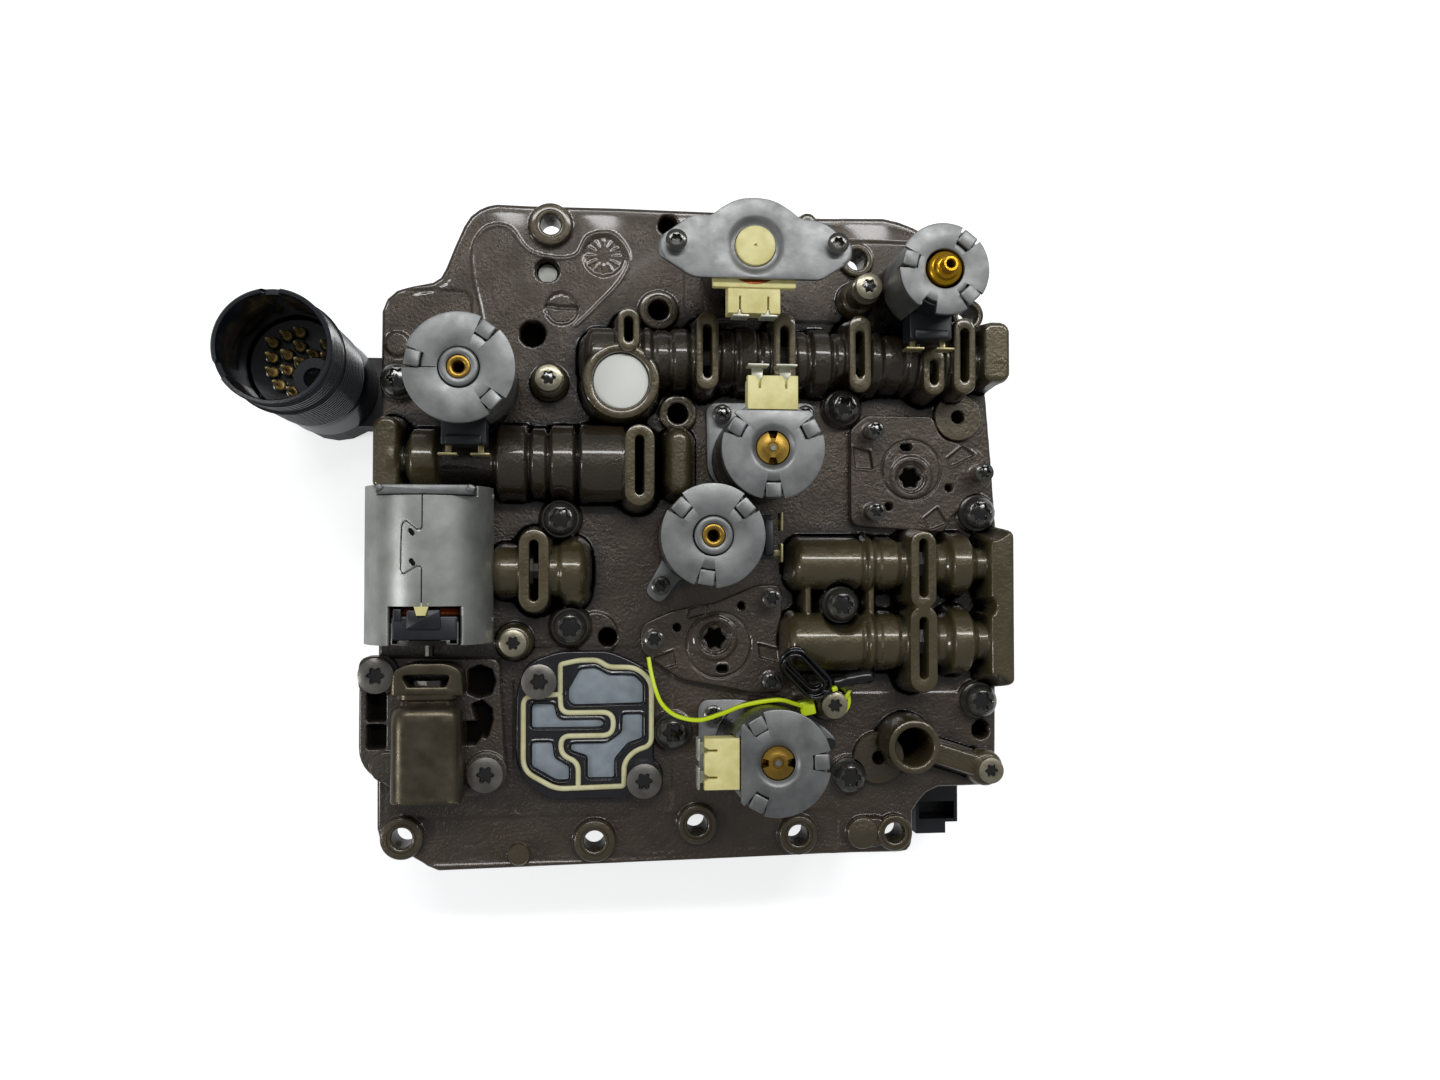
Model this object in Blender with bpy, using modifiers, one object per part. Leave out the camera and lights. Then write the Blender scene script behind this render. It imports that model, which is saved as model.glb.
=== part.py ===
"""Transmission mechatronic unit: a cast hydraulic valve body on a plastic electronics module, with seven
solenoids, six spool valves, a round harness connector, a port seal and a hank of cord held by a cable tie.

The unit lies on its electronics base plate, solenoids up. X and Y run along the edges of the valve body,
+Z points out of its face, and the origin is the middle of the underside. All sizes are in metres."""

import math

import bmesh
import bpy
from mathutils import Matrix, Vector

# The stack, from the table up
CLEAR = 0.0003
BASE_THICK = 0.003
HOUSING_HIGH = 0.0186
CHANNEL_HIGH = 0.0155
SHEET_THICK = 0.001
PLATE_THICK = 0.012
HOUSING_Z = BASE_THICK + CLEAR
CHANNEL_Z = HOUSING_Z + HOUSING_HIGH + CLEAR
SHEET_Z = CHANNEL_Z + CHANNEL_HIGH + CLEAR
BODY_Z = SHEET_Z + SHEET_THICK + CLEAR
FACE_Z = BODY_Z + PLATE_THICK
SINK = 0.004
THROUGH = 0.001
OVER = 0.010

# Outlines seen from above: x, y and, where a corner is rounded, its radius
BODY_OUTLINE = (
    (-0.1030, -0.0980, 0.004),
    (-0.1030, 0.0790, 0.010),
    (-0.0870, 0.0815, 0.006),
    (-0.0790, 0.0960, 0.008),
    (-0.0720, 0.1090, 0.010),
    (0.0640, 0.1085, 0.006),
    (0.0880, 0.0990, 0.010),
    (0.0985, 0.0760, 0.004),
    (0.0995, 0.0450, 0.003),
    (0.1025, 0.0150, 0.003),
    (0.1030, -0.0850, 0.006),
    (0.0800, -0.0855, 0.008),
    (0.0735, -0.0940, 0.004),
    (0.0735, -0.1067, 0.006),
    (0.0530, -0.1067),
    (-0.0840, -0.1090, 0.003),
)
CHANNEL_OUTLINE = (
    (-0.0960, -0.0860, 0.006),
    (-0.0960, 0.0700, 0.008),
    (-0.0800, 0.0720, 0.006),
    (-0.0680, 0.0900, 0.006),
    (0.0440, 0.0900, 0.006),
    (0.0520, 0.0800, 0.006),
    (0.0820, 0.0800, 0.006),
    (0.0860, 0.0640, 0.006),
    (0.0960, 0.0560, 0.006),
    (0.0960, -0.0800, 0.006),
    (0.0740, -0.0860, 0.006),
)
HOUSING_OUTLINE = (
    (-0.0940, -0.0850, 0.008),
    (-0.0940, 0.0680, 0.008),
    (-0.0740, 0.0700, 0.008),
    (-0.0660, 0.0880, 0.008),
    (0.0500, 0.0880, 0.008),
    (0.0540, 0.0780, 0.008),
    (0.0940, 0.0600, 0.008),
    (0.0940, -0.0850, 0.008),
)
BASE_INSET = 0.002

# Mounting holes through their bosses: x, y, boss radius
MOUNT_HOLE = 0.0034
MOUNT_BOSSES = (
    (-0.0484, 0.1020, 0.0070),
    (-0.0950, -0.0977, 0.0068),
    (-0.0335, -0.1000, 0.0068),
    (0.0002, -0.0954, 0.0065),
    (0.0339, -0.0997, 0.0065),
    (0.0666, -0.0997, 0.0060),
    (0.0542, 0.0931, 0.0058),
    (0.0927, 0.0753, 0.0055),
)
BOSS_RISE = 0.003
BLIND_BOSSES = ((-0.0064, 0.0402, 0.0063), (-0.0128, 0.0745, 0.0066))
BLIND_HOLE = 0.0035
BLIND_DEEP = 0.009
FACE_HOLES = (
    (-0.0542, 0.0662, 0.0036),
    (-0.0095, 0.1030, 0.0027),
    (0.0972, -0.0659, 0.0026),
    (-0.0293, -0.0337, 0.0024),
)
FACE_PADS = ((0.0613, -0.0746, 0.0087), (0.0891, 0.0404, 0.0081))
PAD_RISE = 0.0022
PAD_HOLE = 0.0022
DOWEL = (-0.0579, -0.1030, 0.0034)
DOWEL_RISE = 0.0024
BLANK_PAD = (0.0557, -0.0995, 0.0053)

# Spool rows: each is a tube along X with ringed bulges, slotted flanges and a bored spool
ROW_RISE = 0.0065
ROW_Z = FACE_Z + ROW_RISE
ROW_CHAMFER = 0.0015
BORE = 0.0060
BORE_WALLS = (0.0035, 0.0025)
SPOOL_CLEAR = 0.0004
SPOOL_NECK = 0.0034
SPOOL_TRAVEL = 0.004
SPOOL_STEP = 0.040
SLOT_WIDE = 0.0028
FLANGE_RISE = 0.0008
ROWS = {
    "upper": {"y": 0.0576, "x": (-0.0370, 0.0925), "radius": 0.0092, "bulge": 0.0012},
    "left": {"y": 0.0233, "x": (-0.1010, -0.0160), "radius": 0.0082, "bulge": 0.0038},
    "stub": {"y": -0.0120, "x": (-0.0620, -0.0365), "radius": 0.0086, "bulge": 0.0008},
    "right_upper": {"y": -0.0097, "x": (0.0310, 0.0980), "radius": 0.0086, "bulge": 0.0010},
    "right_lower": {"y": -0.0353, "x": (0.0290, 0.0980), "radius": 0.0096, "bulge": 0.0010},
}
ROW_BULGES = {
    "upper": ((0.0145, 0.0140), (0.0395, 0.0140)),
    "left": ((-0.0440, 0.0380),),
    "stub": (),
    "right_upper": ((0.0866, 0.0072),),
    "right_lower": ((0.0866, 0.0072),),
}
# Slotted flanges: row, x, low y, high y, width, and the slot's low and high y
FLANGES = (
    ("upper", -0.0232, 0.0580, 0.0720, 0.0070, 0.0610, 0.0690),
    ("upper", 0.0020, 0.0460, 0.0710, 0.0072, 0.0500, 0.0670),
    ("upper", 0.0270, 0.0460, 0.0710, 0.0072, 0.0500, 0.0670),
    ("upper", 0.0518, 0.0460, 0.0710, 0.0072, 0.0510, 0.0660),
    ("upper", 0.0764, 0.0455, 0.0610, 0.0070, 0.0490, 0.0570),
    ("upper", 0.0867, 0.0460, 0.0710, 0.0074, 0.0500, 0.0675),
    ("left", -0.0197, 0.0085, 0.0345, 0.0095, 0.0122, 0.0310),
    ("stub", -0.0528, -0.0250, 0.0012, 0.0095, -0.0215, -0.0022),
    ("right_upper", 0.0727, -0.0250, 0.0010, 0.0092, -0.0205, -0.0015),
    ("right_lower", 0.0727, -0.0515, -0.0200, 0.0092, -0.0470, -0.0270),
)
# End blocks of the rows: low x, high x, low y, high y, height over the face
END_BLOCKS = (
    (-0.1030, -0.0946, 0.0150, 0.0366, 0.0145),
    (0.0938, 0.1032, 0.0505, 0.0706, 0.0150),
    (0.0960, 0.1046, -0.0500, 0.0017, 0.0145),
)
END_BLOCK_CORNER = 0.0035
RIBS = ((0.0360, 0.0024, -0.0285, -0.0165), (0.0572, 0.0024, -0.0285, -0.0165))
RIB_RISE = 0.0100
BULB = (-0.0066, 0.0120, 0.0345, 0.0100, 0.0110)

# Bolts: domed six-lobe heads, joined to the piece that carries them
BOLT_HEAD = 0.0057
BOLT_HIGH = 0.0060
BOLT_SPACE = 0.0063
BOLT_CROWN = 0.0040
BOLT_SHOULDER = 0.0036
LOBE_SHARE = 0.72
BODY_BOLTS = (
    (0.0490, 0.0428),
    (0.0954, 0.0077),
    (0.0474, -0.0232),
    (0.0957, -0.0558),
    (0.0508, -0.0804),
    (-0.0080, -0.0648),
    (-0.0448, 0.0050),
    (-0.0416, -0.0301),
    (-0.0967, 0.0497),
)
POST_HEAD = 0.0042
POST_BOLTS = (
    (-0.0486, 0.0498, 0.0125),
    (0.0535, 0.0793, 0.0235),
    (0.0438, -0.0556, 0.0150),
    (0.0970, -0.0781, 0.0120),
    (-0.0595, -0.0350, 0.0110),
)
POST_WALL = 0.0014
POST_HEAD_HIGH = 0.0045
SCREW_HEAD = 0.0030
SCREW_HIGH = 0.0032

# The port tube at the lower right and its arm, and the tall ring round the filter disc
PORT_TUBE = (0.0700, -0.0693)
PORT_OUTER = 0.0088
PORT_BORE = 0.0062
PORT_RISE = 0.0155
PORT_DEEP = 0.0060
ARM_WIDE = 0.0080
ARM_HIGH = 0.0080
FILTER = (-0.0255, 0.0488)
FILTER_OUTER = 0.0123
FILTER_SEAT = 0.0090
FILTER_RISE = 0.0160
FILTER_DEEP = 0.0040
FILTER_THICK = 0.0020

# Vertical solenoids: centre, radius, the side its terminal block faces, and its family
SOLENOIDS = {
    "a": {
        "at": (-0.0735, 0.0475),
        "radius": 0.0164,
        "block": -90.0,
        "low": True,
        "tabs": (170.0, 55.0, -45.0),
    },
    "b": {
        "at": (0.0139, 0.0857),
        "radius": 0.0138,
        "block": -90.0,
        "low": False,
        "tabs": (),
    },
    "c": {
        "at": (0.0723, 0.0804),
        "radius": 0.0141,
        "block": -90.0,
        "low": True,
        "tabs": (52.0, 166.0, -46.0),
    },
    "d": {
        "at": (0.0193, 0.0250),
        "radius": 0.0157,
        "block": 90.0,
        "low": False,
        "tabs": (151.0, 27.0, -90.0),
    },
    "e": {
        "at": (0.0012, -0.0014),
        "radius": 0.0157,
        "block": 0.0,
        "low": True,
        "tabs": (139.0, 41.0, -99.0),
    },
    "f": {
        "at": (0.0208, -0.0693),
        "radius": 0.0161,
        "block": 180.0,
        "low": False,
        "tabs": (119.0, 1.0, -118.0),
    },
}
CAN_RISE = 0.0065
CAN_Z = FACE_Z + CAN_RISE
CAN_HIGH = 0.0350
CAN_WALL = 0.0012
CAN_FLOOR = 0.0020
CAN_INSET = 0.0009
COIL_GAP = 0.0006
CAP_THICK = 0.0015
CAP_FLAT = 0.0113
CAP_HOLE = 0.0055
TAB_WIDE = 0.0048
TAB_LONG = 0.0042
TAB_THICK = 0.0012
TAB_BACK = 0.00096
TAB_ROOT = 0.0020
SEAT_RADIUS = 0.0080
PILOT_HOLE = 0.0030
COIL_BORE = 0.0066
CORE_LONG = 0.0100
CORE_RISE = 0.0012
ARMATURE_RADIUS = 0.0060
ARMATURE_LONG = 0.0155
ARMATURE_LIFT = 0.0012
ARMATURE_SEAT = 0.0004
PIN_RADIUS = 0.0015
PIN_LONG = 0.0110
PIN_CLEAR = 0.0008
WINDOW_DEEP = 0.0040
BLOCK_WIDE = 0.0153
LOW_BLOCK_WIDE = 0.0138
BLOCK_LONG = 0.0104
BLOCK_HIGH = 0.0090
BLOCK_LOW_Z = 0.0125
BLOCK_TOP_DROP = 0.0010
LOW_BLOCK_LONG = 0.00572
BLOCK_ROOT = 0.0020
TERMINAL_LIFT = 0.0020
TERMINAL_DROP = 0.0010
TERMINAL_WIDE = 0.0056
TERMINAL_THICK = 0.0008
TERMINAL_LONG = 0.0042
TERMINAL_PITCH = 0.0080
FLANGE_B_THICK = 0.0016
FLANGE_B_FLAT = 0.0240
FLANGE_B = (
    (-0.0292, 0.0016, 0.002),
    (-0.0192, 0.0088, 0.003),
    (-0.0115, 0.0082),
    (-0.0115, 0.0147, 0.011),
    (0.0115, 0.0147, 0.011),
    (0.0115, 0.0082),
    (0.0205, 0.0080, 0.003),
    (0.0298, 0.0010, 0.002),
    (0.0292, -0.0040, 0.002),
    (0.0200, -0.0100, 0.002),
    (-0.0190, -0.0100, 0.002),
    (-0.0292, -0.0036, 0.002),
)
FLANGE_B_BOLTS = ((-0.0240, 0.0003), (0.0247, 0.0007))
FLANGE_B_POST = 0.0036
BUSH_BORE = 0.0016
BUSH_BEVEL = (0.0004, 0.0006)
CORE_SINK = 0.0010
DRIVER_SLOT = (0.0016, 0.0016, 0.0015)
NOZZLE_LONG = 0.0050
NOZZLE_BORE = 0.0013
NOZZLE_RADIUS = 0.0024
NOZZLE_FOOT = (0.0034, 0.0010)

# The lying solenoid and the valve housing that it drives, both along Y
LYING_X = -0.0855
LYING_Z = FACE_Z + 0.0110
LYING_Y = (-0.0345, 0.0142)
LYING_RADIUS = 0.0198
LYING_TRIM = 0.0106
LYING_WALL = 0.0015
LYING_END = 0.0034
LYING_WINDOW = (0.0220, 0.0100)
LYING_WINDOW_Z = 0.0100
LYING_BLOCK_GAP = 0.0010
LYING_BLOCK_DROP = 0.0020
LYING_ARMATURE = 0.0230
LYING_PIN = 0.0066
CANISTER_HALF = 0.0109
CANISTER_CORNER = 0.0055
CANISTER_BARREL = (-0.0835, -0.0535)
CANISTER_HEAD = (-0.0506, -0.0402)
CANISTER_DISC = (-0.0994, -0.0742, 0.0049)
CANISTER_BORE = (-0.0805, -0.0390)
CANISTER_SLOT = (0.0142, -0.0479, -0.0441)
CANISTER_SPOOL = 0.0340
CANISTER_OUTLINE = (
    (-0.1080, -0.0390, 0.004),
    (-0.0640, -0.0400, 0.003),
    (-0.0625, -0.0690, 0.003),
    (-0.0610, -0.0800, 0.005),
    (-0.0700, -0.0845, 0.004),
    (-0.0960, -0.0825, 0.004),
    (-0.1080, -0.0740, 0.006),
)
CANISTER_THICK = 0.0055
CANISTER_DROP = 0.0005
CANISTER_SINK = 0.0020
CANISTER_NECK = (0.0012, 0.0040)
CANISTER_HEAD_RISE = 0.0075
CANISTER_DISC_RISE = 0.0010
CANISTER_Z = FACE_Z + CLEAR
CANISTER_BOLTS = ((-0.1022, -0.0450), (-0.0681, -0.0767))
CANISTER_POCKETS = (
    ((-0.0735, -0.0440), (-0.0665, -0.0440), (-0.0665, -0.0540), (-0.0700, -0.0560), (-0.0735, -0.0530)),
    ((-0.0725, -0.0575), (-0.0670, -0.0575), (-0.0670, -0.0620), (-0.0705, -0.0680)),
    ((-0.1045, -0.0530), (-0.1000, -0.0530), (-0.1000, -0.0600), (-0.1045, -0.0600)),
    ((-0.1045, -0.0635), (-0.1000, -0.0635), (-0.1000, -0.0690), (-0.1045, -0.0690)),
)
POCKET_DEEP = 0.0035

# The port plate and its moulded seal
PORT_PLATE = (
    (-0.0590, -0.0520, 0.004),
    (-0.0560, -0.0420, 0.004),
    (-0.0455, -0.0380, 0.004),
    (-0.0290, -0.0380, 0.004),
    (-0.0230, -0.0405, 0.003),
    (-0.0141, -0.0450, 0.004),
    (-0.0141, -0.0735, 0.001),
    (-0.0112, -0.0765, 0.002),
    (-0.0112, -0.0862, 0.006),
    (-0.0500, -0.0862, 0.006),
    (-0.0590, -0.0760, 0.006),
)
PORT_PLATE_THICK = 0.0030
PORT_BOLTS = ((-0.0514, -0.0476), (-0.0176, -0.0800))
SEAL_WIDE = 0.0016
SEAL_HIGH = 0.0012
SEAL_LOOP = (
    (-0.0447, -0.0423, 0.001),
    (-0.0385, -0.0410, 0.002),
    (-0.0325, -0.0410, 0.002),
    (-0.0292, -0.0433, 0.002),
    (-0.0200, -0.0435, 0.004),
    (-0.0151, -0.0480, 0.003),
    (-0.0151, -0.0690, 0.003),
    (-0.0240, -0.0730, 0.005),
    (-0.0240, -0.0820, 0.001),
    (-0.0460, -0.0825, 0.002),
    (-0.0565, -0.0765, 0.004),
    (-0.0565, -0.0540, 0.003),
    (-0.0447, -0.0520, 0.001),
)
SEAL_BRANCH = (
    (-0.0447, -0.0520, 0.001),
    (-0.0440, -0.0580, 0.003),
    (-0.0275, -0.0580, 0.0035),
    (-0.0275, -0.0655, 0.0035),
    (-0.0440, -0.0655, 0.003),
    (-0.0440, -0.0715, 0.003),
    (-0.0388, -0.0740, 0.003),
    (-0.0388, -0.0822, 0.001),
)
PORT_POCKETS = (
    (
        (-0.0422, -0.0505), (-0.0385, -0.0436), (-0.0330, -0.0432), (-0.0290, -0.0456),
        (-0.0205, -0.0458), (-0.0174, -0.0490), (-0.0174, -0.0556), (-0.0415, -0.0562),
    ),
    (
        (-0.0542, -0.0550), (-0.0460, -0.0550), (-0.0440, -0.0600), (-0.0310, -0.0600),
        (-0.0310, -0.0633), (-0.0542, -0.0633),
    ),
    (
        (-0.0542, -0.0672), (-0.0468, -0.0672), (-0.0462, -0.0730), (-0.0415, -0.0755),
        (-0.0415, -0.0803), (-0.0460, -0.0803), (-0.0542, -0.0755),
    ),
    (
        (-0.0415, -0.0678), (-0.0290, -0.0678), (-0.0235, -0.0640), (-0.0245, -0.0585),
        (-0.0174, -0.0585), (-0.0174, -0.0675), (-0.0265, -0.0715), (-0.0268, -0.0798),
        (-0.0362, -0.0798), (-0.0362, -0.0722), (-0.0415, -0.0705),
    ),
)
PORT_POCKET_DEEP = 0.0018

# Accumulator covers: outline, screws, oval port and the hub with its six-lobe hole
COVERS = {
    "right": {
        "outline": (
            (0.0515, 0.0030, 0.004),
            (0.0515, 0.0355, 0.002),
            (0.0570, 0.0405, 0.002),
            (0.0800, 0.0405, 0.002),
            (0.0830, 0.0330, 0.003),
            (0.0980, 0.0290, 0.004),
            (0.1010, 0.0180, 0.003),
            (0.0860, 0.0060, 0.003),
            (0.0840, 0.0010, 0.002),
        ),
        "screws": ((0.0595, 0.0352), (0.0970, 0.0212), (0.0598, 0.0080)),
        "port": (0.0708, 0.0298),
        "hub": (0.0722, 0.0196),
    },
    "left": {
        "outline": (
            (-0.0186, -0.0385, 0.003),
            (-0.0186, -0.0295, 0.003),
            (-0.0080, -0.0250, 0.002),
            (0.0060, -0.0225, 0.002),
            (0.0200, -0.0165, 0.002),
            (0.0283, -0.0165, 0.003),
            (0.0283, -0.0260, 0.002),
            (0.0265, -0.0350, 0.002),
            (0.0290, -0.0460, 0.002),
            (0.0290, -0.0525, 0.003),
            (0.0180, -0.0525, 0.003),
            (-0.0060, -0.0475, 0.003),
        ),
        "screws": ((-0.0141, -0.0344), (0.0247, -0.0486), (0.0247, -0.0212)),
        "port": (0.0084, -0.0443),
        "hub": (0.0060, -0.0342),
    },
}
COVER_THICK = 0.0028
SEAT_HUB = 0.0058
SEAT_KEY = 0.0036
SEAT_DEEP = 0.0010
COVER_PORT = 0.0024

# Brackets of pressed steel under three of the solenoids
BRACKET_THICK = 0.0016
BRACKETS = {
    "d": {
        "outline": (
            (0.0030, 0.0440, 0.004),
            (0.0400, 0.0445, 0.004),
            (0.0400, 0.0340, 0.004),
            (0.0330, 0.0180, 0.010),
            (0.0180, 0.0120, 0.008),
            (0.0035, 0.0180, 0.006),
        ),
        "screws": ((0.0081, 0.0400), (0.0359, 0.0400)),
    },
    "e": {
        "outline": (
            (-0.0175, -0.0190, 0.003),
            (-0.0120, -0.0095, 0.003),
            (-0.0060, 0.0080, 0.004),
            (0.0110, 0.0050, 0.004),
            (0.0090, -0.0080, 0.004),
            (-0.0050, -0.0140, 0.003),
            (-0.0120, -0.0232, 0.003),
        ),
        "screws": ((-0.0121, -0.0168),),
    },
    "f": {
        "outline": (
            (0.0005, -0.0545, 0.004),
            (0.0150, -0.0545, 0.004),
            (0.0380, -0.0600, 0.006),
            (0.0480, -0.0690, 0.004),
            (0.0400, -0.0770, 0.006),
            (0.0150, -0.0840, 0.008),
            (0.0005, -0.0790, 0.004),
        ),
        "screws": ((0.0052, -0.0590), (0.0052, -0.0760)),
    },
}

# The round harness connector at the end of the module's arm
CONNECTOR = (-0.1256, 0.0520)
CONNECTOR_RADIUS = 0.0168
CONNECTOR_WALL = 0.0016
CONNECTOR_TOP = 0.0970
CONNECTOR_ROOT = 0.0220
MOUTH_DEEP = 0.0393
# Grooves round the shell, as depths below its mouth: the seal ring lies in the first
RING_DEPTHS = (0.0170, 0.0230)
RING_GROOVE = 0.0007
RING_HIGH = 0.0024
RING_LIP = 0.0006
RING_CROWN = 0.5
PIN_PITCH = 0.0042
PIN_SIZE = 0.0009
PIN_STAND = 0.0110
INSERT_THICK = 0.0060
PINS = (
    (0.25, 2.05), (-0.70, 1.80), (-1.70, 1.30), (0.25, 1.05), (-0.65, 0.45), (-1.70, 0.20), (1.20, 0.45),
    (2.15, 1.20), (2.15, 0.25), (0.25, -0.15), (-1.70, -0.85), (-0.65, -0.70), (-1.20, -1.80), (-0.25, -2.20),
)
KEY_RING = (0.0070, -0.0060)
KEY_OUTER = 0.0056
KEY_INNER = 0.0026
MOUTH_NOTCHES = (92.0, 205.0)
NOTCH_WIDE = 0.0044
NOTCH_DEEP = 0.0022
CORNER_CONNECTOR = (
    (0.0700, -0.0940),
    (0.0700, -0.0830),
    (0.0985, -0.0830),
    (0.0985, -0.1035),
    (0.0940, -0.1035),
    (0.0940, -0.1075),
    (0.0830, -0.1075),
    (0.0830, -0.0940),
)
CORNER_Z = 0.0080
CORNER_HIGH = 0.0130
CORNER_WALL = 0.0012
CORNER_MOUTH = ((0.0842, 0.0973), (-0.1023, -0.0960))
ARM_SIDES = (0.0385, 0.0625)
ARM_STEP = 0.0008

# The cord: its hank over the lower right row, the sleeved end, and the tie that holds them to a post
HANK = (
    (0.0262, -0.0410),
    (0.0285, -0.0365),
    (0.0345, -0.0355),
    (0.0415, -0.0500),
    (0.0385, -0.0520),
    (0.0320, -0.0480),
)
HANK_ROUND = 0.0025
HANK_HIGH = 0.0034
HANK_FOOT = (-0.0520, 0.0622)
HANK_TILT = 21.5
CORD_ROUTE = (
    (0.0432, -0.0488, 0.0636),
    (0.0465, -0.0480, 0.0640),
    (0.0500, -0.0470, 0.0644),
    (0.0540, -0.0464, 0.0648),
    (0.0570, -0.0462, 0.0652),
)
CORD_POINTS = 8
SLEEVE = 0.0020
TIE_ROUTE = (
    (0.0352, -0.0566, 0.0615),
    (0.0305, -0.0548, 0.0660),
    (0.0240, -0.0530, 0.0705),
    (0.0133, -0.0544, 0.0715),
    (0.0060, -0.0572, 0.0705),
    (-0.0010, -0.0592, 0.0690),
    (-0.0078, -0.0580, 0.0665),
    (-0.0120, -0.0548, 0.0635),
    (-0.0140, -0.0505, 0.0610),
    (-0.0154, -0.0450, 0.0590),
    (-0.0162, -0.0400, 0.0575),
)
TIE_POINTS = 16
TIE_THICK = 0.0013
TIE_TALL = 0.0024
TIE_RING = (0.0060, 0.0072, 0.0586, 0.0610)
TIE_HEAD = (0.0050, 0.0046, 0.0582, 0.0640)

SIDES_LARGE = 20
SIDES_CAN = 16
SIDES = 12
SIDES_FEW = 8
SIDES_PIN = 6


def clear_scene():
    for old in list(bpy.data.objects):
        bpy.data.objects.remove(old, do_unlink=True)


def new_collection(name, parent):
    made = bpy.data.collections.new(name)
    parent.children.link(made)
    return made


clear_scene()
# Both collections join the scene at the end, so that no Boolean is worked out before every piece is there
PARTS = bpy.data.collections.new("transmission_mechatronic_unit")
TOOLS = bpy.data.collections.new("cutters_and_joined_shapes")


def material(name, colour, rough, metal):
    made = bpy.data.materials.new(name)
    made.use_nodes = True
    shader = made.node_tree.nodes["Principled BSDF"]
    shader.inputs["Base Color"].default_value = (*colour, 1.0)
    shader.inputs["Roughness"].default_value = rough
    shader.inputs["Metallic"].default_value = metal
    return made


CAST = material("oily cast aluminium", (0.050, 0.038, 0.028), 0.35, 0.6)
STEEL = material("pressed steel", (0.42, 0.42, 0.41), 0.38, 0.9)
DARK_STEEL = material("blackened steel", (0.03, 0.03, 0.032), 0.35, 0.7)
BRASS = material("brass", (0.42, 0.27, 0.07), 0.35, 0.9)
BLACK_PLASTIC = material("black plastic", (0.010, 0.011, 0.016), 0.40, 0.0)
YELLOW_PLASTIC = material("pale yellow plastic", (0.80, 0.75, 0.36), 0.45, 0.0)
SHEET_STEEL = material("separator sheet steel", (0.30, 0.30, 0.30), 0.40, 0.9)
SEAL_RUBBER = material("cream seal", (0.72, 0.68, 0.44), 0.55, 0.0)
PALE_DISC = material("off-white disc", (0.80, 0.82, 0.77), 0.60, 0.0)
LIME = material("lime tie", (0.60, 0.78, 0.01), 0.40, 0.0)
CORD_BLACK = material("black cord", (0.006, 0.006, 0.007), 0.35, 0.0)


def keep(obj, shade):
    """Makes an object a part of the unit."""
    obj.data.materials.clear()
    obj.data.materials.append(shade)
    PARTS.objects.link(obj)
    return obj


def tool(obj, holder):
    obj.hide_render = True
    obj.display_type = "WIRE"
    holder.objects.link(obj)


def object_of(name, shape):
    mesh = bpy.data.meshes.new(name)
    shape.to_mesh(mesh)
    shape.free()
    return bpy.data.objects.new(name, mesh)


def cylinder(radius, low, high, at=(0.0, 0.0), sides=SIDES, name="cylinder"):
    shape = bmesh.new()
    bmesh.ops.create_cone(
        shape, cap_ends=True, segments=sides, radius1=radius, radius2=radius, depth=high - low
    )
    bmesh.ops.translate(shape, verts=shape.verts, vec=(at[0], at[1], (low + high) / 2))
    return object_of(name, shape)


def lying_cylinder(radius, ends, at, along="X", sides=SIDES, name="cylinder"):
    """A cylinder along X, at (y, z), or along Y, at (x, z)."""
    made = cylinder(radius, ends[0], ends[1], sides=sides, name=name)
    if along == "X":
        turn = Matrix.Rotation(math.pi / 2, 4, "Y")
        shift = Matrix.Translation((0.0, at[0], at[1]))
    else:
        turn = Matrix.Rotation(-math.pi / 2, 4, "X")
        shift = Matrix.Translation((at[0], 0.0, at[1]))
    made.data.transform(shift @ turn)
    return made


def box(x, y, z, name="box"):
    shape = bmesh.new()
    bmesh.ops.create_cube(shape, size=1.0)
    bmesh.ops.scale(shape, verts=shape.verts, vec=(x[1] - x[0], y[1] - y[0], z[1] - z[0]))
    middle = ((x[0] + x[1]) / 2, (y[0] + y[1]) / 2, (z[0] + z[1]) / 2)
    bmesh.ops.translate(shape, verts=shape.verts, vec=middle)
    return object_of(name, shape)


def turn_about(obj, degrees, at):
    """Turns a mesh about a vertical line."""
    centre = Vector((at[0], at[1], 0.0))
    spin = Matrix.Rotation(math.radians(degrees), 4, "Z")
    obj.data.transform(Matrix.Translation(centre) @ spin @ Matrix.Translation(-centre))
    return obj


def rounded(corners, closed=True, step=42.0):
    """The polygon through the corners, with an arc where a corner has a radius."""
    points = []
    count = len(corners)
    for index, corner in enumerate(corners):
        here = Vector(corner[:2])
        radius = corner[2] if len(corner) > 2 else 0.0
        is_end = not closed and index in (0, count - 1)
        if radius <= 0.0 or is_end:
            points.append(here)
            continue
        back = (Vector(corners[index - 1][:2]) - here)
        ahead = (Vector(corners[(index + 1) % count][:2]) - here)
        half = back.angle(ahead) / 2
        reach = min(radius / math.tan(half), 0.48 * back.length, 0.48 * ahead.length)
        radius = reach * math.tan(half)
        start = here + back.normalized() * reach
        end = here + ahead.normalized() * reach
        middle = here + (back.normalized() + ahead.normalized()).normalized() * (radius / math.sin(half))
        sweep = math.pi - 2 * half
        parts = max(1, round(math.degrees(sweep) / step))
        first = start - middle
        sign = 1.0 if first.x * (end - middle).y - first.y * (end - middle).x > 0 else -1.0
        for part in range(parts + 1):
            angle = sign * sweep * part / parts
            turned = Vector((
                first.x * math.cos(angle) - first.y * math.sin(angle),
                first.x * math.sin(angle) + first.y * math.cos(angle),
            ))
            points.append(middle + turned)
    return points


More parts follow.
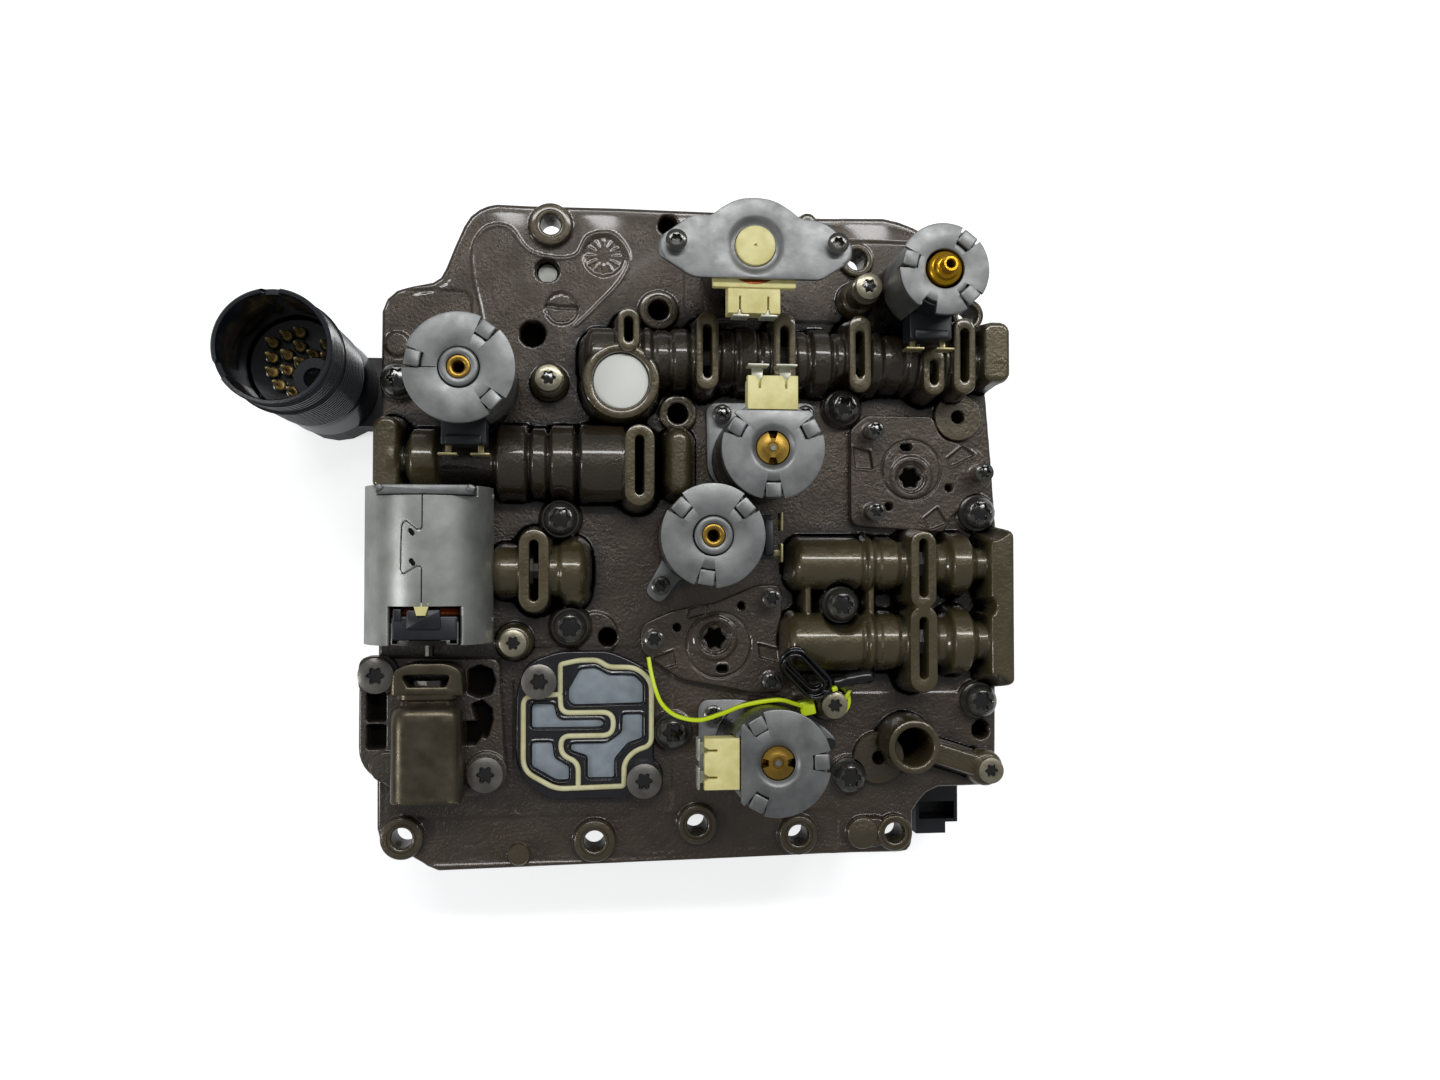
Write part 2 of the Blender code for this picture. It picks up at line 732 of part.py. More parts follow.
def mesh_from_curve(curve, name):
    """Makes a curve a mesh, with its caps welded to its sides."""
    holder = bpy.data.objects.new(name + "_curve", curve)
    bpy.context.scene.collection.objects.link(holder)
    graph = bpy.context.evaluated_depsgraph_get()
    mesh = bpy.data.meshes.new_from_object(holder.evaluated_get(graph))
    bpy.data.objects.remove(holder, do_unlink=True)
    shape = bmesh.new()
    shape.from_mesh(mesh)
    bmesh.ops.remove_doubles(shape, verts=shape.verts, dist=0.00001)
    bmesh.ops.recalc_face_normals(shape, faces=shape.faces)
    shape.to_mesh(mesh)
    shape.free()
    mesh.name = name
    return bpy.data.objects.new(name, mesh)


def slab(outline, low, high, name="slab", holes=()):
    """A flat outline with holes, filled and extruded from one height to another."""
    curve = bpy.data.curves.new(name, "CURVE")
    curve.dimensions = "2D"
    curve.fill_mode = "BOTH"
    curve.extrude = (high - low) / 2
    for ring in (outline, *holes):
        spline = curve.splines.new("POLY")
        spline.points.add(len(ring) - 1)
        for point, place in zip(spline.points, ring):
            point.co = (place[0], place[1], 0.0, 1.0)
        spline.use_cyclic_u = True
    made = mesh_from_curve(curve, name)
    made.data.transform(Matrix.Translation((0.0, 0.0, (low + high) / 2)))
    return made


def circle(radius, at, sides=SIDES):
    step = 2 * math.pi / sides
    return [
        Vector((at[0] + radius * math.cos(k * step), at[1] + radius * math.sin(k * step)))
        for k in range(sides)
    ]


def stadium(x, low, high, wide, step=45.0):
    """A slot's outline along Y."""
    half = wide / 2
    corners = ((x - half, low, half), (x - half, high, half), (x + half, high, half), (x + half, low, half))
    return rounded(corners, step=step)


def offset(points, distance, closed):
    """The line beside a polyline, to its left for a positive distance."""
    moved = []
    count = len(points)
    for index, here in enumerate(points):
        before = points[index - 1] if closed or index > 0 else here
        after = points[(index + 1) % count] if closed or index < count - 1 else here
        first = (here - before).normalized() if (here - before).length > 0 else (after - here).normalized()
        second = (after - here).normalized() if (after - here).length > 0 else first
        side = Vector((-first.y - second.y, first.x + second.x)).normalized()
        stretch = max(0.5, side.dot(Vector((-first.y, first.x))))
        moved.append(here + side * (distance / stretch))
    return moved


def ribbon(corners, wide, low, high, closed, name="ribbon", step=30.0):
    """A flat strip of one width along a path with rounded corners."""
    path = rounded(corners, closed=closed, step=step)
    left = offset(path, wide / 2, closed)
    right = offset(path, -wide / 2, closed)
    if closed:
        return slab(left, low, high, name, holes=(right,))
    return slab(left + right[::-1], low, high, name)


def turned(profile, name="turned", sides=SIDES, at=(0.0, 0.0, 0.0)):
    """A profile of (radius, height), outer side from top to bottom, turned about Z with a Screw."""
    shape = bmesh.new()
    verts = [shape.verts.new((radius, 0.0, height)) for radius, height in profile]
    for first, second in zip(verts, verts[1:]):
        shape.edges.new((first, second))
    on_axis = profile[0][0] == 0.0 and profile[-1][0] == 0.0
    if not on_axis:
        shape.edges.new((verts[-1], verts[0]))
    made = object_of(name, shape)
    screw = made.modifiers.new("turn", "SCREW")
    screw.axis = "Z"
    screw.steps = sides
    screw.render_steps = sides
    screw.use_merge_vertices = True
    screw.merge_threshold = 0.00005
    screw.use_smooth_shade = True
    made.location = at
    return made


def fuse(obj, pieces):
    """Joins other shapes to an object."""
    holder = new_collection(obj.name + "_joined", TOOLS)
    for piece in pieces:
        tool(piece, holder)
    add_boolean(obj, "UNION", holder)


def carve(obj, pieces):
    """Cuts other shapes out of an object."""
    holder = new_collection(obj.name + "_cuts", TOOLS)
    for piece in pieces:
        tool(piece, holder)
    add_boolean(obj, "DIFFERENCE", holder)


def add_boolean(obj, operation, holder):
    modifier = obj.modifiers.new(operation.lower(), "BOOLEAN")
    modifier.operation = operation
    modifier.solver = "EXACT"
    modifier.operand_type = "COLLECTION"
    modifier.collection = holder


def six_lobe(radius, at, low, high):
    """The prism of a six-lobe hole."""
    points = []
    for k in range(12):
        reach = radius if k % 2 == 0 else radius * LOBE_SHARE
        angle = math.pi * k / 6
        points.append(Vector((at[0] + reach * math.cos(angle), at[1] + reach * math.sin(angle))))
    return slab(points, low, high, "six_lobe_hole")


def bolt_head(at, low):
    """The domed head of a large bolt."""
    profile = (
        (0.0, low + BOLT_HIGH),
        (BOLT_CROWN, low + BOLT_HIGH),
        (BOLT_HEAD, low + BOLT_SHOULDER),
        (BOLT_HEAD, low - THROUGH),
        (0.0, low - THROUGH),
    )
    return turned(profile, "bolt_head", sides=SIDES, at=(at[0], at[1], 0.0))


def screw_head(at, low):
    """The head of a small cap screw on a cover or a bracket."""
    return cylinder(SCREW_HEAD, low - THROUGH, low + SCREW_HIGH, at, sides=SIDES_FEW, name="screw_head")


def row_profile(name):
    """A spool row's outer profile, from its high-X end down to its low-X end, with ringed bulges."""
    row = ROWS[name]
    low, high = row["x"]
    radius = row["radius"]
    rim = ROW_CHAMFER
    profile = [(0.0, high), (radius - rim, high), (radius, high - rim)]
    for middle, wide in sorted(ROW_BULGES[name], reverse=True):
        tall = radius + row["bulge"]
        profile += [
            (radius, middle + wide / 2),
            (tall, middle + wide / 3),
            (tall, middle - wide / 3),
            (radius, middle - wide / 2),
        ]
    profile += [(radius, low + rim), (radius - rim, low), (0.0, low)]
    return profile


def row_tube(name):
    made = turned(row_profile(name), name + "_tube", sides=SIDES)
    made.rotation_euler = (0.0, math.pi / 2, 0.0)
    made.location = (0.0, ROWS[name]["y"], ROW_Z)
    return made


def bore_ends(name):
    low, high = ROWS[name]["x"]
    return low + BORE_WALLS[0], high - BORE_WALLS[1]


def spool_cut(name):
    return lying_cylinder(BORE, bore_ends(name), (ROWS[name]["y"], ROW_Z), name=name + "_bore")


def flange_top(row):
    return ROW_Z + ROWS[row]["radius"] + ROWS[row]["bulge"] + FLANGE_RISE


def flange_shapes():
    shapes = []
    for row, x, low, high, wide, _, _ in FLANGES:
        shapes.append(slab(stadium(x, low, high, wide), FACE_Z - SINK, flange_top(row), "slot_flange"))
    return shapes


def flange_slots():
    cuts = []
    for row, x, _, _, _, low, high in FLANGES:
        slot = stadium(x, low, high, SLOT_WIDE, 90.0)
        cuts.append(slab(slot, ROW_Z, flange_top(row) + THROUGH, "retainer_slot"))
    return cuts


def end_blocks():
    shapes = []
    for x_low, x_high, y_low, y_high, rise in END_BLOCKS:
        places = ((x_low, y_low), (x_low, y_high), (x_high, y_high), (x_high, y_low))
        corners = [(*place, END_BLOCK_CORNER) for place in places]
        shapes.append(slab(rounded(corners), FACE_Z - SINK, FACE_Z + rise, "end_block"))
    return shapes


def boss_shapes():
    low = FACE_Z - SINK
    shapes = []
    for x, y, radius in MOUNT_BOSSES:
        shapes.append(cylinder(radius, BODY_Z + THROUGH, FACE_Z + BOSS_RISE, (x, y), name="mount_boss"))
    for x, y, radius in BLIND_BOSSES:
        shapes.append(cylinder(radius, low, FACE_Z + BOSS_RISE, (x, y), name="blind_boss"))
    for x, y, radius in FACE_PADS:
        shapes.append(cylinder(radius, low, FACE_Z + PAD_RISE, (x, y), name="face_pad"))
    shapes.append(cylinder(DOWEL[2], low, FACE_Z + DOWEL_RISE, DOWEL[:2], sides=SIDES_FEW, name="dowel"))
    shapes.append(cylinder(BLANK_PAD[2], low, FACE_Z + BOSS_RISE, BLANK_PAD[:2], name="blank_pad"))
    return shapes


def hole_cuts():
    top = FACE_Z + BOSS_RISE + THROUGH
    floor = FACE_Z - BLIND_DEEP
    cuts = []
    for x, y, _ in MOUNT_BOSSES:
        cuts.append(cylinder(MOUNT_HOLE, BODY_Z - THROUGH, top, (x, y), sides=SIDES_FEW, name="mount_hole"))
    for x, y, _ in BLIND_BOSSES:
        cuts.append(cylinder(BLIND_HOLE, floor, top, (x, y), sides=SIDES_FEW, name="blind_hole"))
    for x, y, radius in FACE_HOLES:
        cuts.append(cylinder(radius, floor, top, (x, y), sides=SIDES_FEW, name="face_hole"))
    for x, y, _ in FACE_PADS:
        cuts.append(cylinder(PAD_HOLE, floor, top, (x, y), sides=SIDES_FEW, name="pad_hole"))
    return cuts


def post_shapes():
    """The posts with their light-coloured cap screws."""
    shapes = []
    for x, y, rise in POST_BOLTS:
        top = FACE_Z + rise
        shoulder = top - POST_HEAD_HIGH
        wide = POST_HEAD + POST_WALL
        foot = FACE_Z - THROUGH
        profile = (
            (0.0, top),
            (POST_HEAD, top),
            (POST_HEAD, shoulder),
            (wide, shoulder),
            (wide, foot),
            (0.0, foot),
        )
        shapes.append(turned(profile, "post", sides=SIDES, at=(x, y, 0.0)))
    return shapes


def port_shapes():
    x, y = PORT_TUBE
    top = FACE_Z + PORT_RISE
    post = POST_BOLTS[3]
    arm = ribbon(((x, y), post[:2]), ARM_WIDE, FACE_Z - SINK, FACE_Z + ARM_HIGH, False, "port_arm")
    rise = FACE_Z + FILTER_RISE
    ring = cylinder(FILTER_OUTER, FACE_Z - SINK, rise, FILTER, sides=SIDES_LARGE, name="filter_ring")
    tube = cylinder(PORT_OUTER, FACE_Z - SINK, top, (x, y), sides=SIDES_LARGE, name="port_tube")
    return [tube, arm, ring]


def port_cuts():
    top = FACE_Z + PORT_RISE + THROUGH
    bore = cylinder(PORT_BORE, FACE_Z - PORT_DEEP, top, PORT_TUBE, sides=SIDES, name="port_bore")
    rim = FACE_Z + FILTER_RISE
    floor = rim - FILTER_DEEP
    seat = cylinder(FILTER_SEAT, floor, rim + THROUGH, FILTER, sides=SIDES_LARGE, name="filter_seat")
    return [bore, seat]


def rib_shapes():
    shapes = []
    heights = (FACE_Z - SINK, FACE_Z + RIB_RISE)
    for x, wide, low, high in RIBS:
        shapes.append(box((x - wide / 2, x + wide / 2), (low, high), heights, "rib"))
    x, low, high, wide, rise = BULB
    shapes.append(slab(stadium(x, low, high, wide), FACE_Z - SINK, FACE_Z + rise, "bulb"))
    return shapes


def solenoid_seats():
    """Low round seats that the upright solenoids stand on, and the two posts of the flanged one."""
    shapes = []
    for key, spec in SOLENOIDS.items():
        if key in BRACKETS:
            continue
        heights = (FACE_Z - SINK, CAN_Z - CLEAR)
        shapes.append(cylinder(SEAT_RADIUS, *heights, spec["at"], sides=SIDES_FEW, name="solenoid_seat"))
    x, y = SOLENOIDS["b"]["at"]
    top = CAN_Z + CAN_HIGH
    for dx, dy in FLANGE_B_BOLTS:
        at = (x + dx, y + dy)
        shapes.append(cylinder(FLANGE_B_POST, FACE_Z - SINK, top, at, sides=SIDES_FEW, name="flange_post"))
    return shapes


def pilot_cuts():
    floor = FACE_Z - BLIND_DEEP
    top = CAN_Z + THROUGH
    places = [spec["at"] for spec in SOLENOIDS.values()]
    return [cylinder(PILOT_HOLE, floor, top, at, sides=SIDES_FEW, name="pilot_hole") for at in places]


def build_valve_body():
    body = slab(rounded(BODY_OUTLINE), BODY_Z, FACE_Z, "valve_body")
    shapes = [row_tube(name) for name in ROWS] + [bolt_head(at, FACE_Z) for at in BODY_BOLTS]
    shapes += flange_shapes() + end_blocks() + boss_shapes() + post_shapes()
    shapes += port_shapes() + rib_shapes() + solenoid_seats()
    fuse(body, shapes)
    cuts = [spool_cut(name) for name in ROWS] + flange_slots()
    carve(body, cuts + hole_cuts() + port_cuts() + pilot_cuts())
    return keep(body, CAST)


def spool_profile(length, lands):
    """Lands that fill the bore, with necks of the same length between them."""
    land = BORE - SPOOL_CLEAR
    pitch = length / (2 * lands - 1)
    profile = [(0.0, length)]
    for k in range(lands):
        start = length - 2 * k * pitch
        profile += [(land, start), (land, start - pitch)]
        if k < lands - 1:
            profile += [(SPOOL_NECK, start - pitch), (SPOOL_NECK, start - 2 * pitch)]
    return profile + [(0.0, 0.0)]


def build_spools():
    """One spool in each row."""
    for name, row in ROWS.items():
        low, high = bore_ends(name)
        length = high - low - SPOOL_TRAVEL - 2 * CLEAR
        lands = max(2, round(length / SPOOL_STEP))
        spool = turned(spool_profile(length, lands), name + "_spool", sides=SIDES_FEW)
        spool.rotation_euler = (0.0, math.pi / 2, 0.0)
        spool.location = (low + CLEAR, row["y"], ROW_Z)
        keep(spool, STEEL)


def build_lower_stack():
    inset = offset(rounded(HOUSING_OUTLINE), BASE_INSET, True)
    keep(slab(inset, 0.0, BASE_THICK, "electronics_base_plate"), STEEL)
    keep(slab(rounded(CHANNEL_OUTLINE), SHEET_Z, SHEET_Z + SHEET_THICK, "separator_plate"), SHEET_STEEL)
    keep(slab(rounded(CHANNEL_OUTLINE), CHANNEL_Z, CHANNEL_Z + CHANNEL_HIGH, "channel_plate"), CAST)


def build_electronics():
    """The plastic housing with the arm that carries the round connector and the small corner connector."""
    housing = slab(rounded(HOUSING_OUTLINE), HOUSING_Z, HOUSING_Z + HOUSING_HIGH, "electronics_housing")
    x = CONNECTOR[0]
    top = CONNECTOR_ROOT - CLEAR
    arm_heights = (HOUSING_Z + ARM_STEP, top - ARM_STEP)
    arm = box((x, HOUSING_OUTLINE[0][0] + SINK), ARM_SIDES, arm_heights, "arm")
    foot = cylinder(CONNECTOR_RADIUS, HOUSING_Z, top, CONNECTOR, sides=SIDES_LARGE, name="foot")
    corner_top = CORNER_Z + CORNER_HIGH
    corner = slab([Vector(point) for point in CORNER_CONNECTOR], CORNER_Z, corner_top, "corner")
    fuse(housing, [arm, foot, corner])
    mouth_heights = (CORNER_Z + CORNER_WALL, corner_top + THROUGH)
    carve(housing, [box(*CORNER_MOUTH, mouth_heights, "corner_mouth")])
    keep(housing, BLACK_PLASTIC)


def build_connector():
    """The round shell: grooves for the seal round its outside, and two notches in its mouth."""
    x, y = CONNECTOR
    outer = CONNECTOR_RADIUS
    inner = outer - CONNECTOR_WALL
    groove = outer - RING_GROOVE
    profile = [(inner, CONNECTOR_TOP), (outer, CONNECTOR_TOP)]
    for depth in RING_DEPTHS:
        high = CONNECTOR_TOP - depth + RING_HIGH / 2
        low = high - RING_HIGH
        profile += [(outer, high), (groove, high), (groove, low), (outer, low)]
    floor = CONNECTOR_TOP - MOUTH_DEEP
    profile += [(outer, CONNECTOR_ROOT), (0.0, CONNECTOR_ROOT), (0.0, floor), (inner, floor)]
    shell = turned(profile, "connector_shell", sides=SIDES_LARGE, at=(x, y, 0.0))
    notches = []
    across = (y - NOTCH_WIDE / 2, y + NOTCH_WIDE / 2)
    heights = (CONNECTOR_TOP - NOTCH_DEEP, CONNECTOR_TOP + THROUGH)
    for degrees in MOUTH_NOTCHES:
        notch = box((x + inner - THROUGH, x + outer + THROUGH), across, heights, "mouth_notch")
        notches.append(turn_about(notch, degrees, CONNECTOR))
    carve(shell, notches)
    keep(shell, BLACK_PLASTIC)
    build_insert(floor, inner)


def build_insert(floor, inner):
    """The pin carrier: a disc with its pins and the hollow key post, in one piece."""
    x, y = CONNECTOR
    low = floor + CLEAR
    top = low + INSERT_THICK
    tip = top + PIN_STAND
    insert = cylinder(inner - CLEAR, low, top, CONNECTOR, sides=SIDES_LARGE, name="connector_insert")
    places = [(x + u * PIN_PITCH, y + v * PIN_PITCH) for u, v in PINS]
    pins = [cylinder(PIN_SIZE, low + THROUGH, tip, at, sides=SIDES_PIN, name="pin") for at in places]
    key = (x + KEY_RING[0], y + KEY_RING[1])
    post = cylinder(KEY_OUTER, low + THROUGH, tip, key, sides=SIDES_FEW, name="key_post")
    fuse(insert, pins + [post])
    carve(insert, [cylinder(KEY_INNER, top, tip + THROUGH, key, sides=SIDES_FEW, name="key_hole")])
    keep(insert, BLACK_PLASTIC)


def build_seal_ring():
    """The rubber ring in the upper groove of the connector."""
    x, y = CONNECTOR
    inner = CONNECTOR_RADIUS - RING_GROOVE + CLEAR
    outer = CONNECTOR_RADIUS + RING_LIP
    middle = CONNECTOR_TOP - RING_DEPTHS[0]
    half = RING_HIGH / 2 - CLEAR
    crown = half * RING_CROWN
    profile = (
        (inner, middle + half),
        (outer, middle + crown),
        (outer, middle - crown),
        (inner, middle - half),
    )
    keep(turned(profile, "connector_seal_ring", sides=SIDES_LARGE, at=(x, y, 0.0)), CORD_BLACK)


def can_top():
    return CAN_Z + CAN_HIGH


def block_half(low):
    return (LOW_BLOCK_WIDE if low else BLOCK_WIDE) / 2


def block_heights(low):
    """The terminal block's heights: low on the can for one family, level with its cap for the other."""
    if low:
        return CAN_Z + BLOCK_LOW_Z, CAN_Z + BLOCK_LOW_Z + BLOCK_HIGH
    top = can_top() + CAP_THICK - BLOCK_TOP_DROP
    return top - BLOCK_HIGH, top


def crimp_tab(at, inner, low, high, degrees):
    """A tab of the can's wall, bent over the cap: an L section, as wide as the tab."""
    back = inner + TAB_BACK
    tip = back - TAB_LONG
    root = low - TAB_ROOT
    top = high + TAB_THICK
    section = ((inner, root), (back, root), (back, top), (tip, top), (tip, high), (inner, high))
    tab = slab([Vector(point) for point in section], -TAB_WIDE / 2, TAB_WIDE / 2, "crimp_tab")
    tab.data.transform(Matrix.Translation((at[0], at[1], 0.0)) @ Matrix.Rotation(math.pi / 2, 4, "X"))
    return turn_about(tab, degrees, at)


def build_can(key, spec):
    """The rolled steel can, open at the top, with its window and the tabs crimped over the cap."""
    x, y = spec["at"]
    outer = spec["radius"] - CAN_INSET
    inner = outer - CAN_WALL
    floor = CAN_Z + CAN_FLOOR
    hole = PIN_RADIUS + PIN_CLEAR
    top = can_top()
    profile = ((inner, top), (outer, top), (outer, CAN_Z), (hole, CAN_Z), (hole, floor), (inner, floor))
    can = turned(profile, "solenoid_%s_can" % key, sides=SIDES_CAN, at=(x, y, 0.0))
    cap_top = top + CLEAR + CAP_THICK + CLEAR
    if spec["tabs"]:
        fuse(can, [crimp_tab(spec["at"], inner, top, cap_top, degrees) for degrees in spec["tabs"]])
    low, _ = block_heights(spec["low"])
    half = block_half(spec["low"]) + CLEAR
    along = (x + inner - WINDOW_DEEP, x + outer + THROUGH)
    window = box(along, (y - half, y + half), (low - CLEAR, cap_top + OVER), "window")
    carve(can, [turn_about(window, spec["block"], (x, y))])
    keep(can, STEEL)


def build_cap(key, spec):
    """The cap disc, notched for the tabs and cut flat beside a high terminal block."""
    x, y = spec["at"]
    low = can_top() + CLEAR
    outer = spec["radius"]
    cap = cylinder(outer, low, low + CAP_THICK, (x, y), sides=SIDES_LARGE, name="solenoid_%s_cap" % key)
    heights = (low - THROUGH, low + CAP_THICK + THROUGH)
    cuts = [cylinder(CAP_HOLE, *heights, (x, y), sides=SIDES, name="cap_hole")]
    inner = outer - CAN_INSET - CAN_WALL
    half = TAB_WIDE / 2 + CLEAR
    for degrees in spec["tabs"]:
        notch = box((x + inner - CLEAR, x + outer + OVER), (y - half, y + half), heights, "tab_notch")
        cuts.append(turn_about(notch, degrees, (x, y)))
    if not spec["low"]:
        flat = box((x + CAP_FLAT, x + outer + OVER), (y - outer, y + outer), heights, "cap_flat")
        cuts.append(turn_about(flat, spec["block"], (x, y)))
    carve(cap, cuts)
    keep(cap, STEEL)


def build_flange_cap(key, spec):
    """The diamond flange that closes solenoid b, with its arched edge, dish and two cap screws."""
    x, y = spec["at"]
    low = can_top() + CLEAR
    corners = [(x + corner[0], y + corner[1], *corner[2:]) for corner in FLANGE_B]
    cap = slab(rounded(corners), low, low + FLANGE_B_THICK, "solenoid_%s_cap" % key)
    fuse(cap, [screw_head((x + dx, y + dy), low + FLANGE_B_THICK) for dx, dy in FLANGE_B_BOLTS])
    heights = (low - THROUGH, low + FLANGE_B_THICK + THROUGH)
    hole = cylinder(CAP_HOLE, *heights, (x, y), sides=SIDES, name="cap_hole")
    half = FLANGE_B_FLAT / 2
    flat = box((x + CAP_FLAT, x + spec["radius"] + OVER), (y - half, y + half), heights, "cap_flat")
    carve(cap, [hole, turn_about(flat, spec["block"], (x, y))])
    keep(cap, STEEL)


def build_coil(key, spec):
    """The moulded coil with its terminal block and two terminals, in one piece."""
    x, y = spec["at"]
    outer = spec["radius"] - CAN_INSET - CAN_WALL - COIL_GAP
    low = CAN_Z + CAN_FLOOR + CLEAR
    top = can_top()
    profile = ((COIL_BORE, top), (outer, top), (outer, low), (COIL_BORE, low))
    coil = turned(profile, "solenoid_%s_coil" % key, sides=SIDES, at=(x, y, 0.0))
    block_low, block_top = block_heights(spec["low"])
    half = block_half(spec["low"])
    reach = spec["radius"] - CAN_INSET + (LOW_BLOCK_LONG if spec["low"] else BLOCK_LONG)
    root = COIL_BORE + BLOCK_ROOT
    start = root if spec["low"] else CAP_FLAT + CLEAR
    sides = (y - half, y + half)
    shapes = [box((x + start, x + reach), sides, (block_low, block_top), "terminal_block")]
    if not spec["low"]:
        shapes.append(box((x + root, x + reach - BLOCK_ROOT), sides, (block_low, top), "block_root"))
    for side in (-0.5, 0.5):
        middle = y + side * TERMINAL_PITCH
        across = (middle - TERMINAL_WIDE / 2, middle + TERMINAL_WIDE / 2)
        foot = block_low + TERMINAL_LIFT
        end = x + reach + TERMINAL_LONG
        blade = box((x + reach - THROUGH, end), across, (foot, foot + TERMINAL_THICK), "terminal")
        flag = box((end - TERMINAL_THICK, end), across, (foot, block_top - TERMINAL_DROP), "terminal_flag")
        shapes += [blade, flag]
    fuse(coil, [turn_about(shape, spec["block"], (x, y)) for shape in shapes])
    keep(coil, BLACK_PLASTIC if spec["low"] else YELLOW_PLASTIC)


def build_core(key, spec):
    """The brass pole piece in the cap's hole: bushed, slotted or with a nozzle."""
    x, y = spec["at"]
    top = can_top() + CLEAR + CAP_THICK + CORE_RISE
    foot = can_top() - CORE_LONG
    radius = CAP_HOLE - CLEAR
    low_face = can_top() + CLEAR + CAP_THICK - CORE_SINK
    if key == "c":
        tip = top + NOZZLE_LONG
        profile = (
            (NOZZLE_BORE, tip),
            (NOZZLE_RADIUS, tip),
            (NOZZLE_RADIUS, top),
            (NOZZLE_FOOT[0], top - NOZZLE_FOOT[1]),
            (radius, low_face),
            (radius, foot),
            (NOZZLE_BORE, foot),
        )
    elif spec["low"]:
        profile = (
            (BUSH_BORE, top),
            (radius - BUSH_BEVEL[0], top),
            (radius, top - BUSH_BEVEL[1]),
            (radius, foot),
            (BUSH_BORE, foot),
        )
    else:
        profile = ((0.0, low_face), (radius, low_face), (radius, foot), (0.0, foot))
    core = turned(profile, "solenoid_%s_core" % key, sides=SIDES, at=(x, y, 0.0))
    if not spec["low"] and key != "b":
        slots = []
        long, wide, deep = DRIVER_SLOT
        heights = (low_face - deep, low_face + THROUGH)
        for side in (0.0, 180.0):
            along = (x + radius - long, x + radius + THROUGH)
            slot = box(along, (y - wide / 2, y + wide / 2), heights, "driver_slot")
            slots.append(turn_about(slot, spec["block"] + side, (x, y)))
        carve(core, slots)
    keep(core, YELLOW_PLASTIC if key == "b" else BRASS)


def armature_profile(long, pin):
    """A plunger that stands on the origin, with its thinner pin below it."""
    return (
        (0.0, long),
        (ARMATURE_RADIUS, long),
        (ARMATURE_RADIUS, 0.0),
        (PIN_RADIUS, 0.0),
        (PIN_RADIUS, -pin),
        (0.0, -pin),
    )


def build_armature(key, spec):
    """The moving plunger and its pin, resting on the can's floor."""
    x, y = spec["at"]
    low = CAN_Z + CAN_FLOOR + ARMATURE_SEAT
    profile = armature_profile(ARMATURE_LONG, PIN_LONG)
    keep(turned(profile, "solenoid_%s_armature" % key, sides=SIDES_FEW, at=(x, y, low)), STEEL)


def build_solenoids():
    for key, spec in SOLENOIDS.items():
        build_can(key, spec)
        if key == "b":
            build_flange_cap(key, spec)
        else:
            build_cap(key, spec)
        build_coil(key, spec)
        build_core(key, spec)
        build_armature(key, spec)


def lying(profile, name, sides):
    """A profile turned about the lying solenoid's axis, its height running along Y."""
    made = turned(profile, name, sides=sides)
    made.rotation_euler = (-math.pi / 2, 0.0, 0.0)
    made.location = (LYING_X, 0.0, LYING_Z)
    return made


def flat_box(low_y, high_y, top):
    """Everything below a level round the lying solenoid."""
    wide = LYING_RADIUS + OVER
    return box((LYING_X - wide, LYING_X + wide), (low_y, high_y), (LYING_Z - wide, top), "flat_side")


def build_lying_solenoid():
    """A rolled can along Y, cut flat where it lies on the face, with its coil, end plate and plunger."""
    low, high = LYING_Y
    outer = LYING_RADIUS
    inner = outer - LYING_WALL
    hole = PIN_RADIUS + PIN_CLEAR
    floor = low + CAN_FLOOR
    flat = LYING_Z - LYING_TRIM
    profile = ((inner, high), (outer, high), (outer, low), (hole, low), (hole, floor), (inner, floor))
    can = lying(profile, "solenoid_g_can", SIDES_CAN)
    x_window = (LYING_X - LYING_WINDOW[0] / 2, LYING_X + LYING_WINDOW[0] / 2)
    y_window = (low - THROUGH, low + LYING_WINDOW[1])
    z_window = (LYING_Z + LYING_WINDOW_Z, LYING_Z + outer + THROUGH)
    window = box(x_window, y_window, z_window, "window")
    carve(can, [window, flat_box(low - THROUGH, high + THROUGH, flat)])
    keep(can, STEEL)
    build_lying_coil(floor + CLEAR, high - LYING_END, inner - COIL_GAP, flat + CLEAR)
    foot = high - LYING_END + CLEAR
    rim = inner - COIL_GAP
    profile = (
        (0.0, high),
        (rim, high),
        (rim, foot),
        (ARMATURE_RADIUS, foot),
        (ARMATURE_RADIUS, foot - CORE_LONG),
        (0.0, foot - CORE_LONG),
    )
    end = lying(profile, "solenoid_g_end_plate", SIDES)
    carve(end, [flat_box(low, high + THROUGH, flat + CLEAR)])
    keep(end, STEEL)
    plunger = turned(armature_profile(LYING_ARMATURE, LYING_PIN), "solenoid_g_armature", sides=SIDES_FEW)
    plunger.rotation_euler = (-math.pi / 2, 0.0, 0.0)
    plunger.location = (LYING_X, floor + ARMATURE_SEAT, LYING_Z)
    keep(plunger, STEEL)


def build_lying_coil(low, high, outer, flat):
    """The moulded coil, with the block that shows in the can's window."""
    coil = lying(((COIL_BORE, high), (outer, high), (outer, low), (COIL_BORE, low)), "solenoid_g_coil", SIDES)
    half = LYING_WINDOW[0] / 2 - LYING_BLOCK_GAP
    along = (low + LYING_BLOCK_GAP / 2, LYING_Y[0] + LYING_WINDOW[1] - LYING_BLOCK_GAP)
    heights = (LYING_Z + LYING_WINDOW_Z - LYING_BLOCK_GAP, LYING_Z + LYING_RADIUS - LYING_BLOCK_DROP)
    fuse(coil, [box((LYING_X - half, LYING_X + half), along, heights, "block")])
    carve(coil, [flat_box(low - THROUGH, high + THROUGH, flat)])
    keep(coil, BLACK_PLASTIC)


def pocket_cuts(outlines, top, deep):
    rings = [[Vector(point) for point in outline] for outline in outlines]
    return [slab(ring, top - deep, top + THROUGH, "pocket") for ring in rings]


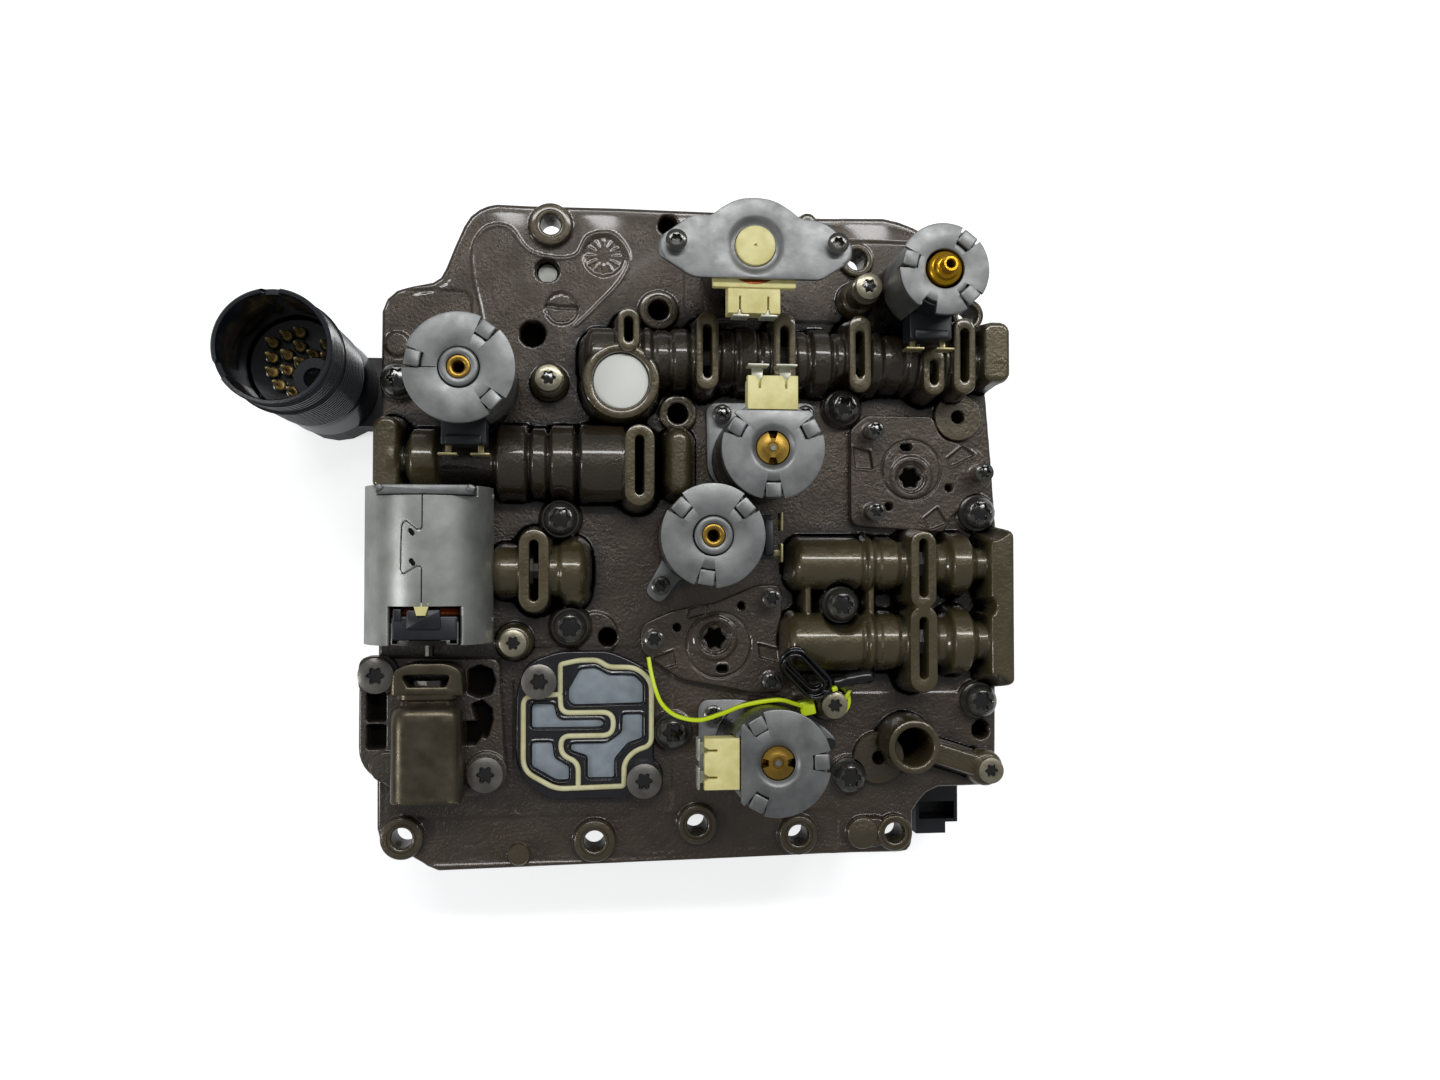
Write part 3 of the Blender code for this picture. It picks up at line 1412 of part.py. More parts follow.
def build_canister():
    """The housing of the valve that the lying solenoid drives: flange, slotted plate, neck and canister."""
    low = CANISTER_Z
    top = low + CANISTER_THICK
    base = slab(rounded(CANISTER_OUTLINE), low, top, "canister_housing")
    half = CANISTER_HALF
    rise = LYING_Z + half - CANISTER_DROP
    sink = top - CANISTER_SINK
    section = rounded((
        (LYING_X - half, -rise, CANISTER_CORNER), (LYING_X + half, -rise, CANISTER_CORNER),
        (LYING_X + half, -sink), (LYING_X - half, -sink),
    ))
    barrel = slab(section, CANISTER_BARREL[0], CANISTER_BARREL[1], "canister")
    barrel.data.transform(Matrix.Rotation(-math.pi / 2, 4, "X"))
    neck_ends = (CANISTER_BARREL[1] - THROUGH, CANISTER_HEAD[0] + THROUGH)
    waist = half - CANISTER_NECK[0]
    neck_top = LYING_Z + half - CANISTER_NECK[1]
    neck = box((LYING_X - waist, LYING_X + waist), neck_ends, (sink, neck_top), "neck")
    head_top = LYING_Z + CANISTER_HEAD_RISE
    head = box((LYING_X - half, LYING_X + half), CANISTER_HEAD, (sink, head_top), "head")
    disc = cylinder(CANISTER_DISC[2], sink, top + CANISTER_DISC_RISE, CANISTER_DISC[:2], name="disc")
    fuse(base, [barrel, neck, head, disc] + [bolt_head(at, top) for at in CANISTER_BOLTS])
    bore = lying_cylinder(BORE, CANISTER_BORE, (LYING_X, LYING_Z), "Y", name="valve_bore")
    slot_x = (LYING_X - CANISTER_SLOT[0] / 2, LYING_X + CANISTER_SLOT[0] / 2)
    slot = box(slot_x, CANISTER_SLOT[1:], (LYING_Z, head_top + THROUGH), "slot")
    carve(base, [bore, slot] + pocket_cuts(CANISTER_POCKETS, top, POCKET_DEEP))
    keep(base, CAST)
    spool = turned(spool_profile(CANISTER_SPOOL, 3), "canister_spool", sides=SIDES_FEW)
    spool.rotation_euler = (-math.pi / 2, 0.0, 0.0)
    spool.location = (LYING_X, CANISTER_BORE[0] + CLEAR, LYING_Z)
    keep(spool, STEEL)


def build_port_plate():
    low = FACE_Z + CLEAR
    top = low + PORT_PLATE_THICK
    plate = slab(rounded(PORT_PLATE), low, top, "port_plate")
    fuse(plate, [bolt_head(at, top) for at in PORT_BOLTS])
    carve(plate, pocket_cuts(PORT_POCKETS, top, PORT_POCKET_DEEP))
    keep(plate, BLACK_PLASTIC)
    seal_low = top + CLEAR
    seal_top = seal_low + SEAL_HIGH
    seal = ribbon(SEAL_LOOP, SEAL_WIDE, seal_low, seal_top, True, "port_seal", step=60.0)
    fuse(seal, [ribbon(SEAL_BRANCH, SEAL_WIDE, seal_low, seal_top, False, "branch", step=60.0)])
    heights = (seal_low - THROUGH, seal_top + THROUGH)
    carve(seal, [cylinder(BOLT_SPACE, *heights, at, name="bolt_space") for at in PORT_BOLTS])
    keep(seal, SEAL_RUBBER)


def build_covers():
    low = FACE_Z + CLEAR
    top = low + COVER_THICK
    heights = (low - THROUGH, top + THROUGH)
    for side, spec in COVERS.items():
        cover = slab(rounded(spec["outline"]), low, top, "accumulator_cover_%s" % side)
        fuse(cover, [screw_head(at, top) for at in spec["screws"]])
        hub = cylinder(SEAT_HUB, top - SEAT_DEEP, heights[1], spec["hub"], name="hub")
        key = six_lobe(SEAT_KEY, spec["hub"], *heights)
        port = cylinder(COVER_PORT, *heights, spec["port"], sides=SIDES, name="port")
        cuts = [hub, key, port]
        for x, y, radius in FACE_PADS:
            cuts.append(cylinder(radius + CLEAR, *heights, (x, y), name="pad_space"))
        for at in BODY_BOLTS:
            cuts.append(cylinder(BOLT_SPACE, *heights, at, name="bolt_space"))
        carve(cover, cuts)
        keep(cover, CAST)


def build_brackets():
    low = FACE_Z + CLEAR
    top = low + BRACKET_THICK
    heights = (low - THROUGH, CAN_Z + THROUGH)
    for key, spec in BRACKETS.items():
        bracket = slab(rounded(spec["outline"]), low, top, "solenoid_%s_bracket" % key)
        at = SOLENOIDS[key]["at"]
        seat = cylinder(SEAT_RADIUS, low, CAN_Z - CLEAR, at, name="seat")
        fuse(bracket, [seat] + [screw_head(place, top) for place in spec["screws"]])
        carve(bracket, [cylinder(PILOT_HOLE, *heights, at, sides=SIDES_FEW, name="pilot")])
        keep(bracket, STEEL)


def build_filter_disc():
    low = FACE_Z + FILTER_RISE - FILTER_DEEP + CLEAR
    heights = (low, low + FILTER_THICK)
    disc = cylinder(FILTER_SEAT - CLEAR, *heights, FILTER, sides=SIDES_LARGE, name="filter_disc")
    keep(disc, PALE_DISC)


def smooth_points(route, count):
    """Points of a smooth curve through a route, at even steps of its parameter."""
    points = []
    last = len(route) - 1
    for k in range(count):
        place = last * k / (count - 1)
        index = min(int(place), last - 1)
        t = place - index
        p1, p2 = Vector(route[index]), Vector(route[index + 1])
        p0 = Vector(route[index - 1]) if index > 0 else 2 * p1 - p2
        p3 = Vector(route[index + 2]) if index + 2 <= last else 2 * p2 - p1
        points.append(0.5 * (2 * p1 + (p2 - p0) * t + (2 * p0 - 5 * p1 + 4 * p2 - p3) * t * t
                             + (3 * p1 - p0 - 3 * p2 + p3) * t ** 3))
    return points


def tube(points, radius, name):
    curve = bpy.data.curves.new(name, "CURVE")
    curve.dimensions = "3D"
    curve.bevel_depth = radius
    curve.bevel_resolution = 2
    curve.use_fill_caps = True
    spline = curve.splines.new("POLY")
    spline.points.add(len(points) - 1)
    for point, place in zip(spline.points, points):
        point.co = (*place, 1.0)
    return mesh_from_curve(curve, name)


def strap(points, thick, tall, name):
    """A strip on its edge along a line of points, as one closed solid."""
    flat = offset([Vector(point[:2]) for point in points], thick / 2, False)
    other = offset([Vector(point[:2]) for point in points], -thick / 2, False)
    shape = bmesh.new()
    rings = []
    for left, right, point in zip(flat, other, points):
        low = point[2] - tall / 2
        high = point[2] + tall / 2
        corners = ((left, low), (right, low), (right, high), (left, high))
        rings.append([shape.verts.new((side.x, side.y, z)) for side, z in corners])
    for first, second in zip(rings, rings[1:]):
        for k in range(4):
            shape.faces.new((first[k], first[k - 1], second[k - 1], second[k]))
    shape.faces.new(rings[0])
    shape.faces.new(rings[-1][::-1])
    bmesh.ops.recalc_face_normals(shape, faces=shape.faces)
    return object_of(name, shape)


def build_hank():
    """The wound cord as one closed solid, leaning from the tie up onto the row beside it."""
    corners = [(x, y - HANK_FOOT[0], HANK_ROUND) for x, y in HANK]
    hank = slab(rounded(corners), 0.0, HANK_HIGH, "cord_hank")
    lean = Matrix.Rotation(math.radians(HANK_TILT), 4, "X")
    hank.data.transform(Matrix.Translation((0.0, HANK_FOOT[0], HANK_FOOT[1])) @ lean)
    keep(hank, CORD_BLACK)
    keep(tube(smooth_points(CORD_ROUTE, CORD_POINTS), SLEEVE, "cord_end_sleeve"), CORD_BLACK)


def build_tie():
    """The cable tie: its ring round the post, its head and the long free strap."""
    post = POST_BOLTS[2][:2]
    inner, outer, low, high = TIE_RING
    tie = slab(circle(outer, post), low, high, "cable_tie", holes=(circle(inner, post),))
    x, y = TIE_ROUTE[0][:2]
    long, wide, head_low, head_high = TIE_HEAD
    head = box((x - long / 2, x + long / 2), (y - wide / 2, y + wide / 2), (head_low, head_high), "tie_head")
    tail = strap(smooth_points(TIE_ROUTE, TIE_POINTS), TIE_THICK, TIE_TALL, "tie_tail")
    fuse(tie, [head, tail])
    keep(tie, LIME)


build_valve_body()
build_spools()
build_lower_stack()
build_electronics()
build_connector()
build_seal_ring()
build_solenoids()
build_lying_solenoid()
build_canister()
build_port_plate()
build_covers()
build_brackets()
build_filter_disc()
build_hank()
build_tie()
bpy.context.scene.collection.children.link(PARTS)
bpy.context.scene.collection.children.link(TOOLS)
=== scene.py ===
# %% [markdown]
# # Transmission mechatronic unit
# A cast valve body lies on a plastic electronics module. Seven solenoids stand or lie on its face, and
# six bored rows hold the spool valves. The unit is oily from service, so the casting is dark and glossy,
# while the pressed steel caps of the solenoids are pale and matt.
#
# Sizes are written in millimetres, as on a drawing, and become metres when a mesh is made. X runs along
# the spool rows, Y across them and Z out of the casting's face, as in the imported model.

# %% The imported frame
import math

import bmesh
import bpy
import numpy as np
from mathutils import Matrix, Vector


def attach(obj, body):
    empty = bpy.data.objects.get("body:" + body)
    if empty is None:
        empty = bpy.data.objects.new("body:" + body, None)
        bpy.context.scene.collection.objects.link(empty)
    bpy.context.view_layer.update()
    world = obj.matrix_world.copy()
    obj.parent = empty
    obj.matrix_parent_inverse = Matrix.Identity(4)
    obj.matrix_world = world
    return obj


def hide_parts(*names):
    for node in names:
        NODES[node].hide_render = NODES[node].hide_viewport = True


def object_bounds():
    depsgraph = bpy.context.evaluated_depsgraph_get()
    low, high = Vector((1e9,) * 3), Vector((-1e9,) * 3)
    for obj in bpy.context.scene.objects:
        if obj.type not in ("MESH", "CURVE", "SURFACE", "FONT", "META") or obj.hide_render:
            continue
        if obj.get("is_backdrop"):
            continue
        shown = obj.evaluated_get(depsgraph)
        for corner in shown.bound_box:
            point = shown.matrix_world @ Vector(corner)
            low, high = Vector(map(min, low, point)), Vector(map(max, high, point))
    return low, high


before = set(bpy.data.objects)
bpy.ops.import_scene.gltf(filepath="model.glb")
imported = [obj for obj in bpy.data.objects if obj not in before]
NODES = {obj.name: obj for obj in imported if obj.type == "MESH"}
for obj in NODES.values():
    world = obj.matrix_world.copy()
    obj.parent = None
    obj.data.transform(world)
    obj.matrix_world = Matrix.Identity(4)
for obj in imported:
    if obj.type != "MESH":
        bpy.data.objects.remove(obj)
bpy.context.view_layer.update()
MM = 0.001

# %% [markdown]
# ## The photographer's place
# The unit was photographed from above, a little off to the left, with a normal lens about 0.45 m over the
# table. The three directions below are the camera's own right, up and back, found from the way that upright
# sides lean away from one point of the picture.

# %% Camera
CAMERA_PLACE = Vector((-0.03584, -0.01167, 0.446))
PICTURE_WIDE = 1440.0
SENSOR_MM = 36.0
FOCAL_PIXELS = 1190.0
LEAN = np.array([132.0, 30.0, FOCAL_PIXELS])
up_seen = LEAN / np.linalg.norm(LEAN)
right_seen = np.array([1.0, 0.0, 0.0]) - up_seen * up_seen[0]
right_seen /= np.linalg.norm(right_seen)
away_seen = np.cross(up_seen, right_seen)

camera_data = bpy.data.cameras.new("camera")
camera_data.sensor_width = SENSOR_MM
camera_data.lens = SENSOR_MM * FOCAL_PIXELS / PICTURE_WIDE
camera_data.clip_start, camera_data.clip_end = 0.02, 20.0
camera = bpy.data.objects.new("camera", camera_data)
bpy.context.scene.collection.objects.link(camera)
turn = Matrix((right_seen, away_seen, up_seen)).to_4x4()
camera.matrix_world = Matrix.Translation(CAMERA_PLACE) @ turn
bpy.context.scene.camera = camera
print("camera lens", round(camera_data.lens, 1), "mm")

# %% [markdown]
# ## Light and floor
# A white bench, one long narrow soft box high over the far edge, and a small one at each side. The wet
# casting shows the boxes as small bright streaks, which is most of its look. The floor is white to the
# camera through Light Path, so no lamp has to be turned up for it.


# %% Nodes by one small function
def add_node(tree, kind, settings=None, links=None):
    """Adds a node. settings are its properties or, by name, its input values; links are its inputs' sources."""
    node = tree.nodes.new(kind)
    for name, value in (settings or {}).items():
        if name in node.inputs and not hasattr(node, name):
            node.inputs[name].default_value = value
        else:
            setattr(node, name, value)
    for name, source in (links or {}).items():
        tree.links.new(source, node.inputs[name])
    return node


def linear(hex_colour, alpha=1.0):
    """An sRGB hex colour as linear red, green and blue."""
    parts = [int(hex_colour[i:i + 2], 16) / 255 for i in (1, 3, 5)]
    return [p / 12.92 if p <= 0.04045 else ((p + 0.055) / 1.055) ** 2.4 for p in parts] + [alpha]


# %% World, lamps and floor
WORLD_LIGHT = 0.24
FLOOR_GLOW = 0.62
WHITE = linear("#ffffff")
scene = bpy.context.scene
scene.view_settings.view_transform = "Standard"
world = bpy.data.worlds.new("studio")
scene.world = world
world.use_nodes = True
tree = world.node_tree
tree.nodes.clear()
rays = add_node(tree, "ShaderNodeLightPath").outputs
seen = add_node(
    tree, "ShaderNodeMath", {"operation": "MAXIMUM"}, {0: rays["Is Camera Ray"], 1: rays["Is Transmission Ray"]})
dim = add_node(tree, "ShaderNodeBackground", {"Color": linear("#f4f6f8"), "Strength": WORLD_LIGHT})
bright = add_node(tree, "ShaderNodeBackground", {"Color": WHITE, "Strength": 1.0})
mix = add_node(tree, "ShaderNodeMixShader", links={0: seen.outputs[0], 1: dim.outputs[0], 2: bright.outputs[0]})
add_node(tree, "ShaderNodeOutputWorld", links={"Surface": mix.outputs[0]})


def soft_box(name, place, aim, wide, deep, watts):
    """A rectangular area lamp that faces a point."""
    lamp = bpy.data.lights.new(name, "AREA")
    lamp.shape = "RECTANGLE"
    lamp.size, lamp.size_y = wide, deep
    lamp.energy = watts
    made = bpy.data.objects.new(name, lamp)
    scene.collection.objects.link(made)
    direction = Vector(aim) - Vector(place)
    made.matrix_world = Matrix.Translation(place) @ direction.to_track_quat("-Z", "Y").to_matrix().to_4x4()


soft_box("strip_above", (0.06, 0.46, 0.95), (0.03, 0.0, 0.05), 0.90, 0.12, 4.6)
soft_box("box_left", (-0.85, -0.20, 0.75), (0.0, 0.0, 0.05), 0.20, 0.20, 2.2)
soft_box("box_right", (0.70, 0.45, 0.85), (0.0, 0.0, 0.05), 0.20, 0.20, 1.6)

floor_mesh = bpy.data.meshes.new("bench")
floor_mesh.from_pydata([(-3, -3, 0), (3, -3, 0), (3, 3, 0), (-3, 3, 0)], [], [(0, 1, 2, 3)])
floor = bpy.data.objects.new("bench", floor_mesh)
scene.collection.objects.link(floor)
floor.location.z = -0.2 * MM
floor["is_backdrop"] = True
floor_paint = bpy.data.materials.new("white_bench")
floor_paint.use_nodes = True
tree = floor_paint.node_tree
tree.nodes.clear()
matt = add_node(tree, "ShaderNodeBsdfDiffuse", {"Color": linear("#f6f7f8")})
glow = add_node(tree, "ShaderNodeEmission", {"Color": WHITE, "Strength": FLOOR_GLOW})
both = add_node(tree, "ShaderNodeAddShader", links={0: matt.outputs[0], 1: glow.outputs[0]})
rays = add_node(tree, "ShaderNodeLightPath").outputs
lit = add_node(tree, "ShaderNodeMixShader", links={0: rays["Is Camera Ray"], 1: matt.outputs[0], 2: both.outputs[0]})
add_node(tree, "ShaderNodeOutputMaterial", links={"Surface": lit.outputs[0]})
floor_mesh.materials.append(floor_paint)
print("lamps:", round(sum(lamp.energy for lamp in bpy.data.lights), 1), "W in", len(bpy.data.lights), "soft boxes")

# %% [markdown]
# ## Finishes
# Every finish starts from a Principled shader. The pattern is worked out in object space, and its scale is
# written as a real size: a cycle of so many millimetres.


# %% Helpers for finishes
def finish(name, base, rough, metal=0.0, coat=0.0, coat_rough=0.12):
    """A material with one Principled shader: its tree, the shader and object coordinates in metres."""
    made = bpy.data.materials.new(name)
    made.use_nodes = True
    tree = made.node_tree
    shader = tree.nodes["Principled BSDF"]
    for label, value in (("Base Color", linear(base)), ("Roughness", rough), ("Metallic", metal),
                         ("Coat Weight", coat), ("Coat Roughness", coat_rough)):
        shader.inputs[label].default_value = value
    return made, tree, shader, add_node(tree, "ShaderNodeTexCoord").outputs["Object"]


def cycle(size_mm, detail=3.0, rough=0.55):
    """Settings of a noise whose cycle is so many millimetres."""
    return {"Scale": 1.0 / (size_mm * MM), "Detail": detail, "Roughness": rough}


def share(tree, place, source, low=0.0, high=1.0, to_low=0.0, to_high=1.0):
    """An amount that varies over the surface. The source is a noise's settings or the name of a mesh attribute;
    what lies between low and high is stretched to the other range, clamped."""
    if isinstance(source, str):
        value = add_node(tree, "ShaderNodeAttribute", {"attribute_name": source})
    else:
        value = add_node(tree, "ShaderNodeTexNoise", source, {"Vector": place})
    limits = {"From Min": low, "From Max": high, "To Min": to_low, "To Max": to_high}
    return add_node(tree, "ShaderNodeMapRange", limits, {"Value": value.outputs["Fac"]}).outputs["Result"]


def colour_layers(tree, shader, base, layers):
    """Lays colours over a base colour, each by its amount: a chain of mixes that ends in the shader's colour."""
    below = None
    for amount, colour in layers:
        mixed = add_node(tree, "ShaderNodeMix", {"data_type": "RGBA"}, {"Factor": amount})
        mixed.inputs[7].default_value = linear(colour)
        if below is None:
            mixed.inputs[6].default_value = linear(base)
        else:
            tree.links.new(below, mixed.inputs[6])
        below = mixed.outputs[2]
    tree.links.new(below, shader.inputs["Base Color"])


def bumps(tree, shader, place, layers):
    """Chains bumps, each a noise's settings, its depth in millimetres and the amount it is weakened by, or None."""
    normal = None
    for settings, depth_mm, amount in layers:
        height = add_node(tree, "ShaderNodeTexNoise", settings, {"Vector": place}).outputs["Fac"]
        if amount is not None:
            height = add_node(tree, "ShaderNodeMath", {"operation": "MULTIPLY"}, {0: height, 1: amount}).outputs[0]
        bump = add_node(tree, "ShaderNodeBump", {"Distance": depth_mm * MM, "Strength": 1.0}, {"Height": height})
        if normal is not None:
            tree.links.new(normal, bump.inputs["Normal"])
        normal = bump.outputs["Normal"]
    tree.links.new(normal, shader.inputs["Normal"])


print("a cycle of 2 mm has the scale", cycle(2.0)["Scale"], "per metre")

# %% [markdown]
# ### Oily cast aluminium
# The body is die-cast aluminium under a film of old gearbox oil. Cast skin is finely grained, and the oil makes
# it dark brown. Painted shade, with the oil that gathers there, makes corners, recesses and holes nearly black,
# and where it is deepest it has no coat left. Two attributes come from the mesh: "tint" is 1 on the tubes and
# flanges, where the oil looks olive, and the painted shade is 1 in corners, recesses and holes.


# %% Oily cast aluminium
def oily_casting(name, flat="#3d332a", olive="#50472f", oil_and_shade_black="#080706"):
    """Clouds of 14 mm show where the film is thick, grains of 1 mm the cast skin with its worn peaks, and swells of
    4 and 6 mm the orange peel of the oil and its changing gloss. The last colour is painted shade with oil, and
    where it is deepest it has no coat, specular or metal left."""
    made, tree, shader, place = finish(name, flat, 0.34, metal=0.35, coat=0.85, coat_rough=0.09)
    skin = cycle(1.0, 4.0, 0.6)
    # The last layer is painted shade with the oil that gathers there: nearly black in corners, recesses and holes
    colour_layers(tree, shader, flat, [
        (share(tree, place, cycle(14.0, 4.0), 0.35, 0.65), "#473b2f"), (share(tree, place, "tint"), olive),
        (share(tree, place, skin, 0.62, 0.80, 0.0, 0.30), "#7d7363"), (share(tree, place, "oil_and_shade"), oil_and_shade_black)])
    # Where the painted shade is deepest it loses its coat, its specular and its metal
    for label, dry in (("Coat Weight", 0.85), ("Specular IOR Level", 0.5), ("Metallic", 0.35)):
        tree.links.new(share(tree, place, "oil_and_shade", 0.8, 1.0, dry, 0.0), shader.inputs[label])
    tree.links.new(share(tree, place, cycle(6.0), 0.35, 0.65, 0.22, 0.46), shader.inputs["Roughness"])
    smoother = share(tree, place, "tint", 0.0, 1.0, 1.0, 0.45)
    bumps(tree, shader, place, [(skin, 0.30, smoother), (cycle(4.0, 2.0), 0.18, None)])
    return made


CASTING = oily_casting("oily_die_cast_aluminium")
print("casting finish:", len(CASTING.node_tree.nodes), "nodes")

# %% [markdown]
# ### Pressed steel
# The solenoid cans and caps are pressed from cold-rolled strip. Rolled strip is matt and faintly cloudy,
# with small grey specks where oil has dried.


# %% Pressed steel
def pressed_steel(name, colour="#8c8d8d", rough=0.42, second="#737474"):
    """Clouds of 9 mm are the strip's uneven matt grey, flecks of 0.7 mm the dried oil and patches of 4 mm its gloss.
    The mill's grain is drawn at 0.5 mm, coarser than it is, so that it shows."""
    made, tree, shader, place = finish(name, colour, rough, metal=0.75)
    colour_layers(tree, shader, colour, [
        (share(tree, place, cycle(9.0, 4.0), 0.35, 0.65), second),
        (share(tree, place, cycle(0.7, 4.0, 0.6), 0.62, 0.75, 0.0, 0.35), "#6d6b66")])
    gloss = share(tree, place, cycle(4.0), 0.3, 0.7, rough - 0.06, rough + 0.08)
    tree.links.new(gloss, shader.inputs["Roughness"])
    bumps(tree, shader, place, [(cycle(0.5), 0.02, None)])
    return made


STRIP_STEEL = pressed_steel("cold_rolled_strip_steel")
# A dark, oiled copy of the strip that also paints shade: the cans' cups under the caps, the bracket cups and the
# lying can's front disc
OILED_SHADED_STRIP = pressed_steel("oiled_strip_steel_and_painted_shade", "#34322f", 0.30, "#252321")
SHEET_ZINC = pressed_steel("zinc_separator_sheet", "#84857f", 0.4, second="#6d6e68")
print("pressed steels:", STRIP_STEEL.name, OILED_SHADED_STRIP.name, SHEET_ZINC.name)


# %% Plain finishes: plastics, rubber, brass, bolts
def moulded(name, colour, rough, metal=0.0, coat=0.0, second=None):
    """A moulded, plated or turned surface: clouds of 5 mm in a second colour, and a fine grain of 0.8 mm."""
    made, tree, shader, place = finish(name, colour, rough, metal, coat)
    if second:
        colour_layers(tree, shader, colour, [(share(tree, place, cycle(5.0), 0.35, 0.65), second)])
    bumps(tree, shader, place, [(cycle(0.8), 0.03, None)])
    return made


# Each name says the material, and the words after it what that gives the eye
BLACK_PLASTIC = moulded("black_glass_filled_nylon", "#16181d", 0.38, second="#1f2126")  # dull, faintly clouded
YELLOW_PLASTIC = moulded("pale_yellow_nylon", "#e9e2a2", 0.45, second="#d6cc86")  # chalky, stained by oil
PALE_DISC = moulded("off_white_filter_disc", "#e8ebe4", 0.6)  # dry and nearly white
# Painted shade: black plates stand for the dark depth of the bolts' sockets and of a bracket's screw hole
SOCKET_SHADE_BLACK = moulded("painted_shade_in_socket", "#060505", 0.12, coat=1.0)  # a black mirror
LIME = moulded("lime_nylon_tie", "#cfe617", 0.38)  # bright satin
CREAM_SEAL = moulded("cream_silicone_bead", "#dcd9b0", 0.5, second="#c9c596")  # soft and dull
BRASS = moulded("turned_brass", "#a8873a", 0.34, metal=0.85, second="#8d7030")  # warm, browned in patches
GOLD = moulded("yellow_brass_nozzle", "#c99a1e", 0.25, metal=0.85)  # brighter and more polished
BLACK_RUBBER = moulded("black_cord_sleeve", "#0c0c0e", 0.28, coat=0.3)  # a soft shine
COPPER = moulded("enamelled_copper_wire", "#8f4a22", 0.30, metal=0.8)  # red-brown under enamel
POCKET_GREY = moulded("grey_blue_pocket_floor", "#8c979f", 0.5, second="#7c868d")  # pale and matt
DARK_BOLT = moulded("blackened_bolt_steel", "#57564f", 0.24, metal=0.6, coat=0.9, second="#434240")  # wet and dark
LIGHT_BOLT = moulded("zinc_plated_bolt_steel", "#a39d88", 0.30, metal=0.7, coat=0.5, second="#8a8470")  # straw grey
SPOOL_STEEL = moulded("ground_spool_steel", "#4c4a46", 0.36, metal=0.8)  # dark satin
TERMINAL_TIN = moulded("oiled_tin_terminals", "#b9ad7c", 0.34, metal=0.6, coat=0.3, second="#8f8560")  # yellowed
PALE_TIN = moulded("pale_tin_terminals", "#c9cabb", 0.36, metal=0.5, coat=0.2, second="#a9aa9c")  # clean, whitish
print("finishes so far:", len(bpy.data.materials))

# %% [markdown]
# ## The casting
# Seen from above, a casting is a height for each point of its plan: flat lands, round tubes that lie half
# in the face, bosses, ribs and slotted flanges, all with a little draft on their sides and a fillet at
# their feet. So the whole face is worked out as one sheet of heights on a fine grid. Each feature is a
# signed distance in plan, negative inside, and a height made from it. Features are joined by a smooth
# maximum, which leaves the fillet that a foundry pattern needs.

# %% Levels of the casting, its draft and its grid
FACE, UNDER, ROW = 51.3, 39.3, 57.8
MOUNT_TOP, SEAT_TOP = 54.3, 57.7
SLOT_FLOOR, HOLE_FLOOR = 52.2, 43.0
STEP_MM = 0.5
DRAFT, STEEP = 5.0, 9.0
print("casting:", FACE - UNDER, "mm thick, rows", round(ROW - FACE, 1), "mm over its face")


# %% Distances in plan, negative inside
def circle_sd(x, y, cx, cy, r):
    """Distance to a circle: length from its centre, less its radius."""
    return np.hypot(x - cx, y - cy) - r


def capsule_sd(x, y, x1, y1, x2, y2, r):
    """Distance to a line with round ends: length to the nearest point of the line, less half its width."""
    dx, dy = x2 - x1, y2 - y1
    along = np.clip(((x - x1) * dx + (y - y1) * dy) / max(dx * dx + dy * dy, 1e-9), 0.0, 1.0)
    return np.hypot(x - x1 - along * dx, y - y1 - along * dy) - r


def box_sd(x, y, x1, x2, y1, y2, r=0.0):
    """Distance to a rectangle with rounded corners."""
    qx = np.abs(x - (x1 + x2) / 2) - (x2 - x1) / 2 + r
    qy = np.abs(y - (y1 + y2) / 2) - (y2 - y1) / 2 + r
    return np.hypot(np.maximum(qx, 0), np.maximum(qy, 0)) + np.minimum(np.maximum(qx, qy), 0) - r


def ring_sd(x, y, cx, cy, r, half):
    """Distance to a ring: how far its circle is, less half its width."""
    return np.abs(circle_sd(x, y, cx, cy, r)) - half


def polygon_sd(x, y, points):
    """Distance to a closed polygon: the least distance to its edges, negative where a ray crosses an odd number."""
    points = np.asarray(points, float)
    best = np.full(x.shape, 1e9)
    inside = np.zeros(x.shape, bool)
    for (x1, y1), (x2, y2) in zip(points, np.roll(points, -1, 0)):
        best = np.minimum(best, capsule_sd(x, y, x1, y1, x2, y2, 0.0))
        crosses = (y1 > y) != (y2 > y)
        if y1 != y2:
            inside ^= crosses & (x < (x2 - x1) * (y - y1) / (y2 - y1) + x1)
    return np.where(inside, -best, best)


def polyline_sd(x, y, points, r):
    """Distance to an open line of points with a width."""
    best = np.full(x.shape, 1e9)
    for (x1, y1), (x2, y2) in zip(points, points[1:]):
        best = np.minimum(best, capsule_sd(x, y, x1, y1, x2, y2, r))
    return best


def smooth_line(points, per=6):
    """A Catmull-Rom curve through points: each stretch is a cubic of its four nearest points."""
    p = np.asarray(points, float)
    p = np.vstack([2 * p[0] - p[1], p, 2 * p[-1] - p[-2]])
    t = np.linspace(0, 1, per, endpoint=False)[None, :, None]
    a, b, c, d = p[:-3, None], p[1:-2, None], p[2:-1, None], p[3:, None]
    curve = 0.5 * (2 * b + (c - a) * t + (2 * a - 5 * b + 4 * c - d) * t ** 2 + (3 * b - a - 3 * c + d) * t ** 3)
    return np.vstack([curve.reshape(-1, p.shape[1]), p[-2]])


print("from (3, 4) to a circle of 1 mm:", circle_sd(3.0, 4.0, 0.0, 0.0, 1.0), "mm")


# %% Heights made from distances
def within(sd, soft):
    """1 inside a shape and 0 outside it, over a soft edge so many millimetres wide."""
    return np.clip(0.5 - sd / soft, 0, 1)


def ridge(sd, half):
    """1 on a line, falling evenly to 0 at so many millimetres to both sides."""
    return np.clip(1 - np.abs(sd) / half, 0, 1)


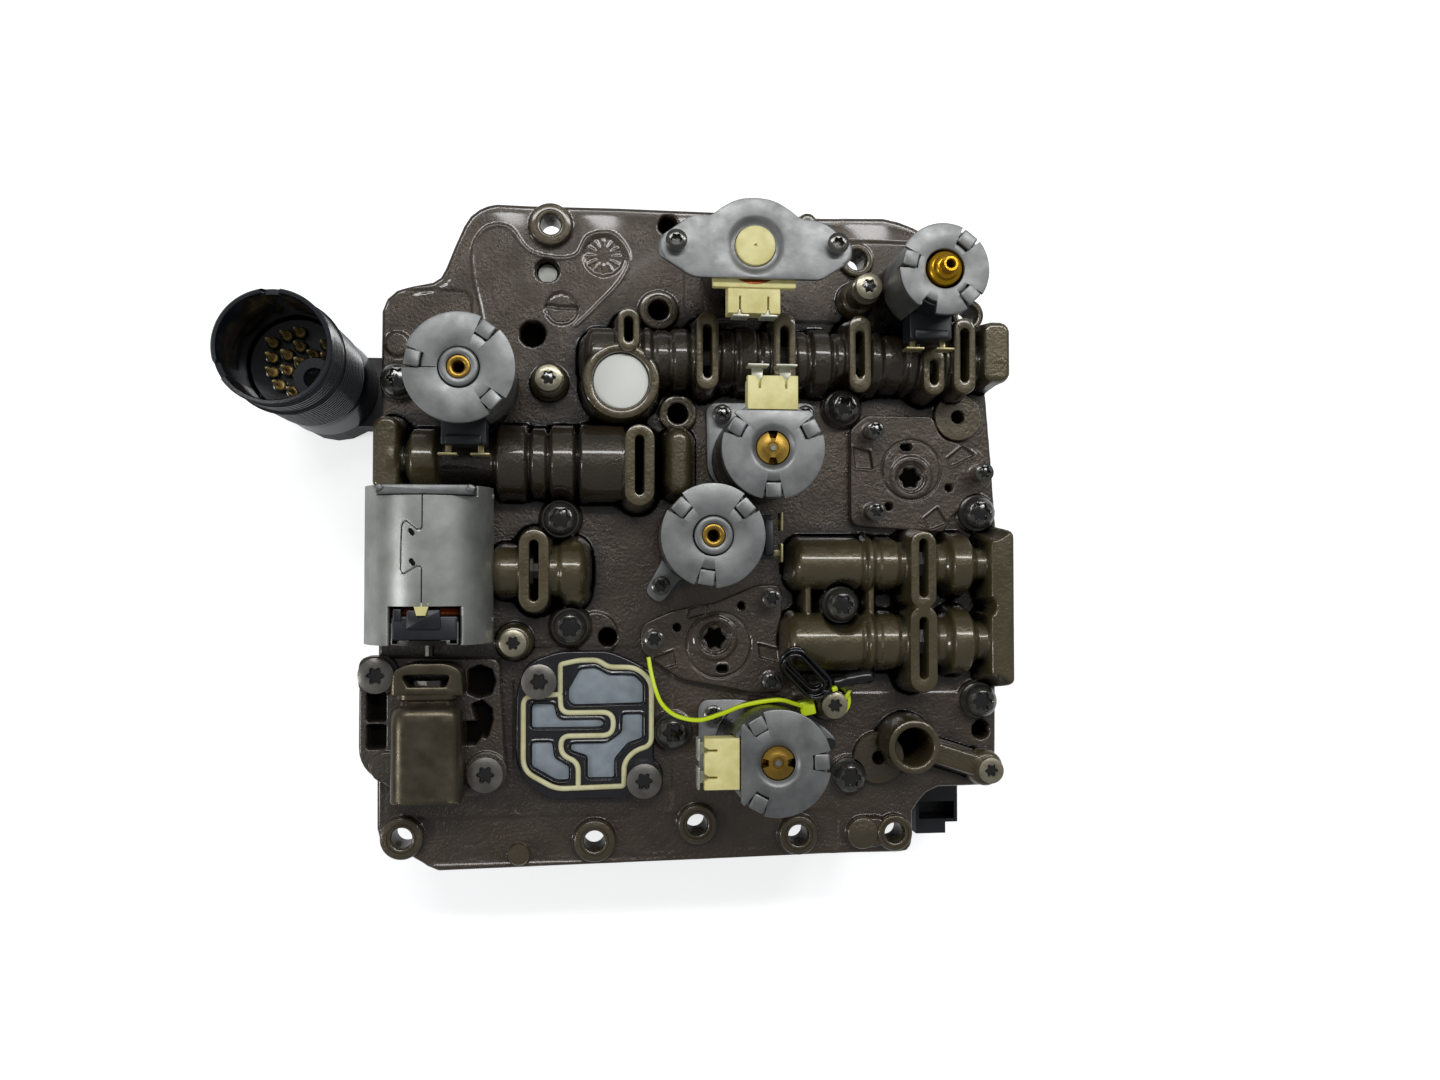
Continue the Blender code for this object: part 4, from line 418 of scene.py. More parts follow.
def land(sd, top, edge=0.8, draft=DRAFT):
    """Height of a flat-topped feature: level inside, a quarter round at its rim, then a drafted side."""
    rim = np.clip(sd + edge, 0, edge)
    rounded = top - edge + np.sqrt(np.maximum(edge ** 2 - rim ** 2, 0))
    return np.where(sd < 0, rounded, top - edge - sd * draft)


def joined(a, b, fillet=1.0):
    """The higher of two heights, with a fillet where they are close."""
    near = np.maximum(fillet - np.abs(a - b), 0) / fillet
    return np.maximum(a, b) + near ** 2 * fillet / 4


def sunk(height, sd, floor, steep=14.0):
    """Cuts a hole or a slot down to a floor, with a steep side round it."""
    return np.minimum(height, np.where(sd < 0, floor, floor + sd * steep))


print("a land 1 mm outside its edge is", land(np.array(1.0), 0.0), "mm high")

# %% Meshes from arrays
EDGE_MERGE = 1e-7


def finished(name, mesh, paint, replaces=(), body="unit", sharp=38.0):
    """Makes an object of a mesh, shades it smooth with sharp edges past an angle, and lets it ride on a body."""
    mesh.polygons.foreach_set("use_smooth", np.ones(len(mesh.polygons), bool))
    if sharp:
        mesh.set_sharp_from_angle(angle=math.radians(sharp))
    mesh.materials.append(paint)
    made = bpy.data.objects.new(name, mesh)
    scene.collection.objects.link(made)
    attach(made, body)
    if replaces:
        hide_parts(*replaces)
    return made


def grid_faces(index, wrap_u, wrap_v):
    """Four-sided faces of a grid of vertex numbers, closed on itself in either direction where asked."""
    a = np.concatenate([index, index[:1]]) if wrap_u else index
    a = np.concatenate([a, a[:, :1]], 1) if wrap_v else a
    return np.stack([a[:-1, :-1], a[1:, :-1], a[1:, 1:], a[:-1, 1:]], -1).reshape(-1, 4)


def surface(name, grids, wrap_u=True, wrap_v=False, caps=True):
    """A mesh from one or more grids of points in millimetres, shape (u, v, 3); open ends in v get caps."""
    points, faces, start = [], [], 0
    for grid in grids:
        nu, nv = grid.shape[:2]
        index = start + np.arange(nu * nv).reshape(nu, nv)
        faces += grid_faces(index, wrap_u, wrap_v).tolist()
        if caps and not wrap_v:
            faces += [index[::-1, 0].tolist(), index[:, -1].tolist()]
        points.append(grid.reshape(-1, 3))
        start += nu * nv
    mesh = bpy.data.meshes.new(name)
    mesh.from_pydata(np.concatenate(points) * MM, [], faces)
    bm = bmesh.new()
    bm.from_mesh(mesh)
    bmesh.ops.remove_doubles(bm, verts=bm.verts, dist=EDGE_MERGE)
    bmesh.ops.dissolve_degenerate(bm, edges=bm.edges, dist=EDGE_MERGE)
    bmesh.ops.recalc_face_normals(bm, faces=bm.faces)
    bm.to_mesh(mesh)
    bm.free()
    return mesh


def shaped(name, grids, paint, slot, replaces=(), sharp=38.0, tint=None, **ends):
    """A finished piece straight from its grids: ends are the wraps and caps, tint a share of the olive colour."""
    mesh = surface(name, grids, **ends)
    if tint is not None:
        values = np.full(len(mesh.vertices), tint)
        mesh.attributes.new("tint", "FLOAT", "POINT").data.foreach_set("value", values)
    return finished(name, mesh, paint, replaces, sharp=sharp)


def whole_turn(sides):
    """Angles of a whole turn in radians, as a column."""
    return np.linspace(0, 2 * np.pi, sides, endpoint=False)[:, None]


def polar(at, r, a, z):
    """Points from a radius, an angle and a height round an upright axis: x = r cos a, y = r sin a."""
    return np.stack([at[0] + r * np.cos(a), at[1] + r * np.sin(a), z + 0 * a], -1)


def turned(profile, at, sides=72):
    """Grid of a profile of (radius, height) turned about an upright axis."""
    profile = np.asarray(profile, float)
    return polar(at, profile[None, :, 0], whole_turn(sides), profile[None, :, 1])


print("a turned ring has the shape", turned([(1.0, 0.0), (2.0, 0.0)], (0.0, 0.0)).shape)


# %% Outlines in plan


def offset_loop(loop, distance):
    """Moves each point of a closed plan loop along the mean normal of its two edges; positive is outwards."""
    loop = np.asarray(loop, float)
    ahead = np.roll(loop, -1, 0) - loop
    ahead /= np.maximum(np.linalg.norm(ahead, axis=1, keepdims=True), 1e-9)
    area = np.sum(loop[:, 0] * np.roll(loop[:, 1], -1) - np.roll(loop[:, 0], -1) * loop[:, 1])
    normal = np.stack([ahead[:, 1], -ahead[:, 0]], 1) * (1 if area > 0 else -1)
    mean = normal + np.roll(normal, 1, 0)
    mean /= np.maximum(np.sum(mean ** 2, 1, keepdims=True) / 2, 0.3)
    return loop + mean * distance


def at_height(loop, z):
    """A plan outline as points in space, all at one height."""
    loop = np.asarray(loop, float)
    return np.column_stack([loop, np.full(len(loop), float(z))])


def plate(loop, low, high, rim=0.3):
    """Grid of a flat plate: its outline carried up from the bottom to the top, drawn in by a small rim at both."""
    inner, mid = offset_loop(loop, -rim), offset_loop(loop, -rim * 0.3)
    rings = [
        at_height(inner, low), at_height(loop, low + rim), at_height(loop, high - rim),
        at_height(mid, high - rim * 0.3), at_height(inner, high)]
    return np.stack(rings, 1)


def stadium_loop(x, low, high, wide, count=14):
    """A slot's outline: two half circles joined by straight sides."""
    r = wide / 2
    a = np.linspace(0, np.pi, count)
    top = np.column_stack([x + r * np.cos(a), high - r + r * np.sin(a)])
    bottom = np.column_stack([x - r * np.cos(a), low + r - r * np.sin(a)])
    return np.vstack([top, bottom])


def round_loop(points, radius, per=5):
    """Rounds each corner of a closed plan outline: a quadratic curve between points one radius from the corner."""
    p = np.asarray(points, float)
    radius = np.broadcast_to(np.asarray(radius, float), len(p))
    back, ahead = np.roll(p, 1, 0) - p, np.roll(p, -1, 0) - p
    lb, la = np.linalg.norm(back, axis=1), np.linalg.norm(ahead, axis=1)
    reach = np.minimum(radius, np.minimum(lb, la) * 0.48)[:, None]
    start, end = p + back / lb[:, None] * reach, p + ahead / la[:, None] * reach
    t = np.linspace(0, 1, per)[None, :, None]
    curve = (1 - t) ** 2 * start[:, None] + 2 * t * (1 - t) * p[:, None] + t ** 2 * end[:, None]
    return curve.reshape(-1, 2)


def densely(loop, step=0.25):
    """More points along a closed loop, so that its radius can be read at any angle."""
    loop = np.asarray(loop, float)
    closed = np.vstack([loop, loop[:1]])
    lengths = np.concatenate([[0], np.cumsum(np.linalg.norm(np.diff(closed, axis=0), axis=1))])
    s = np.arange(0, lengths[-1], step)
    return np.column_stack([np.interp(s, lengths, closed[:, k]) for k in (0, 1)])


def circle_loop(x, y, r, count):
    """A circle in plan."""
    return polar((x, y), r, whole_turn(count), 0.0)[:, 0, :2]


print("a slot of 3 by 12 mm has", len(stadium_loop(0.0, 0.0, 12.0, 3.0)), "corners")


# %% A relief from a height function
def relief(name, xs, ys, outside, height, base):
    """A closed solid whose top is height(x, y) inside outside(x, y) < 0. Grid points just outside are pulled onto
    the outline, along the gradient of the distance, so that the border is smooth. A skirt drops to the base."""
    gx, gy = np.meshgrid(xs, ys, indexing="ij")
    sd = outside(gx, gy)
    inside = sd < 0
    nudge = 0.01
    slope_x = (outside(gx + nudge, gy) - sd) / nudge
    slope_y = (outside(gx, gy + nudge) - sd) / nudge
    pull = np.where(inside, 0.0, sd)
    gx, gy = gx - pull * slope_x, gy - pull * slope_y
    gz = height(gx, gy)
    kept = inside[:-1, :-1] | inside[1:, :-1] | inside[1:, 1:] | inside[:-1, 1:]
    index = np.arange(gx.size).reshape(gx.shape)
    quads = np.stack([index[:-1, :-1], index[1:, :-1], index[1:, 1:], index[:-1, 1:]], -1)[kept]
    used, quads = np.unique(quads, return_inverse=True)
    quads = quads.reshape(-1, 4)
    points = np.column_stack([gx.ravel(), gy.ravel(), gz.ravel()])[used] * MM
    mesh = bpy.data.meshes.new(name)
    mesh.from_pydata(points, [], quads.tolist())
    bm = bmesh.new()
    bm.from_mesh(mesh)
    bmesh.ops.remove_doubles(bm, verts=bm.verts, dist=0.02 * MM)
    rim = [e for e in bm.edges if len(e.link_faces) == 1]
    grown = bmesh.ops.extrude_edge_only(bm, edges=rim)["geom"]
    low = [g for g in grown if isinstance(g, bmesh.types.BMVert)]
    bmesh.ops.scale(bm, vec=(1.0, 1.0, 0.0), verts=low)
    bmesh.ops.translate(bm, vec=(0.0, 0.0, base * MM), verts=low)
    low_edges = [g for g in grown if isinstance(g, bmesh.types.BMEdge)]
    for edge in rim + low_edges:
        edge.smooth = False
    bmesh.ops.triangle_fill(bm, edges=low_edges, use_beauty=False, normal=(0, 0, -1))
    bmesh.ops.recalc_face_normals(bm, faces=bm.faces)
    open_edges = sum(1 for e in bm.edges if len(e.link_faces) != 2)
    bm.to_mesh(mesh)
    bm.free()
    print(name, len(mesh.vertices), "points,", open_edges, "open edges")
    return mesh


def blurred(field, reach):
    """Mean of a field over a square of so many cells to each side."""
    kernel = np.ones(2 * reach + 1) / (2 * reach + 1)
    for axis in (0, 1):
        field = np.apply_along_axis(lambda row: np.convolve(np.pad(row, reach, "edge"), kernel, "valid"), axis, field)
    return field


def even(x, y):
    """No zones: the whole tint, and no painted shade but what the shape gives."""
    return 1.0, 0.0


def shade_by_height(mesh, height, xs, ys, low, high, shade_black_below, zones=even):
    """Writes tint, from the height over the face, and painted shade with oil, from how far a point lies
    under its near and its wider neighbourhood. Below a level the painted shade is black; zones(x, y) gives a
    share for tint and a least painted shade."""
    gx, gy = np.meshgrid(xs, ys, indexing="ij")
    field = height(gx, gy)
    near, wide = blurred(field, 5), blurred(field, 13)
    co = np.empty(len(mesh.vertices) * 3)
    mesh.vertices.foreach_get("co", co)
    co = co.reshape(-1, 3) / MM
    i = np.clip(np.rint((co[:, 0] - xs[0]) / (xs[1] - xs[0])).astype(int), 0, len(xs) - 1)
    j = np.clip(np.rint((co[:, 1] - ys[0]) / (ys[1] - ys[0])).astype(int), 0, len(ys) - 1)
    z = co[:, 2]
    # Painted shade in hollows: dark where a point lies under its near and its wider neighbourhood
    hollow_shade = np.maximum(np.clip((near[i, j] - z - 0.3) / 1.6, 0, 1), np.clip((wide[i, j] - z - 0.6) / 4.5, 0, 0.85))
    part, least = zones(co[:, 0], co[:, 1])
    # Painted shade: black in holes under a given level, and at least what the zones give
    oil_and_shade = np.maximum(np.maximum(hollow_shade, np.clip((shade_black_below - z) / 0.8, 0, 1)), least)
    tint = np.clip((z - low) / (high - low), 0, 1) * part
    for label, values in (("tint", tint), ("oil_and_shade", oil_and_shade)):
        mesh.attributes.new(label, "FLOAT", "POINT").data.foreach_set("value", values)


print("a row 0 0 3 0 0 blurred by one cell:", blurred(np.array([[0.0, 0.0, 3.0, 0.0, 0.0]] * 3), 1)[1])

# %% [markdown]
# ## The cast face
# The plan positions below were worked back from the photograph through the camera above, each at its own
# height. The rows are tubes along X: each has necks and bulges where the lands of its spool run, and slotted
# flanges that hold the retainer clips. A row's radius is therefore a function of X.

# %% Plan of the casting
OUTLINE = [
    (-103.2, -80.3), (-102.7, 72.6), (-101, 76.9), (-98, 79.6), (-93.3, 81), (-86.5, 82.5), (-84, 84.2),
    (-82.4, 87.2), (-79.7, 94.2), (-76.6, 101.4), (-74.6, 104.6), (-71.9, 106.9), (-69, 108.3), (-66, 109),
    (-55.4, 108.8), (-25.6, 109), (7.3, 108.7), (42.5, 107.8), (64, 108.5), (69.5, 107.4), (74.1, 105.8), (81, 102.6),
    (88, 98), (90.4, 93.6), (92, 88), (94.2, 78), (97, 66), (99.9, 47.4), (101.6, 26.1), (103.2, 2.4), (102.6, -61.9),
    (102.5, -74.4), (102.2, -80), (101, -83.4), (98.4, -84.9), (82.4, -85.1), (78.5, -86.9), (75.7, -89.8),
    (73.4, -93.1), (73.4, -102.1), (72.9, -104.6), (71.5, -106.4), (68.6, -106.8), (52.9, -106.7), (-83.6, -109),
    (-87.2, -107.4), (-91.5, -104.8), (-97, -101.6), (-102.3, -98.2), (-103.1, -95)]
MOUNT_HOLE = 3.4
MOUNT_BOSSES = [
    (-48.4, 102.0, 7.0), (-95.0, -97.7, 6.8), (-33.5, -100.0, 6.8), (0.2, -95.4, 6.5), (33.9, -99.7, 6.5),
    (66.6, -99.7, 6.0), (54.2, 93.1, 5.8), (92.7, 75.3, 5.5)]
BLIND_BOSSES = [(-6.4, 40.2, 6.3), (-12.8, 74.5, 6.6)]
FACE_HOLES = [(-54.2, 66.2, 3.7), (-49.5, 87.4, 3.3), (-9.5, 103.6, 2.7), (97.2, -65.9, 2.6), (-29.3, -33.7, 2.5)]
DOWEL = (-57.9, -103.8)
FACE_PADS = [(61.3, -74.6, 8.7), (89.1, 40.4, 8.1)]
# Domed bolts: x, y, height of the seat over the face
BODY_BOLTS = [
    (49.0, 42.8, 1.8), (95.4, 7.7, 1.2), (47.4, -23.2, 5.0), (95.7, -55.8, 1.2), (50.8, -80.4, 1.2),
    (-8.0, -64.8, 0.6), (-44.8, 5.0, 1.8), (-41.6, -30.1, 1.8), (-96.7, 49.7, 0.6)]
POST_BOLTS = [(-48.6, 49.8, 12.5), (53.5, 79.3, 23.5), (43.8, -55.6, 15.0), (97.0, -78.1, 12.0), (-59.5, -35.0, 11.0)]
SEATS = [(-73.5, 47.5), (13.9, 85.7), (72.3, 80.4), (19.3, 25.0), (1.2, -1.4), (20.8, -69.3)]
ROWS = {
    "upper": (57.6, -37.0, 94.0, 8.6, [(-36, -27, 0.9), (-18.6, -15.6, 1.3), (-14, -10, 0.5), (-8.8, -3.6, 1.2),
            (6.8, 11, 0.9), (12.4, 18.6, 1.7), (20, 23, 0.8), (31.4, 35, 0.9), (36.6, 43, 1.8), (44.6, 47.6, 0.8),
            (56, 60, 1.4), (61.6, 67, 0.5), (68.6, 72, 1.2), (80.4, 82.6, 1.3), (90.8, 94.4, -1.8)]),
    "left": (23.3, -101.0, -16.0, 8.4,
        [(-95.6, -92.6, -2.4), (-91.6, -83.4, 1.6), (-82.4, -65.8, -0.9), (-65, -55.2, 3.1), (-54.2, -49.0, 2.3),
            (-48.0, -40.0, 3.2), (-38.8, -24, 3.7)]),
    "stub": (-12.0, -66.0, -36.5, 8.2, [(-44.8, -35.8, 0.8)]),
    "right_upper": (-9.7, 31.0, 98.0, 7.6, [(30, 53.2, 0.8), (54.8, 57.2, 1.5), (59.6, 65.4, 0.7), (78.4, 81.6, -0.8),
            (83, 90.2, 2.2), (91.8, 96.4, -2.2)]),
    "right_lower": (-35.3, 29.0, 98.0, 8.6,
        [(28, 53.2, 0.8), (54.8, 57.2, 1.5), (59.6, 65.4, 0.7), (78.4, 81.6, -0.8), (83, 90.2, 2.2),
            (91.8, 96.4, -2.2)])}
# Slotted flanges: x, low y, high y, width, slot low and high y, height of the top
FLANGES = [
    (-23.2, 58.0, 72.0, 7.0, 61.0, 69.0, 69.0), (2.0, 46.0, 71.0, 7.2, 50.0, 67.0, 69.0),
    (27.0, 46.0, 71.0, 7.2, 50.0, 67.0, 69.0), (51.8, 46.0, 71.0, 7.2, 51.0, 66.0, 69.0),
    (76.4, 45.5, 61.0, 7.0, 49.0, 57.0, 69.0), (86.7, 46.0, 71.0, 7.4, 50.0, 67.5, 69.0),
    (-19.7, 8.5, 34.5, 9.5, 12.2, 31.0, 70.6), (-52.8, -25.0, 1.2, 9.5, -21.5, -2.2, 68.0),
    (72.7, -24.4, 1.0, 8.6, -20.5, -1.5, 68.8), (72.7, -51.5, -23.2, 9.2, -47.0, -27.0, 68.8)]
SLOT_WIDE = 2.8
PORT, FILTER = (70.0, -69.3), (-25.5, 48.8)
# Low steps of the flat face: corners and height
STEPS = [
    ((-4.2, 100, 72, 100), 0.5), ((-101, -74, 62, 80), -0.3), ((30, 101, -76, -53), 0.35),
    ((-101, 48, -107, -92), -0.5), ((-60, -8, -92, -37), -0.35)]
# Round pads and dishes cut in the face: x, y, radius, depth
DISHES = [(-31.0, 92.6, 6.6, 0.5), (-44.8, 74.8, 5.3, 0.4), (-33.5, -33.0, 7.5, -0.7)]
CONTOUR = smooth_line([
    (-69, 64), (-71, 74), (-73.5, 86), (-73.3, 95), (-69, 101), (-62, 101), (-56, 94), (-48, 91.5), (-40, 92.5),
    (-36, 99), (-28, 100), (-22.5, 93), (-25, 85), (-33, 76), (-40, 69)], 5)
print("face:", len(FLANGES), "slotted flanges,", len(BODY_BOLTS), "domed bolts,", len(POST_BOLTS), "post bolts")


# %% Lands and holes, in the order in which they are joined or sunk
def waisted_sd(x, y):
    """Distance to the end block of the two lower rows: a rounded rectangle, less the circle that waists it."""
    return np.maximum(box_sd(x, y, 96.2, 104.4, -50.0, 1.7, 2.6), -circle_sd(x, y, 94.6, -23.6, 3.4))


# Distance and its numbers, top, rim, draft of the side, fillet at its foot
LANDS = [(capsule_sd, (fx, y1 + wide / 2, fx, y2 - wide / 2, wide / 2 - 0.2), top - 0.5, 0.6, STEEP, 0.8)
         for fx, y1, y2, wide, _, _, top in FLANGES]
LANDS += [
    (box_sd, (-103.0, -94.8, 13.0, 36.6, 3.4), 65.8, 1.6, STEEP, 0.8),
    (box_sd, (93.8, 103.2, 50.5, 70.6, 3.4), 66.3, 1.6, STEEP, 0.8), (waisted_sd, (), 65.8, 1.2, STEEP, 0.6),
    (box_sd, (69.9, 75.5, -27.0, -20.4, 0.5), 68.3, 0.5, STEEP, 0.6),
    (capsule_sd, (-6.6, 17.0, -6.6, 30.0, 4.6), 63.5, 3.4, DRAFT, 1.5),
    (capsule_sd, (-6.4, 33.0, -6.4, 36.0, 3.2), 55.0, 1.2, DRAFT, 1.2),
    (capsule_sd, (-40.3, -19.0, -40.3, -6.0, 4.2), 62.0, 2.6, DRAFT, 1.5),
    (capsule_sd, (36.0, -28.5, 36.0, -16.5, 1.0), 61.0, 0.7, DRAFT, 0.8),
    (capsule_sd, (57.2, -28.5, 57.2, -16.5, 1.0), 61.0, 0.7, DRAFT, 0.8),
    (capsule_sd, (*PORT, 97.0, -78.1, 3.4), 59.0, 0.8, DRAFT, 1.2),
    (circle_sd, (97.0, -78.1, 5.2), 56.0, 0.8, DRAFT, 1.2), (circle_sd, (*PORT, 8.4), 60.0, 0.8, DRAFT, 1.2),
    (circle_sd, (*FILTER, 12.0), 60.0, 0.8, DRAFT, 1.6)]
LANDS += [(circle_sd, (bx, by, 5.4), FACE + min(rise - 5, 6.0), 0.8, 7.0, 1.2) for bx, by, rise in POST_BOLTS]
LANDS += [(circle_sd, (bx, by, r - 0.3), FACE + 2.2, 0.5, DRAFT, 0.6) for bx, by, r in FACE_PADS]
LANDS += [(capsule_sd, (55.7, -99.5, 60.0, -99.5, 4.9), 53.6, 0.5, DRAFT, 0.6)]
LANDS += [(circle_sd, (bx, by, r - 0.4), 53.9, 0.6, DRAFT, 0.8) for bx, by, r in MOUNT_BOSSES + BLIND_BOSSES]
# These follow the seats of the domed bolts
LAST_LANDS = [
    (circle_sd, (-97.6, 61.8, 3.9), FACE + 0.8, 0.4, DRAFT, 0.4),
    (circle_sd, (37.2, 105.0, 3.2), FACE + 4.0, 1.0, DRAFT, 0.6)]
LAST_LANDS += [(circle_sd, (sx, sy, 8.6), SEAT_TOP, 1.0, 7.0, 1.5) for sx, sy in SEATS]
# Distance and its numbers, level of the floor
HOLES = [(ring_sd, (-44.8, 74.8, 5.0, 0.25), FACE - 0.7), (capsule_sd, (-49.5, 75.6, -39.8, 75.2, 0.45), FACE - 1.4)]
HOLES += [(capsule_sd, (fx, s1 + 1.4, fx, s2 - 1.4, SLOT_WIDE / 2 + 0.25), SLOT_FLOOR)
          for fx, _, _, _, s1, s2, _ in FLANGES]
HOLES += [(circle_sd, hole, HOLE_FLOOR) for hole in FACE_HOLES]
HOLES += [(circle_sd, (bx, by, 3.8), HOLE_FLOOR) for bx, by, _ in BLIND_BOSSES]
HOLES += [(circle_sd, (bx, by, 2.2), 45.0) for bx, by, _ in FACE_PADS]
HOLES += [(circle_sd, (*PORT, 6.5), 46.0), (circle_sd, (*FILTER, 9.6), 58.0)]
print("lands:", len(LANDS) + len(LAST_LANDS), "holes and slots:", len(HOLES))


# %% The face as a height function
def window(x, low, high, soft=1.0):
    """A bump in one direction: 1 between two ends, falling to 0 over a short smooth ramp."""
    t = np.clip(np.minimum(x - low, high - x) / soft + 0.5, 0, 1)
    return t * t * (3 - 2 * t)


def row_height(x, y, centre, low, high, radius, bulges):
    """Half round across the row: the radius at x, with its bulges, gives the height at its distance from the axis."""
    r = radius + sum(extra * window(x, start, end, 1.6) for start, end, extra in bulges)
    reach = np.clip(np.minimum(x - low, high - x) / 3.0, 0, 1)
    r = r * np.sqrt(np.clip(1 - 0.35 * (1 - reach) ** 2, 0, 1))
    off = np.abs(y - centre)
    top = ROW + np.sqrt(np.maximum(r ** 2 - off ** 2, 0))
    side = ROW - (off - r) * DRAFT
    beyond = np.maximum(np.maximum(low - x, x - high), 0)
    return np.where(off < r, top, side) - beyond * DRAFT


def plan_outside(x, y):
    """Distance to the plan of the casting: its outline and end blocks, less the mounting holes."""
    sd = polygon_sd(x, y, OUTLINE)
    sd = np.minimum(sd, box_sd(x, y, 94.0, 104.4, -50.2, 1.8, 2.5))
    sd = np.minimum(sd, box_sd(x, y, 93.8, 103.2, 50.5, 70.6, 3.0))
    for bx, by, r in MOUNT_BOSSES:
        sd = np.minimum(sd, circle_sd(x, y, bx, by, r))
    for bx, by, r in MOUNT_BOSSES:
        sd = np.maximum(sd, -circle_sd(x, y, bx, by, MOUNT_HOLE + 0.25))
    return sd


def with_lands(height, x, y, lands):
    """Joins lands to a height one after another, each by the smooth maximum."""
    for sd, numbers, top, rim, draft, fillet in lands:
        height = joined(height, land(sd(x, y, *numbers), top, rim, draft), fillet)
    return height


def face_height(x, y):
    """The cast face: steps, waves, rows and lands joined with fillets, then dishes, holes and slots sunk in it."""
    plan = polygon_sd(x, y, OUTLINE)
    h = land(plan, FACE, 1.1)
    for corners, step in STEPS:
        h = h + step * within(box_sd(x, y, *corners, 4.0), 0.8)
    h = h + 0.40 * within(polyline_sd(x, y, CONTOUR, 0.3), 0.5)
    wave = 0.18 * np.sin(x * 0.21 + 1.3 * np.sin(y * 0.11)) * np.sin(y * 0.17 + 0.8)
    h = h + np.where(plan < -3, wave, 0)
    for row in ROWS.values():
        h = joined(h, row_height(x, y, *row), 2.2)
    h = with_lands(h, x, y, LANDS)
    for bx, by, seat in BODY_BOLTS:
        h = np.minimum(h, FACE + seat + np.maximum(circle_sd(x, y, bx, by, 6.6), 0) * 4.0)
        h = joined(h, land(circle_sd(x, y, bx, by, 6.7), FACE + seat, 0.4), 0.5)
    h = with_lands(h, x, y, LAST_LANDS)
    h = h - 0.4 * within(ring_sd(x, y, -74.0, -92.5, 8.6, 0.0), 0.5)
    for cx, cy, r, depth in DISHES:
        h = h - depth * within(circle_sd(x, y, cx, cy, r), 0.4)
    cx, cy = DISHES[0][:2]
    for a in np.arange(12) * np.pi / 6:
        ends = [cx + 3.0 * np.cos(a), cy + 3.0 * np.sin(a), cx + 5.6 * np.cos(a), cy + 5.6 * np.sin(a)]
        h = h + 0.28 * within(capsule_sd(x, y, *ends, 0.3), 0.4)
    for sd, numbers, floor_z in HOLES:
        h = sunk(h, sd(x, y, *numbers), floor_z)
    return h


def tint_and_shade_zones(x, y):
    """Shares of the olive tint, and the least painted shade: the long rows are browner and darker, and painted
    shade lies at the lower left, round the canister and the port plate, and under the left row's terminal block.
    """
    rows = within(np.minimum(box_sd(x, y, -82, -24, 8, 38, 2), box_sd(x, y, -38, 94, 44, 71, 2)), 3)
    corner = within(box_sd(x, y, -104, -12, -93, -34, 10), 14)
    shade_under_terminals = within(box_sd(x, y, -82.4, -65.6, 14, 34, 1), 2)
    return 1 - 0.7 * rows, np.maximum(np.maximum(0.42 * rows, 0.40 * corner), 0.75 * shade_under_terminals)


# %% The casting, in two halves that meet at x = 0
ROWS_Y = np.arange(-109.5, 109.51, STEP_MM)
# Each half carries painted shade: black in holes under 49.6 mm, dark in hollows and in the zones above
for side, low, high in (("left", -105.0, 0.0), ("right", 0.0, 105.0)):
    columns = np.arange(low, high + 0.01, STEP_MM)
    half = relief("valve_body_" + side, columns, ROWS_Y, plan_outside, face_height, UNDER)
    shade_by_height(half, face_height, columns, ROWS_Y, FACE + 2.0, FACE + 9.0, 49.6, tint_and_shade_zones)
    finished("valve_body_" + side, half, CASTING, ("valve_body",) if side == "left" else (), sharp=0)

# %% [markdown]
# ### Machined rims
# Flange tops, boss faces and tube mouths are milled or moulded crisp, so a grid of heights would leave them
# stepped. Each gets its own ring: a closed section carried round its outline, sunk a little in the casting.


# %% Rings round slots and holes
def rim_grid(outer, inner, low, high, edge=0.45, foot=None):
    """Grid of a ring between two outlines with as many points: up its outer side, across its top, down its inner."""
    foot = low if foot is None else foot
    rings = [
        at_height(outer, low), at_height(outer, high - edge),
        at_height(outer + (inner - outer) * 0.06, high - edge * 0.3), at_height(outer + (inner - outer) * 0.20, high),
        at_height(outer + (inner - outer) * 0.80, high), at_height(outer + (inner - outer) * 0.94, high - edge * 0.3),
        at_height(inner, high - edge), at_height(inner, foot)]
    return np.stack(rings, 1)


flange_grids = [rim_grid(stadium_loop(fx, y1, y2, wide), stadium_loop(fx, s1, s2, SLOT_WIDE), top - 2.0, top, 0.5,
                         53.0)
                for fx, y1, y2, wide, s1, s2, top in FLANGES]
waist = round_loop([(70.0, -26.9), (70.7, -23.8), (70.0, -20.6), (75.4, -20.6), (74.7, -23.8), (75.4, -26.9)], 1.6, 6)
shaped("flange_waist", [plate(waist, 60.0, 68.83, 0.3)], CASTING, "cast", tint=1.0)
shaped("slotted_flanges", flange_grids, CASTING, "cast", tint=1.0, wrap_v=True)

boss_grids = []
for bx, by, r in MOUNT_BOSSES + BLIND_BOSSES:
    deep = 44.0 if (bx, by, r) in BLIND_BOSSES else UNDER + 0.1
    profile = [
        (r, 52.4), (r, 53.7), (r - 0.25, 54.15), (r - 0.6, MOUNT_TOP), (4.8, MOUNT_TOP), (4.65, 54.0), (4.4, 54.0),
        (4.3, MOUNT_TOP), (3.9, MOUNT_TOP), (3.55, 54.1), (MOUNT_HOLE, 53.6), (MOUNT_HOLE, deep), (4.4, deep),
        (4.6, 52.4)]
    boss_grids.append(turned(profile, (bx, by), 56))
for bx, by, r in FACE_PADS:
    profile = [(r, 51.6), (r, 53.3), (r - 0.3, 53.6), (2.5, 53.6), (2.2, 53.3), (2.2, 46), (3, 46), (3, 51.6)]
    boss_grids.append(turned(profile, (bx, by), 56))
disc = [(5.3, 52.4), (5.3, 53.7), (5.05, 54.1), (4.6, MOUNT_TOP), (0.0, MOUNT_TOP), (0.0, 52.4)]
boss_grids.append(turned(disc, (55.7, -99.5), 56))
